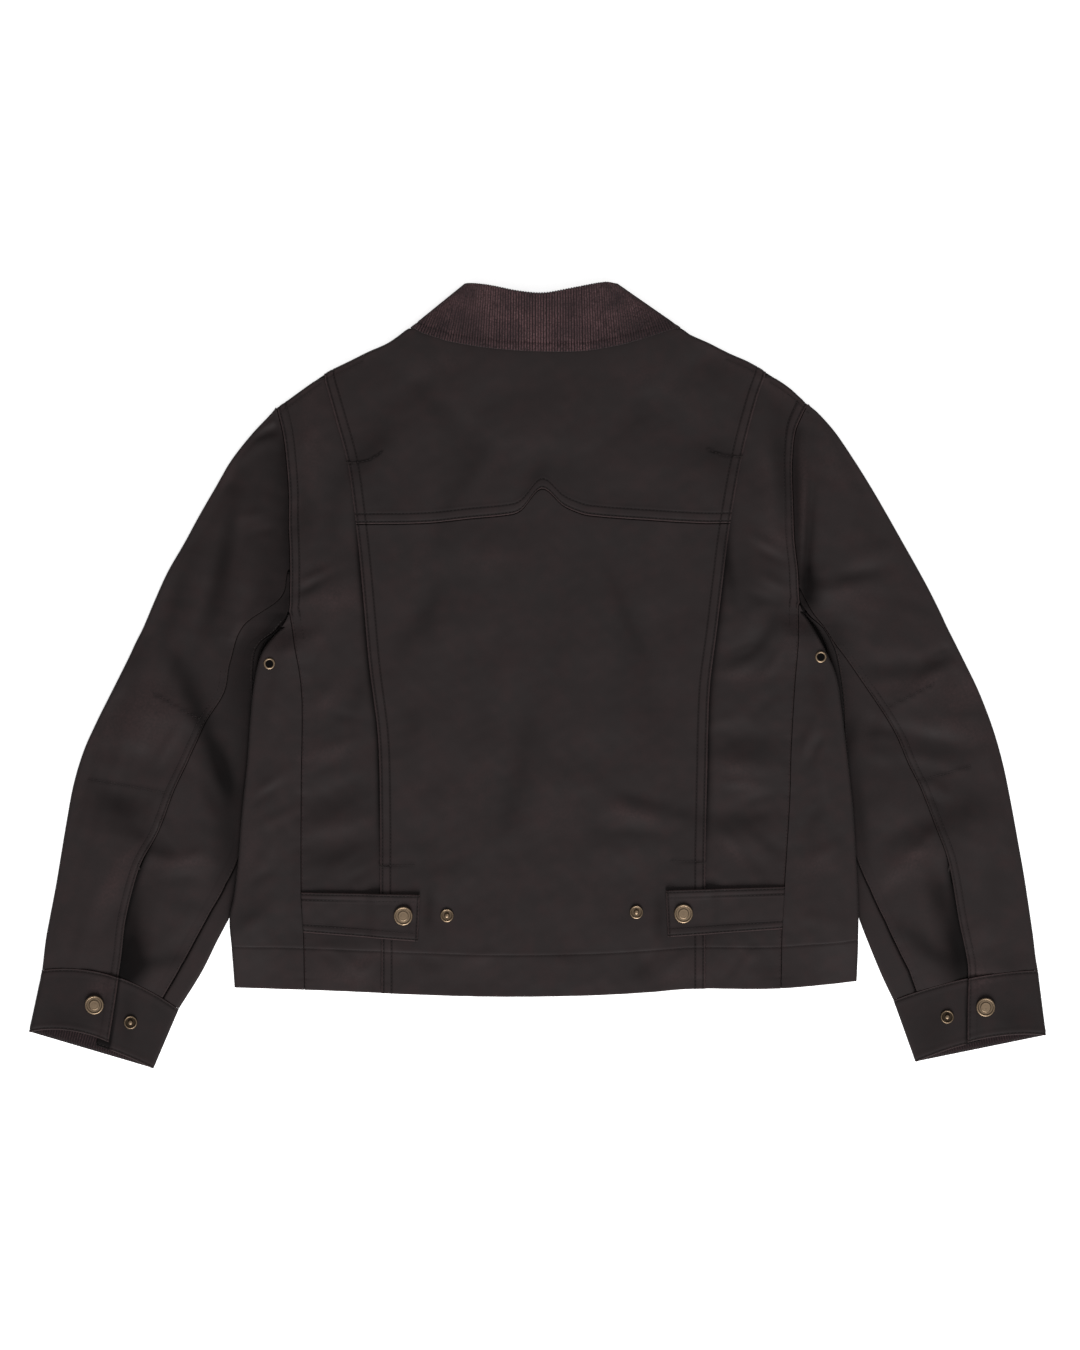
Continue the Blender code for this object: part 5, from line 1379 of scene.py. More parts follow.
class StitchTree(PathTree):
    """Short threads laid end to end along paths, each a slightly different size."""

    title = "Running stitch"
    sizes = ("Pitch", "Length", "Width", "Height", "Turn")

    def lay(self, given: bpy.types.Node) -> bpy.types.NodeSocket:
        """Lay a thread at each pitch.

        Args:
            given: The group's input node.

        Returns:
            The instances' socket.
        """
        tree = self.tree
        curve = add_node(tree, "GeometryNodeMeshToCurve", {"Mesh": given.outputs["Paths"]}).outputs[0]
        dots = add_node(tree, "GeometryNodeCurveToPoints",
                        {"Curve": curve, "Length": given.outputs["Pitch"]}, mode="LENGTH")
        ahead = add_node(tree, "FunctionNodeAlignRotationToVector",
                         {"Vector": dots.outputs["Tangent"]}, axis="X").outputs[0]
        upright = add_node(tree, "FunctionNodeAlignRotationToVector",
                           {"Rotation": ahead, "Vector": (0.0, 0.0, 1.0)}, axis="Z",
                           pivot_axis="X").outputs[0]
        spin = add_node(tree, "ShaderNodeCombineXYZ", {"Z": given.outputs["Turn"]}).outputs[0]
        turned = add_node(tree, "FunctionNodeRotateRotation", {"Rotation": upright, 1: spin},
                          rotation_space="LOCAL").outputs[0]
        size = add_node(tree, "ShaderNodeCombineXYZ",
                        {"X": given.outputs["Length"], "Y": given.outputs["Width"],
                         "Z": given.outputs["Height"]}).outputs[0]
        vary = add_node(tree, "FunctionNodeRandomValue", {0: (0.88, 0.85, 0.8), 1: (1.08, 1.1, 1.2),
                                                          "Seed": 7}, data_type="FLOAT_VECTOR")
        scale = add_node(tree, "ShaderNodeVectorMath", {0: size, 1: vary.outputs[0]},
                         operation="MULTIPLY").outputs[0]
        bead = add_node(tree, "GeometryNodeMeshUVSphere", {"Segments": 6, "Rings": 4, "Radius": 0.5})
        return add_node(tree, "GeometryNodeInstanceOnPoints",
                        {"Points": dots.outputs["Points"], "Instance": bead.outputs[0],
                         "Rotation": turned, "Scale": scale}).outputs[0]


class WaleTree(PathTree):
    """Rounded ridges of pile that run along paths."""

    title = "Corduroy wales"
    sizes = ("Width",)

    def lay(self, given: bpy.types.Node) -> bpy.types.NodeSocket:
        """Sweep a ridge along each path.

        Args:
            given: The group's input node.

        Returns:
            The ridges' socket.
        """
        tree = self.tree
        curve = add_node(tree, "GeometryNodeMeshToCurve", {"Mesh": given.outputs["Paths"]}).outputs[0]
        half = add_node(tree, "ShaderNodeMath", {0: given.outputs["Width"], 1: 0.5},
                        operation="MULTIPLY").outputs[0]
        ring = add_node(tree, "GeometryNodeCurvePrimitiveCircle",
                        {"Resolution": 8, "Radius": half}).outputs[0]
        return add_node(tree, "GeometryNodeCurveToMesh", {"Curve": curve, "Profile Curve": ring,
                                                          "Fill Caps": True}).outputs[0]


@dataclass
class Sewing:
    """The thread in the jacket's seams."""

    tree: StitchTree
    pitch: float = 3.3
    length: float = 2.7
    width: float = 0.62
    height: float = 0.4
    tack_pitch: float = 0.62
    tack_length: float = 2.2

    def sew(self, name: str, paths: list, tacks: tuple | list = ()) -> bpy.types.Object:
        """Sew running stitches and bar tacks.

        Args:
            name: The piece's name.
            paths: Paths of topstitching, in millimetres.
            tacks: Paths of bar tacks.

        Returns:
            The piece of thread.
        """
        meshes = []
        paths = [path for path in paths if len(path) > 1]
        if paths:
            meshes.append(self.tree.make(name, paths, self.sizes(self.pitch, self.length, 0.0)))
        if tacks:
            sizes = self.sizes(self.tack_pitch, self.tack_length, math.pi / 2)
            meshes.append(self.tree.make(name + "_tacks", list(tacks), sizes))
        build = bmesh.new()
        for mesh in meshes:
            build.from_mesh(mesh)
        build.to_mesh(meshes[0])
        build.free()
        meshes[0].shade_smooth()
        return add_piece(name, meshes[0], self.tree.finish)

    def sizes(self, pitch: float, length: float, turn: float) -> dict:
        """The tree's sizes, for a pitch and a length in millimetres and a turn in radians."""
        return {"Pitch": pitch * MM, "Length": length * MM, "Width": self.width * MM,
                "Height": self.height * MM, "Turn": turn}


@dataclass
class Workshop:
    """What every piece is made with."""

    finishes: Finishes
    sewing: Sewing
    wales: WaleTree

    def lay_wales(self, name: str, paths: list, width: float, **bloom: float) -> bpy.types.Object:
        """Lay ridges of pile along paths.

        Args:
            name: The piece's name.
            paths: Paths of their centre lines, in millimetres.
            width: Width of a ridge, in millimetres.
            bloom: Settings of the painted light on the ridges' crests and the painted shade at their feet.

        Returns:
            The piece.
        """
        mesh = self.wales.make(name, paths, {"Width": width * MM})
        paint_wale_light_and_shade(mesh, **bloom)
        piece = add_piece(name, mesh, self.finishes.corduroy)
        return piece


class Marks(Enum):
    """Folds whose crests are worn pale and painted lighter and whose hollows are painted in shade, and marks
    of painted light and shade, for each kind of piece.
    """

    BODY = ((*BODY_FOLDS, *BODY_CREASES), BODY_SHADES)
    TOP_SLEEVE = ((*SLEEVE_FOLDS, *SLEEVE_CREASES), SLEEVE_SHADES)
    UNDER_SLEEVE = ((*SLEEVE_FOLDS, *SLEEVE_CREASES), (*SLEEVE_SHADES, *VENT_SHADES))
    CUFF = ((), SLEEVE_SHADES)


def finish_cloth(shop: Workshop, name: str, wall: Wall, flat: tuple, rests_on: tuple,
                 area: float, extra: tuple | list = (), tacks: tuple | list = (), grain: float = 0.0,
                 strips: tuple | list = (), marks: Marks = Marks.BODY,
                 warmth: float = 0.0) -> bpy.types.Object:
    """Make one waxed cotton piece with its thread, and log its cloth area beside the area it was cut to.

    Args:
        shop: What it is made with.
        name: The CAD node that it replaces, and its name.
        wall: Its wall.
        flat: Width and length that it was cut to, in metres; not used.
        rests_on: Names of what lies under it.
        area: Flat area of the cut, in square metres.
        extra: More paths of stitches.
        tacks: Paths of bar tacks.
        grain: Angle of the lengthwise threads from +Y, in degrees.
        strips: More pieces that go with it.
        marks: What its rubbing, painted highlights and painted shade follow.
        warmth: How much redder than the rest it is.

    Returns:
        The piece.
    """
    wall.rub_and_highlight(*marks.value)
    wall.wear_and_highlight += warmth
    piece = add_piece(name + "_cloth", wall.mesh(name + "_cloth", grain), shop.finishes.cotton)
    paths = [*extra, *(wall.line(seam.edge, row, seam.span) for seam in wall.seams for row in seam.rows)]
    with_pieces = list(strips)
    if paths or tacks:
        with_pieces.append(shop.sewing.sew(name + "_stitches", paths, tacks))
    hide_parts(name)
    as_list(rests_on)
    log.info("%s: %.4f m2 of cloth, %.4f m2 cut", name, cloth_area(piece.data), area)
    return piece


# Body


THREAD_LIFT = 0.35  # of a tack's middle line over the cloth
NEAR_EDGE = 1.4  # from a seam to the single row beside it


def gather(x: Array, y: Array, z: Array) -> Array:
    """Points from three grids of coordinates."""
    return np.stack(np.broadcast_arrays(x, y, z), -1)


def bar(x: float, y: float, z: float, heading: float, length: float = 8.0) -> Array:
    """Path of a short bar tack.

    Args:
        x: Its middle across the back.
        y: Its middle up the back.
        z: Its height.
        heading: Its direction, in degrees from +X.
        length: Its length.

    Returns:
        Points of the path.
    """
    turn = math.radians(heading)
    reach = np.linspace(-length / 2, length / 2, 5)
    return gather(x + reach * math.cos(turn), y + reach * math.sin(turn), np.full(5, z))


def shoulder_row(side: Side, wall: Wall, start: float, end: float) -> Array:
    """Row of stitches along the shoulder, just inside its folded edge.

    Args:
        side: Which side.
        wall: The wall that it is sewn to.
        start: Half at which it starts.
        end: Half at which it ends.

    Returns:
        Points of its path.
    """
    halves = np.linspace(start, end, 14)
    heights = side.curves["shoulder"](halves) - 7.5
    path = wall.nearest_heights(list(zip(side.sign * halves, heights)))
    # painted shade along the row
    wall.shade_path(path, 0.9, 0.6)
    return path


def top_edge(x: Array, neck: Curve) -> Array:
    """y at which a piece begins to turn over the neck line or the shoulder.

    Args:
        x: Places across the back.
        neck: The neck line's y at a half.

    Returns:
        The y at each place.
    """
    half = np.abs(x)
    sloped = by_side("shoulder", x, half) - LAYERS.shoulder_inset * LAYERS.radius
    return mix(neck(half) - LAYERS.radius, sloped, ramp(half, NECK_HALF - 8, NECK_HALF + 6))


def over_shoulder(x: Array, y: Array, neck: Curve, height: Place, lap: Place, facing: int) -> list:
    """Rows that carry a piece on to the neck line, or round the folded shoulder beside it.

    Args:
        x: Places across the back, one for each column.
        y: The piece's last row, up the back.
        neck: The neck line's y at a half.
        height: Height of the outer face at (x, y).
        lap: Height of (x, y) over the layer below.
        facing: 1 if the piece faces up, else -1.

    Returns:
        Rows of points.
    """
    half, rows, last = np.abs(x), [], len(SHOULDER_ANGLES) - 1
    over = ramp(half, NECK_HALF - 6, NECK_HALF + 6)[:, None]
    for number, angle in enumerate(SHOULDER_ANGLES):
        neck_y = neck(half) - LAYERS.radius * (1 - number / last)
        neck_y = np.maximum(neck_y, y + 0.2 * (number + 1))
        turned = LAYERS.shoulder_turn(x, facing * angle, 0.0)
        turned[:, 2] += lap(x, neck_y) * math.sin(math.radians(angle))
        rows.append(mix(gather(x, neck_y, height(x, neck_y)), turned, over)[None])
    return rows


@dataclass
class CentreBack:
    """Centre back and yoke, whose free side edges lie over the side backs."""

    shop: Workshop
    panel_flat: tuple = (0.345, 0.455)
    panel_area: float = 0.131
    yoke_flat: tuple = (0.40, 0.19)
    yoke_area: float = 0.062
    rests_on: tuple = ("side_back_left_cloth", "side_back_right_cloth")
    cells_across: int = 100
    panel_cells_up: int = 120
    yoke_cells_up: int = 56
    tack_inset: float = 3.5
    tack_length: float = 9.0
    dart: tuple = (7, 23)  # how far inside the free edge it starts, and its length
    closing_shade: tuple = (1.1, 0.8)  # width and darkness of the painted shade along the line that closes the pleat
    # width and darkness of the painted shade along the yoke's dart
    dart_shade: tuple = (1.2, 0.9)
    yoke_rows: tuple = (164, 196)  # halves between which the shoulder is stitched

    def make(self) -> None:
        """Build both pieces."""
        self.panel()
        self.yoke()

    def left(self, y: Array) -> Array:
        """x of the left free edge at y."""
        return -LEFT.curves["pleat"](y)

    def right(self, y: Array) -> Array:
        """x of the right free edge at y."""
        return RIGHT.curves["pleat"](y)

    def tack(self, side: Side, y: float) -> Array:
        """Path of a bar tack across a side's free edge, at a height up the back."""
        x = side.sign * (side.curves["pleat"](y) - self.tack_inset)
        return bar(x, y, float(LAYERS.centre_height(x, y)) + THREAD_LIFT, 4 * side.sign, self.tack_length)

    def panel(self) -> None:
        """Centre back, from the hem to the yoke's seam."""
        x, y = plan_grid(self.left, self.right, HEM,
                         lambda x: YOKE_SEAM(x) - LAYERS.seam_gap / 2,
                         Steps(FINE, FINE, self.cells_across),
                         Steps(HEM_STEPS, PLAIN, self.panel_cells_up))
        seams = (Seam(Edge.START), Seam(Edge.END), HEM_SEAM)
        wall = Wall(gather(x, y, LAYERS.centre_height(x, y)), LAYERS.cloth, seams=seams,
                    sewn=(Edge.TOP,))
        tacks = [self.tack(side, side.pleat_tacks[1]) for side in SIDES]
        extra = [self.pleat_end(side, wall) for side in SIDES]
        finish_cloth(self.shop, "back_panel", wall, self.panel_flat, self.rests_on, self.panel_area,
                     extra, tacks)

    def pleat_end(self, side: Side, wall: Wall) -> Array:
        """Row of stitches that closes the pleat below its opening.

        Args:
            side: Which side.
            wall: The centre back's wall.

        Returns:
            Points of its path.
        """
        y = side.pleat_tacks[1] + 1.5
        halves = np.linspace(side.curves["pleat"](y) - 2, side.pleat_row_end, 12)
        path = wall.nearest_heights([(side.sign * half, y) for half in halves])
        wall.shade_path(path[::11], *self.closing_shade)
        return path

    def yoke(self) -> None:
        """Yoke, from its peaked seam up over the shoulders and to the neck."""
        x, y = plan_grid(self.left, self.right, lambda x: YOKE_SEAM(x) + LAYERS.seam_gap / 2,
                         lambda x: top_edge(x, BACK_NECK), Steps(FINE, FINE, self.cells_across),
                         Steps(FINE, HIDDEN, self.yoke_cells_up))
        tops = np.interp(x[-1], (x[-1][0], x[-1][-1]), (-LEFT.pleat[-1][1], RIGHT.pleat[-1][1]))
        rows = [gather(x, y, LAYERS.centre_height(x, y)),
                *over_shoulder(tops, y[-1], BACK_NECK, LAYERS.centre_height, LAYERS.centre_lap, 1)]
        seams = (Seam(Edge.START), Seam(Edge.END), Seam(Edge.LOW))
        wall = Wall(np.concatenate(rows), LAYERS.cloth, seams=seams)
        tacks = [self.tack(side, side.pleat_tacks[0]) for side in SIDES]
        extra = [self.dart_path(side, wall) for side in SIDES]
        extra += [shoulder_row(side, wall, *self.yoke_rows) for side in SIDES]
        finish_cloth(self.shop, "back_yoke", wall, self.yoke_flat, self.rests_on, self.yoke_area,
                     extra, tacks)

    def dart_path(self, side: Side, wall: Wall) -> Array:
        """Short sewn line that runs in from the pleat's upper tack.

        Args:
            side: Which side.
            wall: The yoke's wall.

        Returns:
            Points of its path.
        """
        y = side.pleat_tacks[0]
        inset, length = self.dart
        edge = side.curves["pleat"](y)
        path = [(side.sign * (edge - inset - length * t), y + side.yoke_dart_rise * t * t)
                for t in np.linspace(0, 1, 9)]
        wall.shade_path([(side.sign * edge, y), *path], *self.dart_shade)
        return wall.nearest_heights(path)


@dataclass
class SideBody:
    """One side of the body: side back, side panel and front."""

    shop: Workshop
    side: Side
    back_flat: tuple = (0.11, 0.60)
    back_area: float = 0.042
    panel_flat: tuple = (0.13, 0.36)
    panel_area: float = 0.038
    front_flat: tuple = (0.26, 0.61)
    front_area: float = 0.135
    underlap: float = 10.0
    front_lap: float = 12.0
    allowance_mm: float = 0.5
    allowance_gap: float = 0.15
    allowance_shape: tuple = (-0.5, -0.48, -0.3, 0.0, 0.3, 0.48, 0.5)  # shares of its width
    # share of painted shade over each strip
    allowance_shade: float = 0.6
    shoulder_rows: tuple = (202, 236)  # halves between which the shoulder is stitched
    pleat_shade: tuple = (0.95, 2.4)  # darkness of the painted shade under the open pleat's edge, and its width
    # darkness and width of painted shade along the side seam, below the underarm
    seam_shade: tuple = (0.8, 0.8)

    def make(self) -> None:
        """Build the three pieces."""
        self.side_back()
        self.side_panel()
        self.front()

    def outer(self, y: Array) -> Array:
        """Half at which the side back ends: the side seam below the underarm, then the armhole."""
        side, seam_y = self.side, self.side.underarm[0]
        return np.where(y <= seam_y, side.curves["seam"](y), side.curves["armhole"](y))

    def hem(self, half: Array) -> Array:
        """y of the hem at a half."""
        return HEM(self.side.sign * half)

    def side_back(self) -> None:
        """Side back: from the side seam and the armhole in under the centre back."""
        side, name = self.side, self.side.name
        shoulder, pleat = side.curves["shoulder"], side.curves["pleat"]
        half, y = plan_grid(lambda y: self.outer(y) - LAYERS.seam_gap / 2,
                            lambda y: pleat(y) - self.underlap, self.hem,
                            lambda half: shoulder(half) - LAYERS.shoulder_inset * LAYERS.radius,
                            Steps(FINE, (0.0, 1.5), 34), Steps(HEM_STEPS, HIDDEN, 190))
        x = side.sign * half
        sunk = 1.7 * LAYERS.pleat_open(y) * np.exp(-(((half - pleat(y) - 0.5) / 4) ** 2))
        rows = [gather(x, y, LAYERS.back_height(x, y) - sunk)]
        ends = (side.shoulder[-1][0], side.pleat[-1][1] - self.underlap)
        tops = np.interp(-half[-1], (-half[-1][0], -half[-1][-1]), ends)
        lap = LAYERS.cloth + LAYERS.lap_gap
        under = lap * (1 - np.clip((tops - side.pleat[-1][1]) / 8.4, 0, 1))
        rows += [LAYERS.shoulder_turn(side.sign * tops, angle, under)[None] for angle in SHOULDER_ANGLES]
        share = (side.underarm[0] - 8) / 560  # of the edge that lies below the underarm
        seams = (Seam(Edge.START, span=(share, 1.0), pucker=0.4), HEM_SEAM)
        wall = Wall(np.concatenate(rows), LAYERS.cloth, seams=seams, sewn=(Edge.START,))
        out = side.sign * wall.points[..., 0] - pleat(wall.points[..., 1])
        open_part = LAYERS.pleat_open(wall.points[..., 1])
        darkness, width = self.pleat_shade
        wall.darken(darkness * open_part * np.exp(-((np.maximum(out, 0) / width) ** 2)))
        below = wall.points[..., 1] < side.underarm[0]
        darkness, width = self.seam_shade
        wall.darken(darkness * below * np.exp(-((wall.from_edge[Edge.START] / width) ** 2)))
        extra = (wall.line(Edge.START, NEAR_EDGE, (0.0, share)),
                 shoulder_row(side, wall, *self.shoulder_rows))
        finish_cloth(self.shop, f"side_back_{name}", wall, self.back_flat, (f"front_{name}_cloth",),
                     self.back_area, extra, strips=self.allowances())

    def allowance(self, name: str, half: Array, y: Array, top: Array,
                  width: Array) -> bpy.types.Object:
        """A strip painted in shade all over, which closes a gap: a seam's raw edges pressed flat inside it,
        or a sheet beneath the gap under the arm.
            y: The seam's heights up the back.
            top: Level of the strip's upper face.
            width: Widths of the strip.

        Returns:
            The strip.
        """
        reach = np.array(self.allowance_shape)[None] * width[:, None]
        x = self.side.sign * (half[:, None] + reach)
        wall = Wall(gather(x, y[:, None], top[:, None]), self.allowance_mm, rim=0.3)
        # the whole strip is painted in shade
        wall.shade_and_tarnish[:] = self.allowance_shade
        made = add_piece(name, wall.mesh(name), self.shop.finishes.cotton)
        return made

    def allowances(self) -> list:
        """Strips painted in shade inside the armhole's seam, beneath the gap under the arm and inside the
        side seam.

        Returns:
            The three strips.
        """
        side, name = self.side, self.side.name
        y = np.linspace(side.underarm[2] - 5, side.shoulder[-1][1] - 0.3, 90)
        at_tip = 1 - ramp(y, side.underarm[0] - 2, side.underarm[0] + 8)
        half = side.curves["armhole"](y) - 4.0 * at_tip
        body = LAYERS.back_height(side.sign * half, y)
        top = LAYERS.sleeve_level(body) - LAYERS.cloth - self.allowance_gap
        width = 7.0 + 7.0 * at_tip - 5.0 * ramp(y, y[-1] - 8, y[-1])
        inside = self.allowance(f"armhole_allowance_{name}", half, y, top, width)
        inner = np.array([row[2:4] for row in side.closed_rows[:5]], float)[::-1]
        y = np.linspace(side.underarm[2] - 48, side.underarm[2] + 6, 44)
        sleeve, body = np.interp(y, inner[:, 1], inner[:, 0]), side.curves["edge"](y)
        # a sheet of painted shade beneath the gap between the sleeve and the body
        below = self.allowance(f"underarm_shade_strip_{name}", (sleeve + body) / 2, y,
                               np.full_like(y, 0.7), np.abs(sleeve - body) + 8)
        y = np.linspace(HEM(side.sign * side.curves["seam"](10.0)) + 1, side.underarm[0] + 1, 120)
        half = side.curves["seam"](y)
        top = LAYERS.back_height(side.sign * half, y) - LAYERS.cloth - self.allowance_gap
        seam = self.allowance(f"side_allowance_{name}", half, y, top, np.full_like(y, 5.0))
        return [inside, below, seam]

    def side_panel(self) -> None:
        """Side panel: round the folded side, up to its tip at the underarm."""
        side, name, radius = self.side, self.side.name, LAYERS.radius
        seam, edge = side.curves["seam"], side.curves["edge"]
        seam_y, _, edge_y = side.underarm
        half, y = plan_grid(lambda y: seam(y) + LAYERS.seam_gap / 2,
                            lambda y: edge(y) - radius, self.hem,
                            lambda half: np.full_like(half, edge_y),
                            Steps(FINE, HIDDEN, 14), Steps(HEM_STEPS, HIDDEN, 106))
        x = side.sign * half
        upper = gather(x, y, LAYERS.back_height(x, y))
        edge_y_line = y[:, -1:]
        bend = np.radians(SIDE_ANGLES)[None]
        narrow = 1 - 0.5 * ramp(edge_y_line, edge_y - 8, edge_y)
        turn_half = half[:, -1:] + radius * np.cos(bend) * narrow
        middle = LAYERS.lift(x[:, -1:], edge_y_line) + radius
        turn = gather(side.sign * turn_half, edge_y_line, middle + radius * np.sin(bend))
        picks = list(range(half.shape[1] - 1, 0, -4)) + [0]
        lower = gather(x[:, picks], y[:, picks], LAYERS.lift(x[:, picks], y[:, picks]))
        points = np.concatenate([upper, turn, lower], 1)
        tip_rows = []
        for share in (0.02, *np.linspace(0, 1, 13)[1:]):
            row_y = np.full(half.shape[1], mix(edge_y, seam_y, share))
            inner = seam(row_y) + LAYERS.seam_gap / 2
            outer = side.curves["armhole"](row_y) - LAYERS.seam_gap / 2
            spread = (half[-1] - half[-1][0]) / (half[-1][-1] - half[-1][0])
            row_x = side.sign * mix(inner, np.maximum(outer, inner + 0.6 * (1 - share) + 0.05), spread)
            row = np.full((points.shape[1], 3), np.nan)
            row[:len(row_y)] = gather(row_x, row_y, LAYERS.back_height(row_x, row_y))
            tip_rows.append(row[None])
        points = np.concatenate([points, *tip_rows])
        seams = (Seam(Edge.START, rows=(), doubled=6, rise=0.1, wear_and_highlight=0.05), HEM_SEAM)
        wall = Wall(points, LAYERS.cloth, seams=seams, sewn=(Edge.START, Edge.TOP))
        finish_cloth(self.shop, f"side_panel_{name}", wall, self.panel_flat,
                     (f"top_sleeve_{name}_cloth",), self.panel_area)

    def front(self) -> None:
        """Front: flat on the surface, the left one lapped under the right one's edge."""
        side, name = self.side, self.side.name
        raised = LAYERS.cloth + LAYERS.rest_gap if side is RIGHT else 0.0

        def bottom(x: Array, y: Array) -> Array:
            """Height of the outer face, which faces down."""
            return LAYERS.lift(x, y) + raised * (1 - ramp(side.sign * x, 14, 26))

        half, y = plan_grid(lambda y: self.outer(y) - LAYERS.seam_gap / 2,
                            lambda y: np.full_like(y, -self.front_lap), self.hem,
                            lambda half: top_edge(side.sign * half, FRONT_NECK),
                            Steps(RIM, RIM, 44), Steps(RIM, HIDDEN, 80))
        tops = side.sign * np.interp(-half[-1], (-half[-1][0], -half[-1][-1]),
                                     (side.shoulder[-1][0], -self.front_lap))
        x = side.sign * half
        rows = [gather(x, y, bottom(x, y)),
                *over_shoulder(tops, y[-1], FRONT_NECK, bottom, lambda x, y: 0.0, -1)]
        seams = (Seam(Edge.END, rows=(3.0,), rise=0.0, pucker=0.0),
                 Seam(Edge.LOW, rows=(3.0,), rise=0.0, pucker=0.0))
        wall = Wall(np.concatenate(rows), LAYERS.cloth, upwards=False, seams=seams)
        rests = () if side is LEFT else ("front_left_cloth",)
        finish_cloth(self.shop, f"front_{name}", wall, self.front_flat, rests, self.front_area)


# Sleeves


@dataclass
class SleeveRows:
    """Rows across a sleeve, with places along each in millimetres from the outer folded edge."""

    side: Side
    table: Array  # outer half, outer y, inner half, inner y, inseam, bow, drop, underlap, closed

    def __post_init__(self) -> None:
        """Find each row's width."""
        (self.outer_half, self.outer_y, self.inner_half, self.inner_y, self.inseam, self.bow,
         self.drop, self.underlap, self.closed) = (self.table[:, i:i + 1] for i in range(9))
        self.width = np.hypot(self.outer_half - self.inner_half, self.outer_y - self.inner_y)

    def plan(self, place: Array, bow: Array | float = 0.0) -> tuple[Array, Array]:
        """Where places lie in the plane.

        Args:
            place: Places along the rows.
            bow: How far the middle of the row is drawn up.

        Returns:
            x and y.
        """
        share = place / self.width
        half = mix(self.outer_half, self.inner_half, share)
        y = mix(self.outer_y, self.inner_y, share) + bow * 4 * share * (1 - share)
        return self.side.sign * half, y

    def height(self, place: Array) -> Array:
        """Top of the sleeve at places along the rows.

        Args:
            place: Places along the rows.

        Returns:
            The heights.
        """
        from_inner = self.width - place
        x, y = self.plan(place, self.bow)
        shut = self.closed
        rise = ramp(place, 3, 40) * (1 - shut * (1 - ramp(from_inner, 18, 50)))
        top = mix(LAYERS.edge_height, LAYERS.sleeve_loft, rise)
        calm = 1 - 0.8 * self.drop / (LAYERS.cloth + LAYERS.lap_gap)
        folds = sum(fold.rise(x, y) for fold in SLEEVE_FOLDS) * ramp(place, 3, 25) * calm
        creases = sum(fold.rise(x, y) for fold in SLEEVE_CREASES) + SLEEVE_WAVES.rise(x, y)
        creases = np.clip(1.25 * creases, -1.8, None) * ramp(place, 2, 12) * (0.4 + 0.6 * calm)
        folds = np.maximum(folds + creases, -3.6)
        folds = folds * mix(ramp(from_inner, 0.5, 6), ramp(from_inner, 18, 40), shut)
        body = LAYERS.sleeve_level(LAYERS.back_height(x, y))
        return mix(top, body, (1 - shut) * (1 - ramp(from_inner, 0, 30))) + folds

    def reach(self, radius: float) -> Array:
        """How far in a folded edge reaches on each row, less where the row is narrow."""
        return np.minimum(radius, 0.45 * self.width)

    def seam_place(self) -> Array:
        """Place where the back seam crosses each row.

        Returns:
            One place for each row.
        """
        low, high = np.zeros_like(self.width), self.width.copy()
        seam = self.side.curves["back_seam"]
        for _ in range(30):
            middle = (low + high) / 2
            x, y = self.plan(middle, self.bow)
            outside = np.abs(x) > seam(y)
            low, high = np.where(outside, middle, low), np.where(outside, high, middle)
        return (low + high) / 2

    def up(self, place: Array, drop: Array | float = 0.0) -> Array:
        """Points on the upper layer's outer face, dropped below it, at the places along the rows."""
        x, y = self.plan(place, self.bow)
        return gather(x, y, self.height(place) - drop)

    def down(self, place: Array) -> Array:
        """Points on the lower layer's outer face, at the places along the rows."""
        x, y = self.plan(place)
        return gather(x, y, np.zeros_like(x))

    def turn(self, edge_place: Array | float, direction: int, angles: Array, radius: float,
             bow: Array | None = None) -> Array:
        """Points round a folded edge.

        Args:
            edge_place: Place of the edge on each row.
            direction: 1 if the sleeve lies at higher places, else -1.
            angles: Degrees up from the fold's outermost line, for each column.
            radius: Radius of the fold.
            bow: Bow of the rows, where it isn't the sleeve's own.

        Returns:
            Points.
        """
        bend = np.radians(np.atleast_2d(angles))
        drawn = (self.bow if bow is None else bow) * np.maximum(np.sin(bend), 0.0)
        place = edge_place + direction * self.reach(radius) * (1 - np.cos(bend))
        x, y = self.plan(place, drawn)
        return gather(x, y, radius + radius * np.sin(bend))


def columns(start: Array, end: Array, steps: Steps) -> Array:
    """Rows of places from one place on each row to another, as the steps divide them."""
    start, end = start[:, 0], end[:, 0]
    return (start + np.sign(end - start) * steps.places(np.abs(end - start))).T


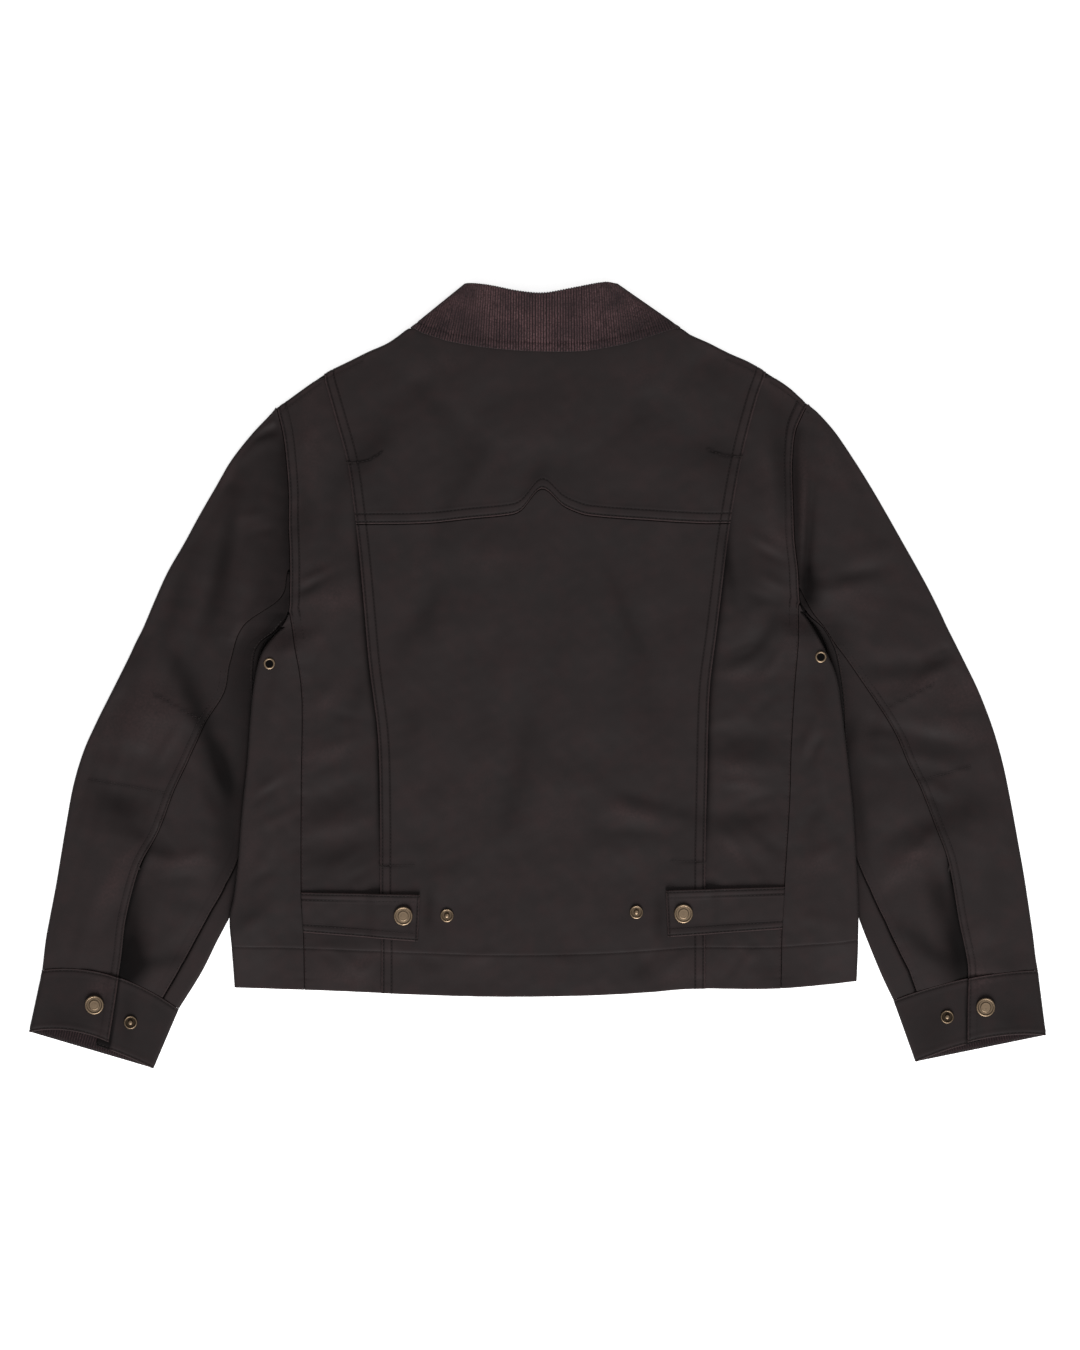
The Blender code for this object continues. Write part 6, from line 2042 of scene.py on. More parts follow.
@dataclass
class Sleeve:
    """Top sleeve, under sleeve and the darts that shape the elbow."""

    shop: Workshop
    side: Side
    per_row: int = 9  # fine rows for each row of the table
    tack: tuple = (0.3, 75, 5.0)  # lift, heading and length of the vent's bar tack
    dart_shade: tuple = (1.5, 0.22)  # width and darkness of the painted shade along a dart's rows
    dart_rows: tuple = (0.0, 1.6)
    top_flat: tuple = (0.31, 0.57)
    top_area: float = 0.111
    under_flat: tuple = (0.09, 0.37)
    under_area: float = 0.019
    warmth: float = 0.03
    under_stitched: tuple = (0.12, 1.0)  # part of the inseam with a row of stitches, in shares

    def __post_init__(self) -> None:
        """Spread the table to fine rows."""
        side = self.side
        table = []
        for outer_half, outer_y, inner_y in side.open_rows:
            inner = side.curves["armhole"](inner_y) + LAYERS.sleeve_gap
            table.append((outer_half, outer_y, inner, inner_y, 0, 0, 0, 0, 0))
        table += [(*row, 1) for row in side.closed_rows]
        self.table = np.array(table, float)
        self.opens = len(side.open_rows)
        places = np.arange(len(table), dtype=float)
        fine = np.linspace(0, len(table) - 1, (len(table) - 1) * self.per_row + 1)
        last = len(table) - 1
        ends = last - np.array((1.0, 0.75, 0.5, 0.28, 0.12, 0.05, 0.015)) * 0.12
        fine = np.unique(np.concatenate([fine, ends, (0.004, 0.015, 0.04)]))
        self.fine = fine
        rows = np.stack([Curve(tuple(zip(places, values)))(fine) if column < 4
                         else np.interp(fine, places, values)
                         for column, values in enumerate(self.table.T)], 1)
        opened = fine < self.opens
        armhole = side.curves["armhole"](rows[:, 3]) + LAYERS.sleeve_gap
        rows[:, 2] = np.where(opened, armhole, rows[:, 2])
        rows[:, 8] = np.clip(fine - (self.opens - 1), 0, 1)
        self.rows = rows
        direction = np.array(side.closed_rows[-1][:2]) - np.array(side.open_rows[4][:2])
        self.grain = math.degrees(math.atan2(side.sign * direction[0], -direction[1]))

    def make(self) -> None:
        """Build both pieces."""
        self.top_sleeve()
        self.under_sleeve()

    def top_sleeve(self) -> None:
        """Top sleeve: from the back seam over the folded edge and under to the inseam."""
        side, name, radius = self.side, self.side.name, LAYERS.radius
        rows = SleeveRows(side, self.rows)
        started = (self.fine >= side.seam_start)[:, None]
        seam = np.where(started, rows.seam_place() - LAYERS.seam_gap / 2, rows.width)
        near = rows.reach(radius)
        upper = rows.up(columns(seam, near, Steps(FINE, HIDDEN, 34)))
        fold = rows.turn(0.0, 1, SIDE_ANGLES, radius)
        shut = (self.fine >= self.opens)[:, None]
        flat_end = rows.width - radius * shut
        lower = rows.down(columns(near, flat_end, Steps(BENEATH, BENEATH, 18)))
        since = np.clip(self.fine - self.opens, 0, 1)[:, None]
        last_angle = mix(45.0, 90.0, since)
        angles = mix(np.full_like(last_angle, -90.0), last_angle, np.linspace(0.1, 1, 10)[None])
        inner = rows.turn(rows.width, -1, angles, radius)
        flat = rows.width - np.maximum(rows.inseam, radius)
        start = rows.width - radius
        tail = mix(start, flat, np.linspace(0.12, 1, 7)[None])
        tail_points = rows.up(tail)
        closeness = (1 - since)[..., None]
        tail_points = tail_points * (1 - closeness) + inner[:, -1:, :] * closeness
        extra = np.concatenate([inner, tail_points], 1)
        extra[~shut[:, 0]] = np.nan
        points = np.concatenate([upper, fold, lower, extra], 1)
        share = (self.opens + 2) / (len(self.table) - 1)
        shadow = self.shadow(points)
        seams = (Seam(Edge.START, rows=(1.8, 6.5), doubled=7.5, rise=0.2, wear_and_highlight=0.2, mark=0.45,
                      span=(share, 1.0)),)
        cloth = np.minimum(LAYERS.cloth, 0.25 * rows.width + 0.3)
        wall = Wall(points, cloth, seams=seams, sewn=tuple(Edge))
        wall.darken(shadow)
        half, y = side.vent_tack
        x, y, z = wall.nearest_heights([(side.sign * half, y)])[0]
        lift, heading, length = self.tack
        tacks = (bar(x, y, z + lift, heading * side.sign, length),)
        darts = [path for dart in side.darts for path in self.dart_paths(dart, wall)]
        finish_cloth(self.shop, f"top_sleeve_{name}", wall, self.top_flat, (), self.top_area, darts,
                     tacks, self.grain, marks=Marks.TOP_SLEEVE, warmth=self.warmth)

    def shadow(self, points: Array) -> Array:
        """Painted shade in the crevice between the sleeve and the body.

        Args:
            points: Points on the sleeve.

        Returns:
            Shares at each point.
        """
        half, y = self.side.sign * points[..., 0], points[..., 1]
        body = np.where(y > self.side.underarm[0], self.side.curves["armhole"](y),
                        self.side.curves["edge"](y))
        away = np.maximum(half - body, 0)
        reach = 5 + self.side.shade_reach * ramp(y, 80, 160) * (1 - ramp(y, 480, 520))
        strength = mix(0.45, 0.75, ramp(y, 90, 320) * (1 - ramp(y, 480, 520)))
        return strength * np.exp(-away / reach) * (1 - ramp(y, 500, 530))

    def dart_paths(self, dart: tuple, wall: Wall) -> list:
        """Two rows of stitches along a dart.

        Args:
            dart: Its points, as (half, y).
            wall: The sleeve's wall.

        Returns:
            Two paths.
        """
        halves, heights = np.array(dart, float).T
        share = np.linspace(0, 1, 24)
        knots = np.linspace(0, 1, len(dart))
        made = []
        for offset in self.dart_rows:
            half, y = np.interp(share, knots, halves), np.interp(share, knots, heights) - offset
            made.append(wall.nearest_heights(list(zip(self.side.sign * half, y))))
            wall.shade_path(made[-1], *self.dart_shade)
        return made

    def under_sleeve(self) -> None:
        """Under sleeve: the upper layer between the back seam and the inseam."""
        side, name = self.side, self.side.name
        keep = self.fine >= side.seam_start
        rows = SleeveRows(side, self.rows[keep])
        seam = rows.seam_place() + LAYERS.seam_gap / 2
        gap = LAYERS.seam_gap
        end = rows.width - (rows.inseam + gap) * rows.closed
        places = columns(seam - rows.underlap, end, Steps(RIM, FINE, 26))
        past = places - seam
        drop = rows.drop * (1 - ramp(past, 6, 28))
        opened = ramp(rows.drop, 0, LAYERS.cloth)
        reach = mix(4.0, 13.0, ramp(self.fine[keep], self.opens + 8.5, self.opens + 12)[:, None])
        past = np.maximum(past, 0)
        # painted shade in the vent's crevice, beside the top sleeve's edge
        crevice = opened * np.maximum(0.97 * np.exp(-((past / 3.0) ** 2)),
                                      0.75 * np.exp(-((past / reach) ** 2)))
        wall = Wall(rows.up(places, drop), LAYERS.cloth,
                    seams=(Seam(Edge.END, rows=(), doubled=7.5, rise=0.15, wear_and_highlight=0.25),),
                    sewn=(Edge.END, Edge.LOW, Edge.TOP))
        wall.darken(np.maximum(self.shadow(wall.points), crevice))
        finish_cloth(self.shop, f"under_sleeve_{name}", wall, self.under_flat,
                     (f"top_sleeve_{name}_cloth",), self.under_area,
                     (wall.line(Edge.END, NEAR_EDGE, self.under_stitched),), grain=self.grain,
                     marks=Marks.UNDER_SLEEVE, warmth=self.warmth)


@dataclass
class Cuff:
    """Snap cuff: one band round the wrist with its corduroy facing."""

    shop: Workshop
    side: Side
    edge_height: float = 6.6
    under_loft: float = 6.7
    flap_loft: float = 9.3
    facing: float = 1.5
    flat: tuple = (0.29, 0.06)
    area: float = 0.0158
    lining_flat: tuple = (0.13, 0.056)
    lining_inset: float = 8.0
    wale_pitch: float = 2.5
    wale_width: float = 1.5
    wale_height: float = 0.55
    shade: float = 0.16  # how dark the whole band is
    under_flap: float = 12.0  # how far the band runs on beneath its own end
    lip_height: float = 0.9
    crevice: tuple = (0.9, 1.9)  # painted shade beside the band's end: its darkness and its width

    def rows(self, shares: Array) -> SleeveRows:
        """Rows across the cuff.

        Args:
            shares: Shares of the way from the cuff's seam to the mouth.

        Returns:
            The rows.
        """
        (outer, mouth_outer), (inner, mouth_inner) = self.side.cuff_outer, self.side.cuff_inner
        gap = 0.12 * (1 - shares)
        zero = np.zeros_like(shares)
        table = np.stack([mix(outer[0], mouth_outer[0], shares), mix(outer[1], mouth_outer[1], shares) - gap,
                          mix(inner[0], mouth_inner[0], shares), mix(inner[1], mouth_inner[1], shares) - gap,
                          zero, zero, zero, zero, zero + 1], 1)
        return SleeveRows(self.side, table)

    def make(self) -> None:
        """Build the band and its facing."""
        side, name, radius = self.side, self.side.name, self.edge_height / 2
        length = math.dist(side.cuff_outer[0], side.cuff_outer[1])
        shares = Steps(FINE, FINE, 18).shares(length)
        rows = self.rows(shares)
        shares = shares[:, None]
        flap_end = mix(*side.flap_end, shares) * rows.width
        hidden = flap_end - self.under_flap
        flap_bow, under_bow = mix(*side.flap_bow, shares), mix(*side.under_bow, shares)
        places = columns(hidden, rows.width - radius, Steps(RIM, HIDDEN, 26))
        darkness, width = self.crevice
        by_flap = darkness * np.exp(-((np.maximum(places - flap_end, 0) / width) ** 2))
        rise = ramp(rows.width - places, radius, 8)
        x, y = rows.plan(places, under_bow)
        under = gather(x, y, mix(self.edge_height, self.under_loft, rise) + self.dents(x, y, 0.5))
        inner = rows.turn(rows.width, -1, SIDE_ANGLES, radius, under_bow)
        full = np.full_like(flap_end, radius)
        lower = rows.down(columns(rows.width - radius, full, Steps(BENEATH, BENEATH, 22)))
        outer = rows.turn(0.0, 1, -SIDE_ANGLES, radius, flap_bow)
        places = columns(full, flap_end, Steps(HIDDEN, FINE, 26))
        rise = ramp(places, radius, hidden[0, 0] - 4)
        x, y = rows.plan(places, flap_bow)
        lip = self.lip_height * ramp(places, flap_end - 16, flap_end)
        flap = gather(x, y, mix(self.edge_height, self.flap_loft, rise) + self.dents(x, y, 0.8) + lip)
        points = np.concatenate([under, inner, lower, outer, flap], 1)
        seams = (Seam(Edge.END, rows=(2.2,), doubled=8, mark=0.5),
                 Seam(Edge.TOP, rows=(2.2,), doubled=6, rise=0.2, mark=0.5),
                 Seam(Edge.LOW, rows=(1.8,), doubled=6, rise=0.2, mark=0.5))
        wall = Wall(points, LAYERS.cloth, seams=seams, sewn=(Edge.LOW,))
        dark = np.full(wall.valid.shape, self.shade)
        dark[:, :by_flap.shape[1]] = np.maximum(by_flap, self.shade)
        wall.darken(dark)
        finish_cloth(self.shop, f"cuff_{name}", wall, self.flat, (), self.area, marks=Marks.CUFF)
        self.lining()

    def dents(self, x: Array, y: Array, height: float) -> Array:
        """Slight unevenness of the band, of about a height, at (x, y)."""
        return SLEEVE_WAVES.rise(x * 1.3 + 40, y * 1.3) * height * 0.35

    def lining(self) -> None:
        """Corduroy facing on the inner face of the lower layer, with wales along the sleeve."""
        name, inset = self.side.name, self.lining_inset
        shares = np.linspace(0.04, 0.99, 16)
        rows = self.rows(shares)
        base = LAYERS.cloth + LAYERS.seam_gap + self.facing - self.wale_height
        places = columns(np.full_like(rows.width, inset), rows.width - inset, Steps(PLAIN, PLAIN, 40))
        x, y = rows.plan(places)
        wall = Wall(gather(x, y, np.full_like(x, base)), self.facing - self.wale_height, rim=0.4)
        # painted shade over the facing inside the cuff's mouth
        wall.shade_and_tarnish[:] = 0.9
        piece = add_piece(f"cuff_lining_{name}_cloth", wall.mesh(f"cuff_lining_{name}_cloth"),
                          self.shop.finishes.corduroy)
        count = int((rows.width.max() - 2 * inset) / self.wale_pitch)
        paths = []
        for number in range(count):
            at = mix(inset + 1.2, rows.width - inset - 1.2, number / (count - 1))
            x, y = rows.plan(at)
            paths.append(gather(x[:, 0], y[:, 0], np.full(len(shares), base - 0.45)))
        ridges = self.shop.lay_wales(f"cuff_lining_{name}_wales", paths, self.wale_width,
                                     most=0.3, groove=1.0)
        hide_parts(f"cuff_lining_{name}")


def paint_wale_light_and_shade(mesh: bpy.types.Mesh, most: float = 1.0, ends: float = 1.0,
               groove: float = 0.0) -> None:
    """Paint light on the crests of pile ridges, where they face up, and shade at their feet.

    Args:
        mesh: Ridges, whose normals tell crest from foot.
        most: Share of painted light on the crests.
        ends: Part of it that is left on a collar's two ends, which slope away from the light.
        groove: Painted shade at the ridges' feet.
    """
    count = len(mesh.vertices)
    normals = np.empty(count * 3)
    mesh.vertices.foreach_get("normal", normals)
    up = normals.reshape(-1, 3)[:, 2]
    places = np.empty(count * 3)
    mesh.vertices.foreach_get("co", places)
    half = np.abs(places[::3] / MM + CENTRE[0])
    most = most * mix(1.0, ends, ramp(half, 20, 105))
    for label in ("wear_and_highlight", "shade_and_tarnish"):
        if label not in mesh.attributes:
            mesh.attributes.new(label, "FLOAT", "POINT")
    mesh.attributes["wear_and_highlight"].data.foreach_set("value", most * ramp(np.abs(up), 0.2, 0.95))
    mesh.attributes["shade_and_tarnish"].data.foreach_set("value", groove * (1 - 0.85 * ramp(np.abs(up), 0.6, 1)))


# Collar


def unit(vectors: Array) -> Array:
    """Vectors of the same directions and a length of 1."""
    return vectors / np.linalg.norm(vectors, axis=-1, keepdims=True)


@dataclass
class Collar:
    """Corduroy collar, folded over the neck with its leaves under the fronts, and its stand."""

    shop: Workshop
    fold_radius: float = 2.2
    edge_radius: float = 6.2
    turn_in: float = 6.0
    stand_gap: float = 2.4
    neck_gap: float = 0.7
    leaf_shares: tuple = (0.195, 0.3, 0.4, 0.487, 0.6, 0.7, 0.796, 0.9, 1.0)
    levels: tuple = (0.0, 0.004, 0.012, 0.03, *np.linspace(0.06, 1.0, 34))  # from edge to fold
    stray: float = 0.06  # how unevenly the wales are spaced
    end_gap: float = 1.2  # from the last wale to the leaf's end
    seam_sink: float = 0.5  # how far the row of stitches presses a wale down
    back_span: tuple = (0.13, 0.87, 61)  # shares of the back half between the wings, and columns
    stand_shares: tuple = (0.0, 0.04, 0.12, 0.3, 0.5, 0.7, 0.88, 0.96, 1.0)
    fall_flat: tuple = (0.46, 0.075)
    stand_flat: tuple = (0.44, 0.035)
    stand_area: float = 0.0127
    stand_lift: float = 0.2
    wale_pitch: float = 2.5
    wale_radius: float = 1.05
    wale_height: float = 0.75
    wale_lean: float = 0.24
    stitch_offset: float = 7.0
    stitch_lift: float = 0.35

    def __post_init__(self) -> None:
        """Make the curves of the fall."""
        self.fall_edge, self.fall_fold = Curve(FALL_EDGE), Curve(FALL_FOLD)

    def by_share(self, fold: bool, share: Array) -> tuple[Array, Array]:
        """Points a share of the way along the fall's edge or its fold.

        Args:
            fold: Whether the fold is meant.
            share: Shares from left to right.

        Returns:
            x and y.
        """
        points, curve = (FALL_FOLD, self.fall_fold) if fold else (FALL_EDGE, self.fall_edge)
        x = mix(points[0][0], points[-1][0], share)
        return x, curve(x)

    def top(self, x: Array, y: Array) -> Array:
        """Height of the fall's outer face at (x, y)."""
        over = LAYERS.centre_height(x, np.minimum(y, NECK_Y)) + LAYERS.lap_gap + LAYERS.corduroy
        return np.maximum(2 * self.edge_radius, over)

    def back_points(self, share: Array, level: float) -> tuple[Array, Array]:
        """Points and inward directions on the back half.

        Args:
            share: Shares from left to right.
            level: 0 at the free edge, 1 at the fold.

        Returns:
            Points and directions.
        """
        (low_x, low_y), (high_x, high_y) = self.by_share(False, share), self.by_share(True, share)
        x, y = mix(low_x, high_x, level), mix(low_y, high_y, level)
        return gather(x, y, self.top(x, y)), gather(0 * x, 0 * x, 0 * x - 1)

    def corners(self, side: Side) -> tuple:
        """The wing's lower end at the free edge and its upper end at the fold."""
        end = 0 if side is LEFT else -1
        return FALL_EDGE[end], FALL_FOLD[end]

    def wing_line(self, side: Side) -> list:
        """Direction from the wing's lower end to its upper end."""
        corner, fold = self.corners(side)
        return [(b - a) / math.dist(corner, fold) for a, b in zip(corner, fold)]

    def front_points(self, side: Side, share: Array, level: float) -> tuple[Array, Array]:
        """Points and inward directions beneath the front.

        Args:
            side: Which side.
            share: Shares from the wing to the leaf's end.
            level: 0 at the free edge, 1 at the fold.

        Returns:
            Points and directions.
        """
        corner, fold = self.corners(side)
        wing = [mix(a, b, level) for a, b in zip(corner, fold)]
        end = [mix(a, b, level) for a, b in zip(LEAF_POINT, LEAF_END)]
        x, y = mix(wing[0], side.sign * end[0], share), mix(wing[1], end[1], share)
        return gather(x, y, np.zeros_like(x)), gather(0 * x, 0 * x, 0 * x + 1)

    def wing(self, side: Side, level: float, angles: Array) -> tuple[Array, Array]:
        """Points round the folded side edge.

        Args:
            side: Which side.
            level: 0 at the free edge, 1 at the fold.
            angles: Degrees, from underneath at -90 to the top at 90.

        Returns:
            Points and inward directions.
        """
        (corner, fold), along = self.corners(side), self.wing_line(side)
        wing_x = mix(corner[0], fold[0], level)
        other = self.corners(RIGHT if side is LEFT else LEFT)
        other_x = mix(other[0][0], other[1][0], level)
        radius, bend = self.edge_radius, np.radians(angles)
        x = wing_x - side.sign * radius / along[1] * (1 - np.cos(bend))
        share = (x - wing_x) / (other_x - wing_x)
        above = self.back_points(share if side is LEFT else 1 - share, level)[0][:, 1]
        above = mix(mix(corner[1], fold[1], level), above, np.sin(bend) ** 4)
        end_x = side.sign * mix(LEAF_POINT[0], LEAF_END[0], level)
        below = self.front_points(side, (x - wing_x) / (end_x - wing_x), level)[0][:, 1]
        y = np.where(angles >= 0, above, below)
        inward = gather(-side.sign * along[1] * np.cos(bend), side.sign * along[0] * np.cos(bend),
                        -np.sin(bend))
        return gather(x, y, radius + radius * np.sin(bend)), inward

    def section(self, level: float) -> tuple[Array, Array]:
        """Points and inward directions round the collar at one level.

        Args:
            level: 0 at the free edge, 1 at the fold.

        Returns:
            Points and directions from the left leaf's end to the right one's.
        """
        shares = np.array(self.leaf_shares)
        angles = np.arange(-90, 91, 15.0)
        parts = [self.front_points(LEFT, shares[::-1], level), self.wing(LEFT, level, angles),
                 self.back_points(np.linspace(*self.back_span), level),
                 self.wing(RIGHT, level, angles[::-1]), self.front_points(RIGHT, shares, level)]
        return tuple(np.concatenate([part[i] for part in parts]) for i in (0, 1))

    def surface(self, inset: float) -> Array:
        """Rows of points from the free edge over the fold to the strip that turns in.

        Args:
            inset: How far in from the collar's outer face.

        Returns:
            Rows and columns of points.
        """
        sections = [self.section(level) for level in self.levels]
        rows = [points + inward * inset for points, inward in sections]
        (before, _), (points, inward) = sections[-2], sections[-1]
        along = unit(points - before)
        radius = self.fold_radius
        for angle in range(15, 181, 15):
            bend = math.radians(angle)
            reach = radius - inset
            step = points + inward * (radius - reach * math.cos(bend))
            rows.append(step + along * reach * math.sin(bend))
        far = points + inward * (2 * radius - inset)
        rows += [far - along * self.turn_in * share for share in (0.2, 0.6, 0.9, 1.0)]
        return np.array(rows)

    def wale_paths(self) -> list:
        """Paths of the pile ridges, from the free edge over the fold.

        Returns:
            Arrays of points.
        """
        grid = self.surface(self.wale_height)
        rows = grid.shape[0]
        fold_row = len(self.levels) - 1
        step = np.linalg.norm(np.diff(grid, axis=1), axis=2)
        run = np.concatenate([np.zeros((rows, 1)), np.cumsum(step, 1)], 1)
        middle = grid.shape[1] // 2
        run -= np.array([np.interp(0.0, grid[r, middle - 20:middle + 21, 0],
                                   run[r, middle - 20:middle + 21]) for r in range(rows)])[:, None]
        reach = min(-run[0, 0], run[0, -1]) - self.end_gap
        below = np.linalg.norm(grid[:fold_row + 1] - grid[0], axis=2)
        paths = []
        draw = np.random.default_rng(5)
        number = int(reach / self.wale_pitch)
        for count in range(-number, number + 1):
            base = count * self.wale_pitch + draw.normal(0, self.stray)
            path, column = [], 0.0
            for row in range(rows):
                if row <= fold_row:
                    lean = self.wale_lean * min(abs(base) / 120, 1.4) ** 2 * self.levels[row]
                    at = base * (1 - lean)
                    if at < run[row, 0] or at > run[row, -1]:
                        break
                    column = float(np.interp(at, run[row], np.arange(grid.shape[1])))
                first = min(int(column), grid.shape[1] - 2)
                point = mix(grid[row, first], grid[row, first + 1], column - first)
                sink = 0.0
                if row <= fold_row:
                    sink = self.seam_sink * math.exp(-((below[row, first] - self.stitch_offset) ** 2))
                path.append((point, first, row, sink))
            if len(path) > 3:
                paths.append(self.sunk(path, grid))
        return paths

    def sunk(self, path: list, grid: Array) -> Array:
        """Set a ridge's centre line below the face, so that only its crest stands up.

        Args:
            path: Points with their column, row and extra depth.
            grid: The face that the ridge lies on.

        Returns:
            The centre line's points.
        """
        made = []
        for point, column, row, sink in path:
            low, high = max(row - 1, 0), min(row + 1, len(grid) - 1)
            up = grid[high, column] - grid[low, column]
            across = grid[row, column + 1] - grid[row, column]
            normal = np.cross(across, up)
            normal /= max(np.linalg.norm(normal), 1e-9)
            made.append(point - normal * (self.wale_radius - self.wale_height + sink))
        return np.array(made)

    def make(self) -> None:
        """Build the fall, its ridges and the stand."""
        thickness = LAYERS.corduroy - self.wale_height
        wall = Wall(self.surface(self.wale_height), thickness, upwards=False, rim=0.7)
        piece = add_piece("collar_cloth", wall.mesh("collar_cloth"), self.shop.finishes.corduroy)
        ridges = self.shop.lay_wales("collar_wales", self.wale_paths(), 2 * self.wale_radius, ends=0.55)
        stitches = self.shop.sewing.sew("collar_stitches", [self.stitch_path(wall)])
        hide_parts("collar")
        log.info("collar: %.4f m2", cloth_area(piece.data))
        self.stand()

    def stitch_path(self, wall: Wall) -> Array:
        """Row of stitches along the fall's edge, on the crests.

        Args:
            wall: The fall's wall.

        Returns:
            Points of the path.
        """
        path = wall.line(Edge.LOW, self.stitch_offset, (0.12, 0.88))
        path = path + np.array((0, 0, self.stitch_lift))
        return path[path[:, 2] > 8]

    def stand(self) -> None:
        """Stand: carries the collar's inner edge on to the neck line."""
        depth = 2 * self.fold_radius
        (before, _), (points, inward) = self.section(0.65), self.section(1.0)
        along = unit(points - before)
        starts = points + inward * (depth + 0.3) - along * (self.turn_in + self.stand_gap)
        ends = self.stand_seam()
        rows = [mix(starts, ends, share) for share in self.stand_shares]
        wall = Wall(np.array(rows), LAYERS.corduroy, rim=0.8)
        finish_cloth(self.shop, "collar_stand", wall, self.stand_flat, ("back_yoke_cloth",),
                     self.stand_area)

    def stand_seam(self) -> Array:
        """Where the stand meets the body.

        Returns:
            Points along the neck line.
        """
        points, inward = self.section(0.1)
        made = []
        for (x, y, z), into in zip(points, inward):
            half, side = abs(x), LEFT if x < 0 else RIGHT
            if into[2] > 0.99:
                wing = abs(self.wing(side, 0.1, np.array([0.0]))[0][0][0])
                end = abs(self.front_points(side, np.array([1.0]), 0.1)[0][0][0])
                half = mix(wing, LEAF_END[0], (wing - half) / (wing - end))
                x = math.copysign(half, x)
                y = float(FRONT_NECK(half)) + self.neck_gap
                z = float(LAYERS.lift(x, y)) + LAYERS.corduroy + self.stand_lift
            elif into[2] < -0.99:
                y = float(BACK_NECK(half)) + self.neck_gap
                z = float(LAYERS.centre_height(x, y)) - LAYERS.corduroy - self.stand_lift
            else:
                along = self.wing_line(side)
                x, y, z = (a + b * (2 * self.fold_radius + 0.3) for a, b in zip((x, y, z), into))
                slide = (WING[1] + 2.2 - y) / along[1]
                x, y = x + along[0] * slide, WING[1] + 2.2
            made.append((x, y, z))
        return np.array(made)


# Tabs and metal


@dataclass
class WaistTab:
    """Waist tab, sewn in at the side seam and held by a snap cap."""

    shop: Workshop
    side: Side
    flat: tuple = (0.108, 0.042)
    area: float = 0.0043

    def make(self) -> None:
        """Build the tab."""
        side, name = self.side, self.side.name
        seam_top, seam_low, free_top, free_low = (np.array(point, float) for point in side.tab)
        length = float(np.linalg.norm(seam_top - free_top))
        width = float(np.linalg.norm(seam_top - seam_low))
        along = Steps((0.0, 0.3, 1.0, 2.2, 4.0), FINE, 40).shares(length)
        across = Steps(FINE, FINE, 12).shares(width)
        top = mix(seam_top, free_top, along[:, None])
        low = mix(seam_low, free_low, along[:, None])
        grid = mix(low[None], top[None], across[:, None, None])
        x, y = side.sign * grid[..., 0], grid[..., 1]
        z = LAYERS.tab_height(x, y)
        free = ramp(along, 0.7, 1.0)[None]
        edge = np.abs(across - 0.5)[:, None] * 2
        z = z + 0.9 * free * edge**2 + 0.8 * ramp(edge, 0.5, 1.0) * np.sin(along[None] * math.pi)
        seams = tuple(Seam(edge, rows=rows, doubled=7.8, pucker=0.2) for edge, rows in (
            (Edge.LOW, (1.8, 6.8)), (Edge.TOP, (1.8, 6.8)), (Edge.END, (1.8,))))
        wall = Wall(gather(x, y, z), LAYERS.cloth, seams=seams)
        finish_cloth(self.shop, f"waist_tab_{name}", wall, self.flat,
                     (f"side_back_{name}_cloth", "back_panel_cloth"), self.area, grain=90)


@dataclass
class Turned:
    """A round piece of metal from its profile of (radius, height, hollow)."""

    profile: tuple
    segments: int = 64
    closed: bool = False

    def tarnished(self, more: float) -> "Turned":
        """The same piece with more tarnish all over."""
        return replace(self, profile=tuple((radius, height, min(1.0, hollow + more))
                                           for radius, height, hollow in self.profile))

    def mesh(self, name: str, place: tuple) -> bpy.types.Mesh:
        """Turn the profile about the vertical.

        Args:
            name: Name of the mesh.
            place: Centre, in millimetres.

        Returns:
            The closed mesh, in metres.
        """
        build = bmesh.new()
        # each ring's hollow share: tarnish on metal, painted shadow on the eyelet's cotton disc
        shade_and_tarnish = build.verts.layers.float.new("shade_and_tarnish")
        rings = []
        for radius, height, hollow in self.profile:
            if radius < 1e-6:
                rings.append([build.verts.new((0, 0, height))])
            else:
                turns = [math.tau * i / self.segments for i in range(self.segments)]
                rings.append([build.verts.new((radius * math.cos(t), radius * math.sin(t), height))
                              for t in turns])
            for vert in rings[-1]:
                vert[shade_and_tarnish] = hollow
        pairs = list(zip(rings, rings[1:]))
        if self.closed:
            pairs.append((rings[-1], rings[0]))
        for a, b in pairs:
            for i in range(self.segments):
                j = (i + 1) % self.segments
                corners = [a[i % len(a)], b[i % len(b)], b[j % len(b)], a[j % len(a)]]
                kept = list(dict.fromkeys(corners))
                if len(kept) > 2:
                    build.faces.new(kept)
        for vert in build.verts:
            vert.co = ((vert.co.x + place[0] - CENTRE[0]) * MM, (vert.co.y + place[1] - CENTRE[1]) * MM,
                       (vert.co.z + place[2]) * MM)
        bmesh.ops.recalc_face_normals(build, faces=build.faces)
        mesh = bpy.data.meshes.new(name)
        build.to_mesh(mesh)
        build.free()
        mesh.shade_smooth()
        mesh.set_sharp_from_angle(angle=math.radians(40))
        return mesh


CAP = Turned((
    (0, 2.30, 0), (1.2, 2.32, 0), (2.4, 2.30, 0), (3.5, 2.22, 0), (3.9, 2.3, 0), (4.25, 2.22, 0.2),
    (4.5, 1.95, 0.8), (4.8, 1.86, 0.6), (5.6, 1.84, 0.2), (6.4, 1.86, 0.6), (6.75, 1.95, 0.8),
    (6.95, 2.3, 0.1), (7.3, 2.48, 0), (7.7, 2.45, 0), (8.15, 2.15, 0), (8.42, 1.6, 0.2),
    (8.5, 1.1, 0.5), (8.4, 0.5, 0.8), (8.1, 0.05, 1), (0, 0.0, 1)))
STUD = Turned((
    (0, 3.1, 0), (0.9, 3.05, 0), (1.5, 2.85, 0), (1.95, 2.45, 0), (2.05, 2.0, 0.3), (1.8, 1.4, 0.9),
    (2.1, 0.9, 0.9), (3.0, 0.75, 0.65), (4.2, 0.8, 0.75), (4.6, 1.0, 0.6), (4.85, 1.4, 0.1), (5.2, 1.55, 0),
    (5.6, 1.4, 0), (5.9, 1.0, 0.3), (6.0, 0.5, 0.7), (5.8, 0.05, 1), (0, 0, 1)))
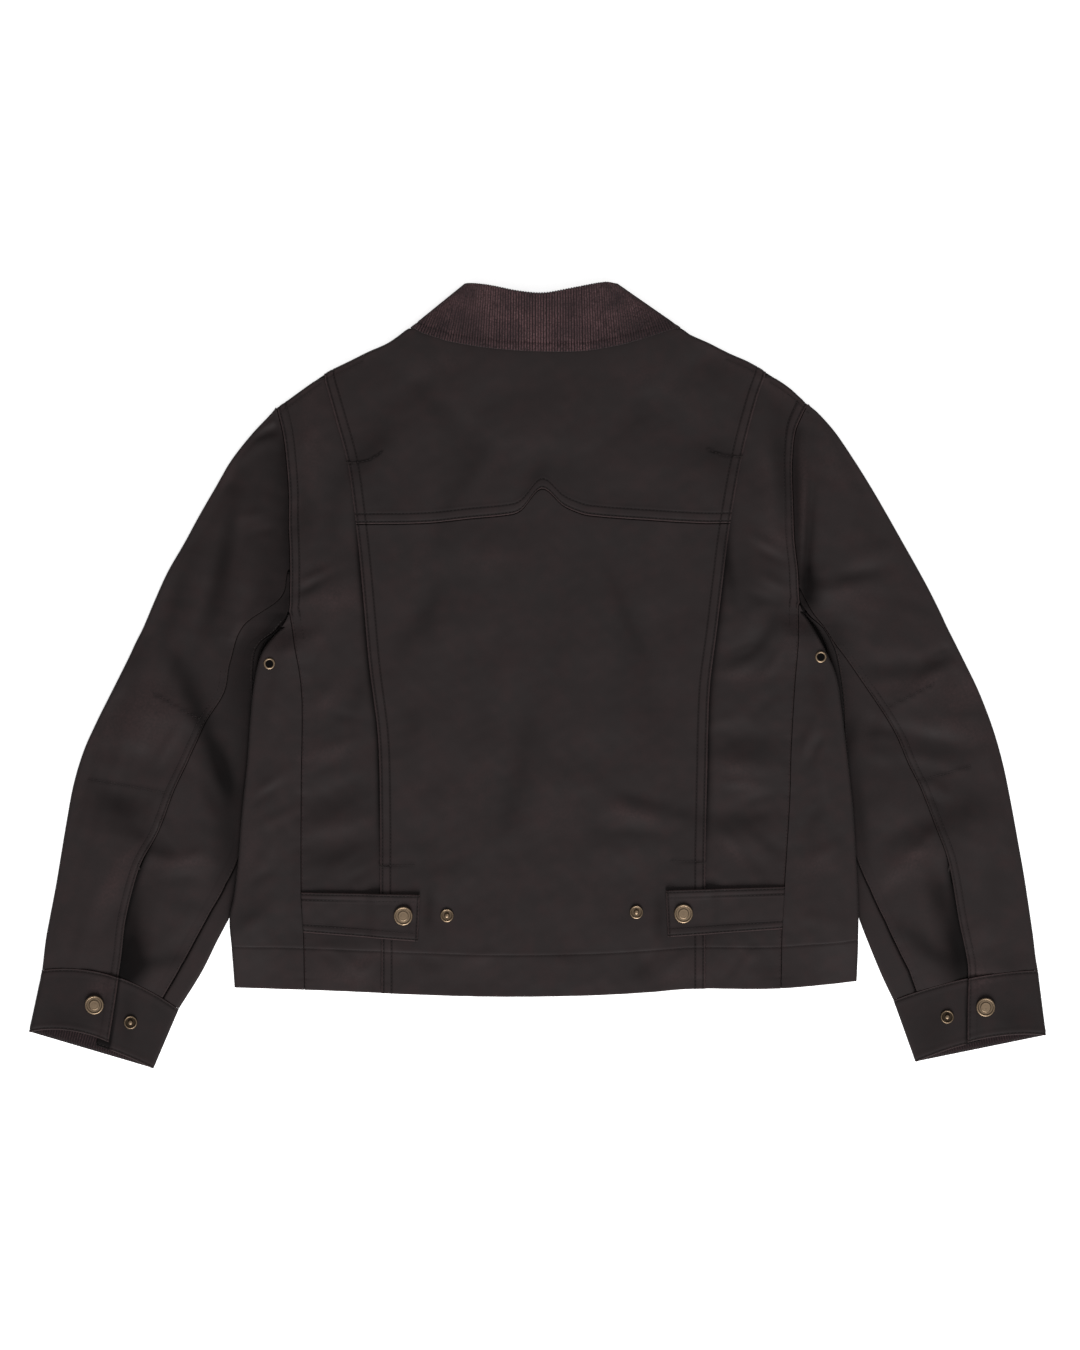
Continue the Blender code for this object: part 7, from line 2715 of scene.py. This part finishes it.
EYELET = Turned((
    (3.35, 0.35, 0.9), (3.55, 0.85, 0.3), (3.95, 1.12, 0), (4.5, 1.1, 0), (4.95, 0.75, 0.1),
    (5.2, 0.3, 0.5), (5.15, 0.0, 1), (3.8, 0.0, 1), (3.8, -2.2, 1), (3.35, -2.2, 1), (3.35, -0.8, 1)),
    closed=True)
# Dark cotton disc in the eyelet's hole: painted shadow, at full shade all over
EYELET_SHADOW_DISC = Turned(((0, 0.3, 1), (3.6, 0.3, 1), (3.6, 0.05, 1), (0, 0.05, 1)), segments=32)


@dataclass
class Metal:
    """Snap caps, snap studs and eyelet of one side."""

    shop: Workshop
    side: Side
    flap_top: float = 10.2
    cuff_top: float = 7.2

    def highest(self, height: Place, kind: str, radius: float) -> float:
        """Highest level of a surface under one of the side's round pieces.

        Args:
            height: The surface, as a function of x and y.
            kind: Which piece lies on it.
            radius: How far around the piece's middle it counts.

        Returns:
            The level.
        """
        half, y = getattr(self.side, kind)
        x, turns = self.side.sign * half, np.arange(8) * math.tau / 8
        xs = np.append(x + radius * np.cos(turns), x)
        ys = np.append(y + radius * np.sin(turns), y)
        return float(height(xs, ys).max())

    def make(self) -> None:
        """Build every piece."""
        side, finishes = self.side, self.shop.finishes
        for kind, shape, level in (
                ("tab_cap", CAP, self.highest(LAYERS.tab_height, "tab_cap", 6) + 0.2),
                ("hem_stud", STUD, self.highest(LAYERS.centre_height, "hem_stud", 5)),
                ("cuff_cap", CAP.tarnished(0.14), self.flap_top),
                ("cuff_stud", STUD.tarnished(0.3), self.cuff_top),
                ("eyelet", EYELET, self.highest(LAYERS.back_height, "eyelet", 5))):
            half, y = getattr(side, kind)
            node, place = f"{kind}_{side.name}", (side.sign * half, y, level)
            piece = add_piece(node + "_turned", shape.mesh(node + "_turned", place), finishes.brass)
            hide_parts(node)
        # a disc of painted shadow inside the eyelet
        shadow_disc = EYELET_SHADOW_DISC.mesh(f"eyelet_bore_{side.name}", place)
        add_piece(f"eyelet_bore_{side.name}", shadow_disc, finishes.cotton)


# Studio


@dataclass
class Studio:
    """Plain pale floor, soft light and the camera straight above."""

    lens: float = 85.0
    frame_height: float = 1215.0  # of what the picture takes in, in millimetres
    middle: tuple = (-4.5, 288.9)
    floor_reach: float = 6.0
    floor_level: float = -0.0005
    key: tuple = ((0.13, -4.0, 2.97), 2.45, 370)  # place and side in metres, and watts
    fill: tuple = ((1.2, 1.0, 2.4), 2.0, 12)
    sky: float = 0.4

    def make(self) -> None:
        """Build the floor, the lights and the camera."""
        mesh = bpy.data.meshes.new("floor")
        corners = [(x * self.floor_reach, y * self.floor_reach, self.floor_level)
                   for x, y in ((-1, -1), (1, -1), (1, 1), (-1, 1))]
        mesh.from_pydata(corners, [], [(0, 1, 2, 3)])
        mesh.materials.append(LitAcrylic().make())
        floor = bpy.data.objects.new("floor", mesh)
        bpy.context.scene.collection.objects.link(floor)
        self.light("key", *self.key)
        self.light("fill", *self.fill)
        world = bpy.data.worlds.new("studio")
        world.use_nodes = True
        background = world.node_tree.nodes["Background"].inputs
        background["Color"].default_value = (1, 1, 1, 1)
        background["Strength"].default_value = self.sky
        bpy.context.scene.world = world
        camera = bpy.data.cameras.new("camera")
        camera.lens, camera.sensor_width, camera.sensor_fit = self.lens, 36.0, "AUTO"
        away = self.frame_height * MM * self.lens / camera.sensor_width
        held = bpy.data.objects.new("camera", camera)
        x, y = self.middle
        held.location = ((x - CENTRE[0]) * MM, (y - CENTRE[1]) * MM, away)
        bpy.context.scene.collection.objects.link(held)
        bpy.context.scene.camera = held
        bpy.context.scene.view_settings.view_transform = "Standard"

    def light(self, name: str, place: tuple, size: float, watts: float) -> None:
        """Add a soft light that points at the jacket's middle.

        Args:
            name: Its name.
            place: Where it stands, in metres.
            size: Its side, in metres.
            watts: Its power.
        """
        lamp = bpy.data.lights.new(name, "AREA")
        lamp.shape, lamp.size, lamp.energy = "SQUARE", size, watts
        held = bpy.data.objects.new(name, lamp)
        held.location = place
        aim = -np.array(place)
        flat = math.hypot(aim[0], aim[1])
        held.rotation_euler = (math.atan2(flat, -aim[2]), 0, math.atan2(aim[1], aim[0]) - math.pi / 2)
        bpy.context.scene.collection.objects.link(held)


def main() -> None:
    """Build the jacket, report each piece and light it."""
    logging.basicConfig(level=logging.INFO, format="%(message)s", stream=sys.stdout)
    finishes = Finishes()
    shop = Workshop(finishes, Sewing(StitchTree(finishes.thread)), WaleTree(finishes.corduroy))
    parts = [CentreBack(shop), Collar(shop)]
    for side in SIDES:
        parts += [SideBody(shop, side), Sleeve(shop, side), Cuff(shop, side), WaistTab(shop, side),
                  Metal(shop, side)]
    for part in parts:
        part.make()
    Studio().make()


if __name__ == "__main__":
    main()
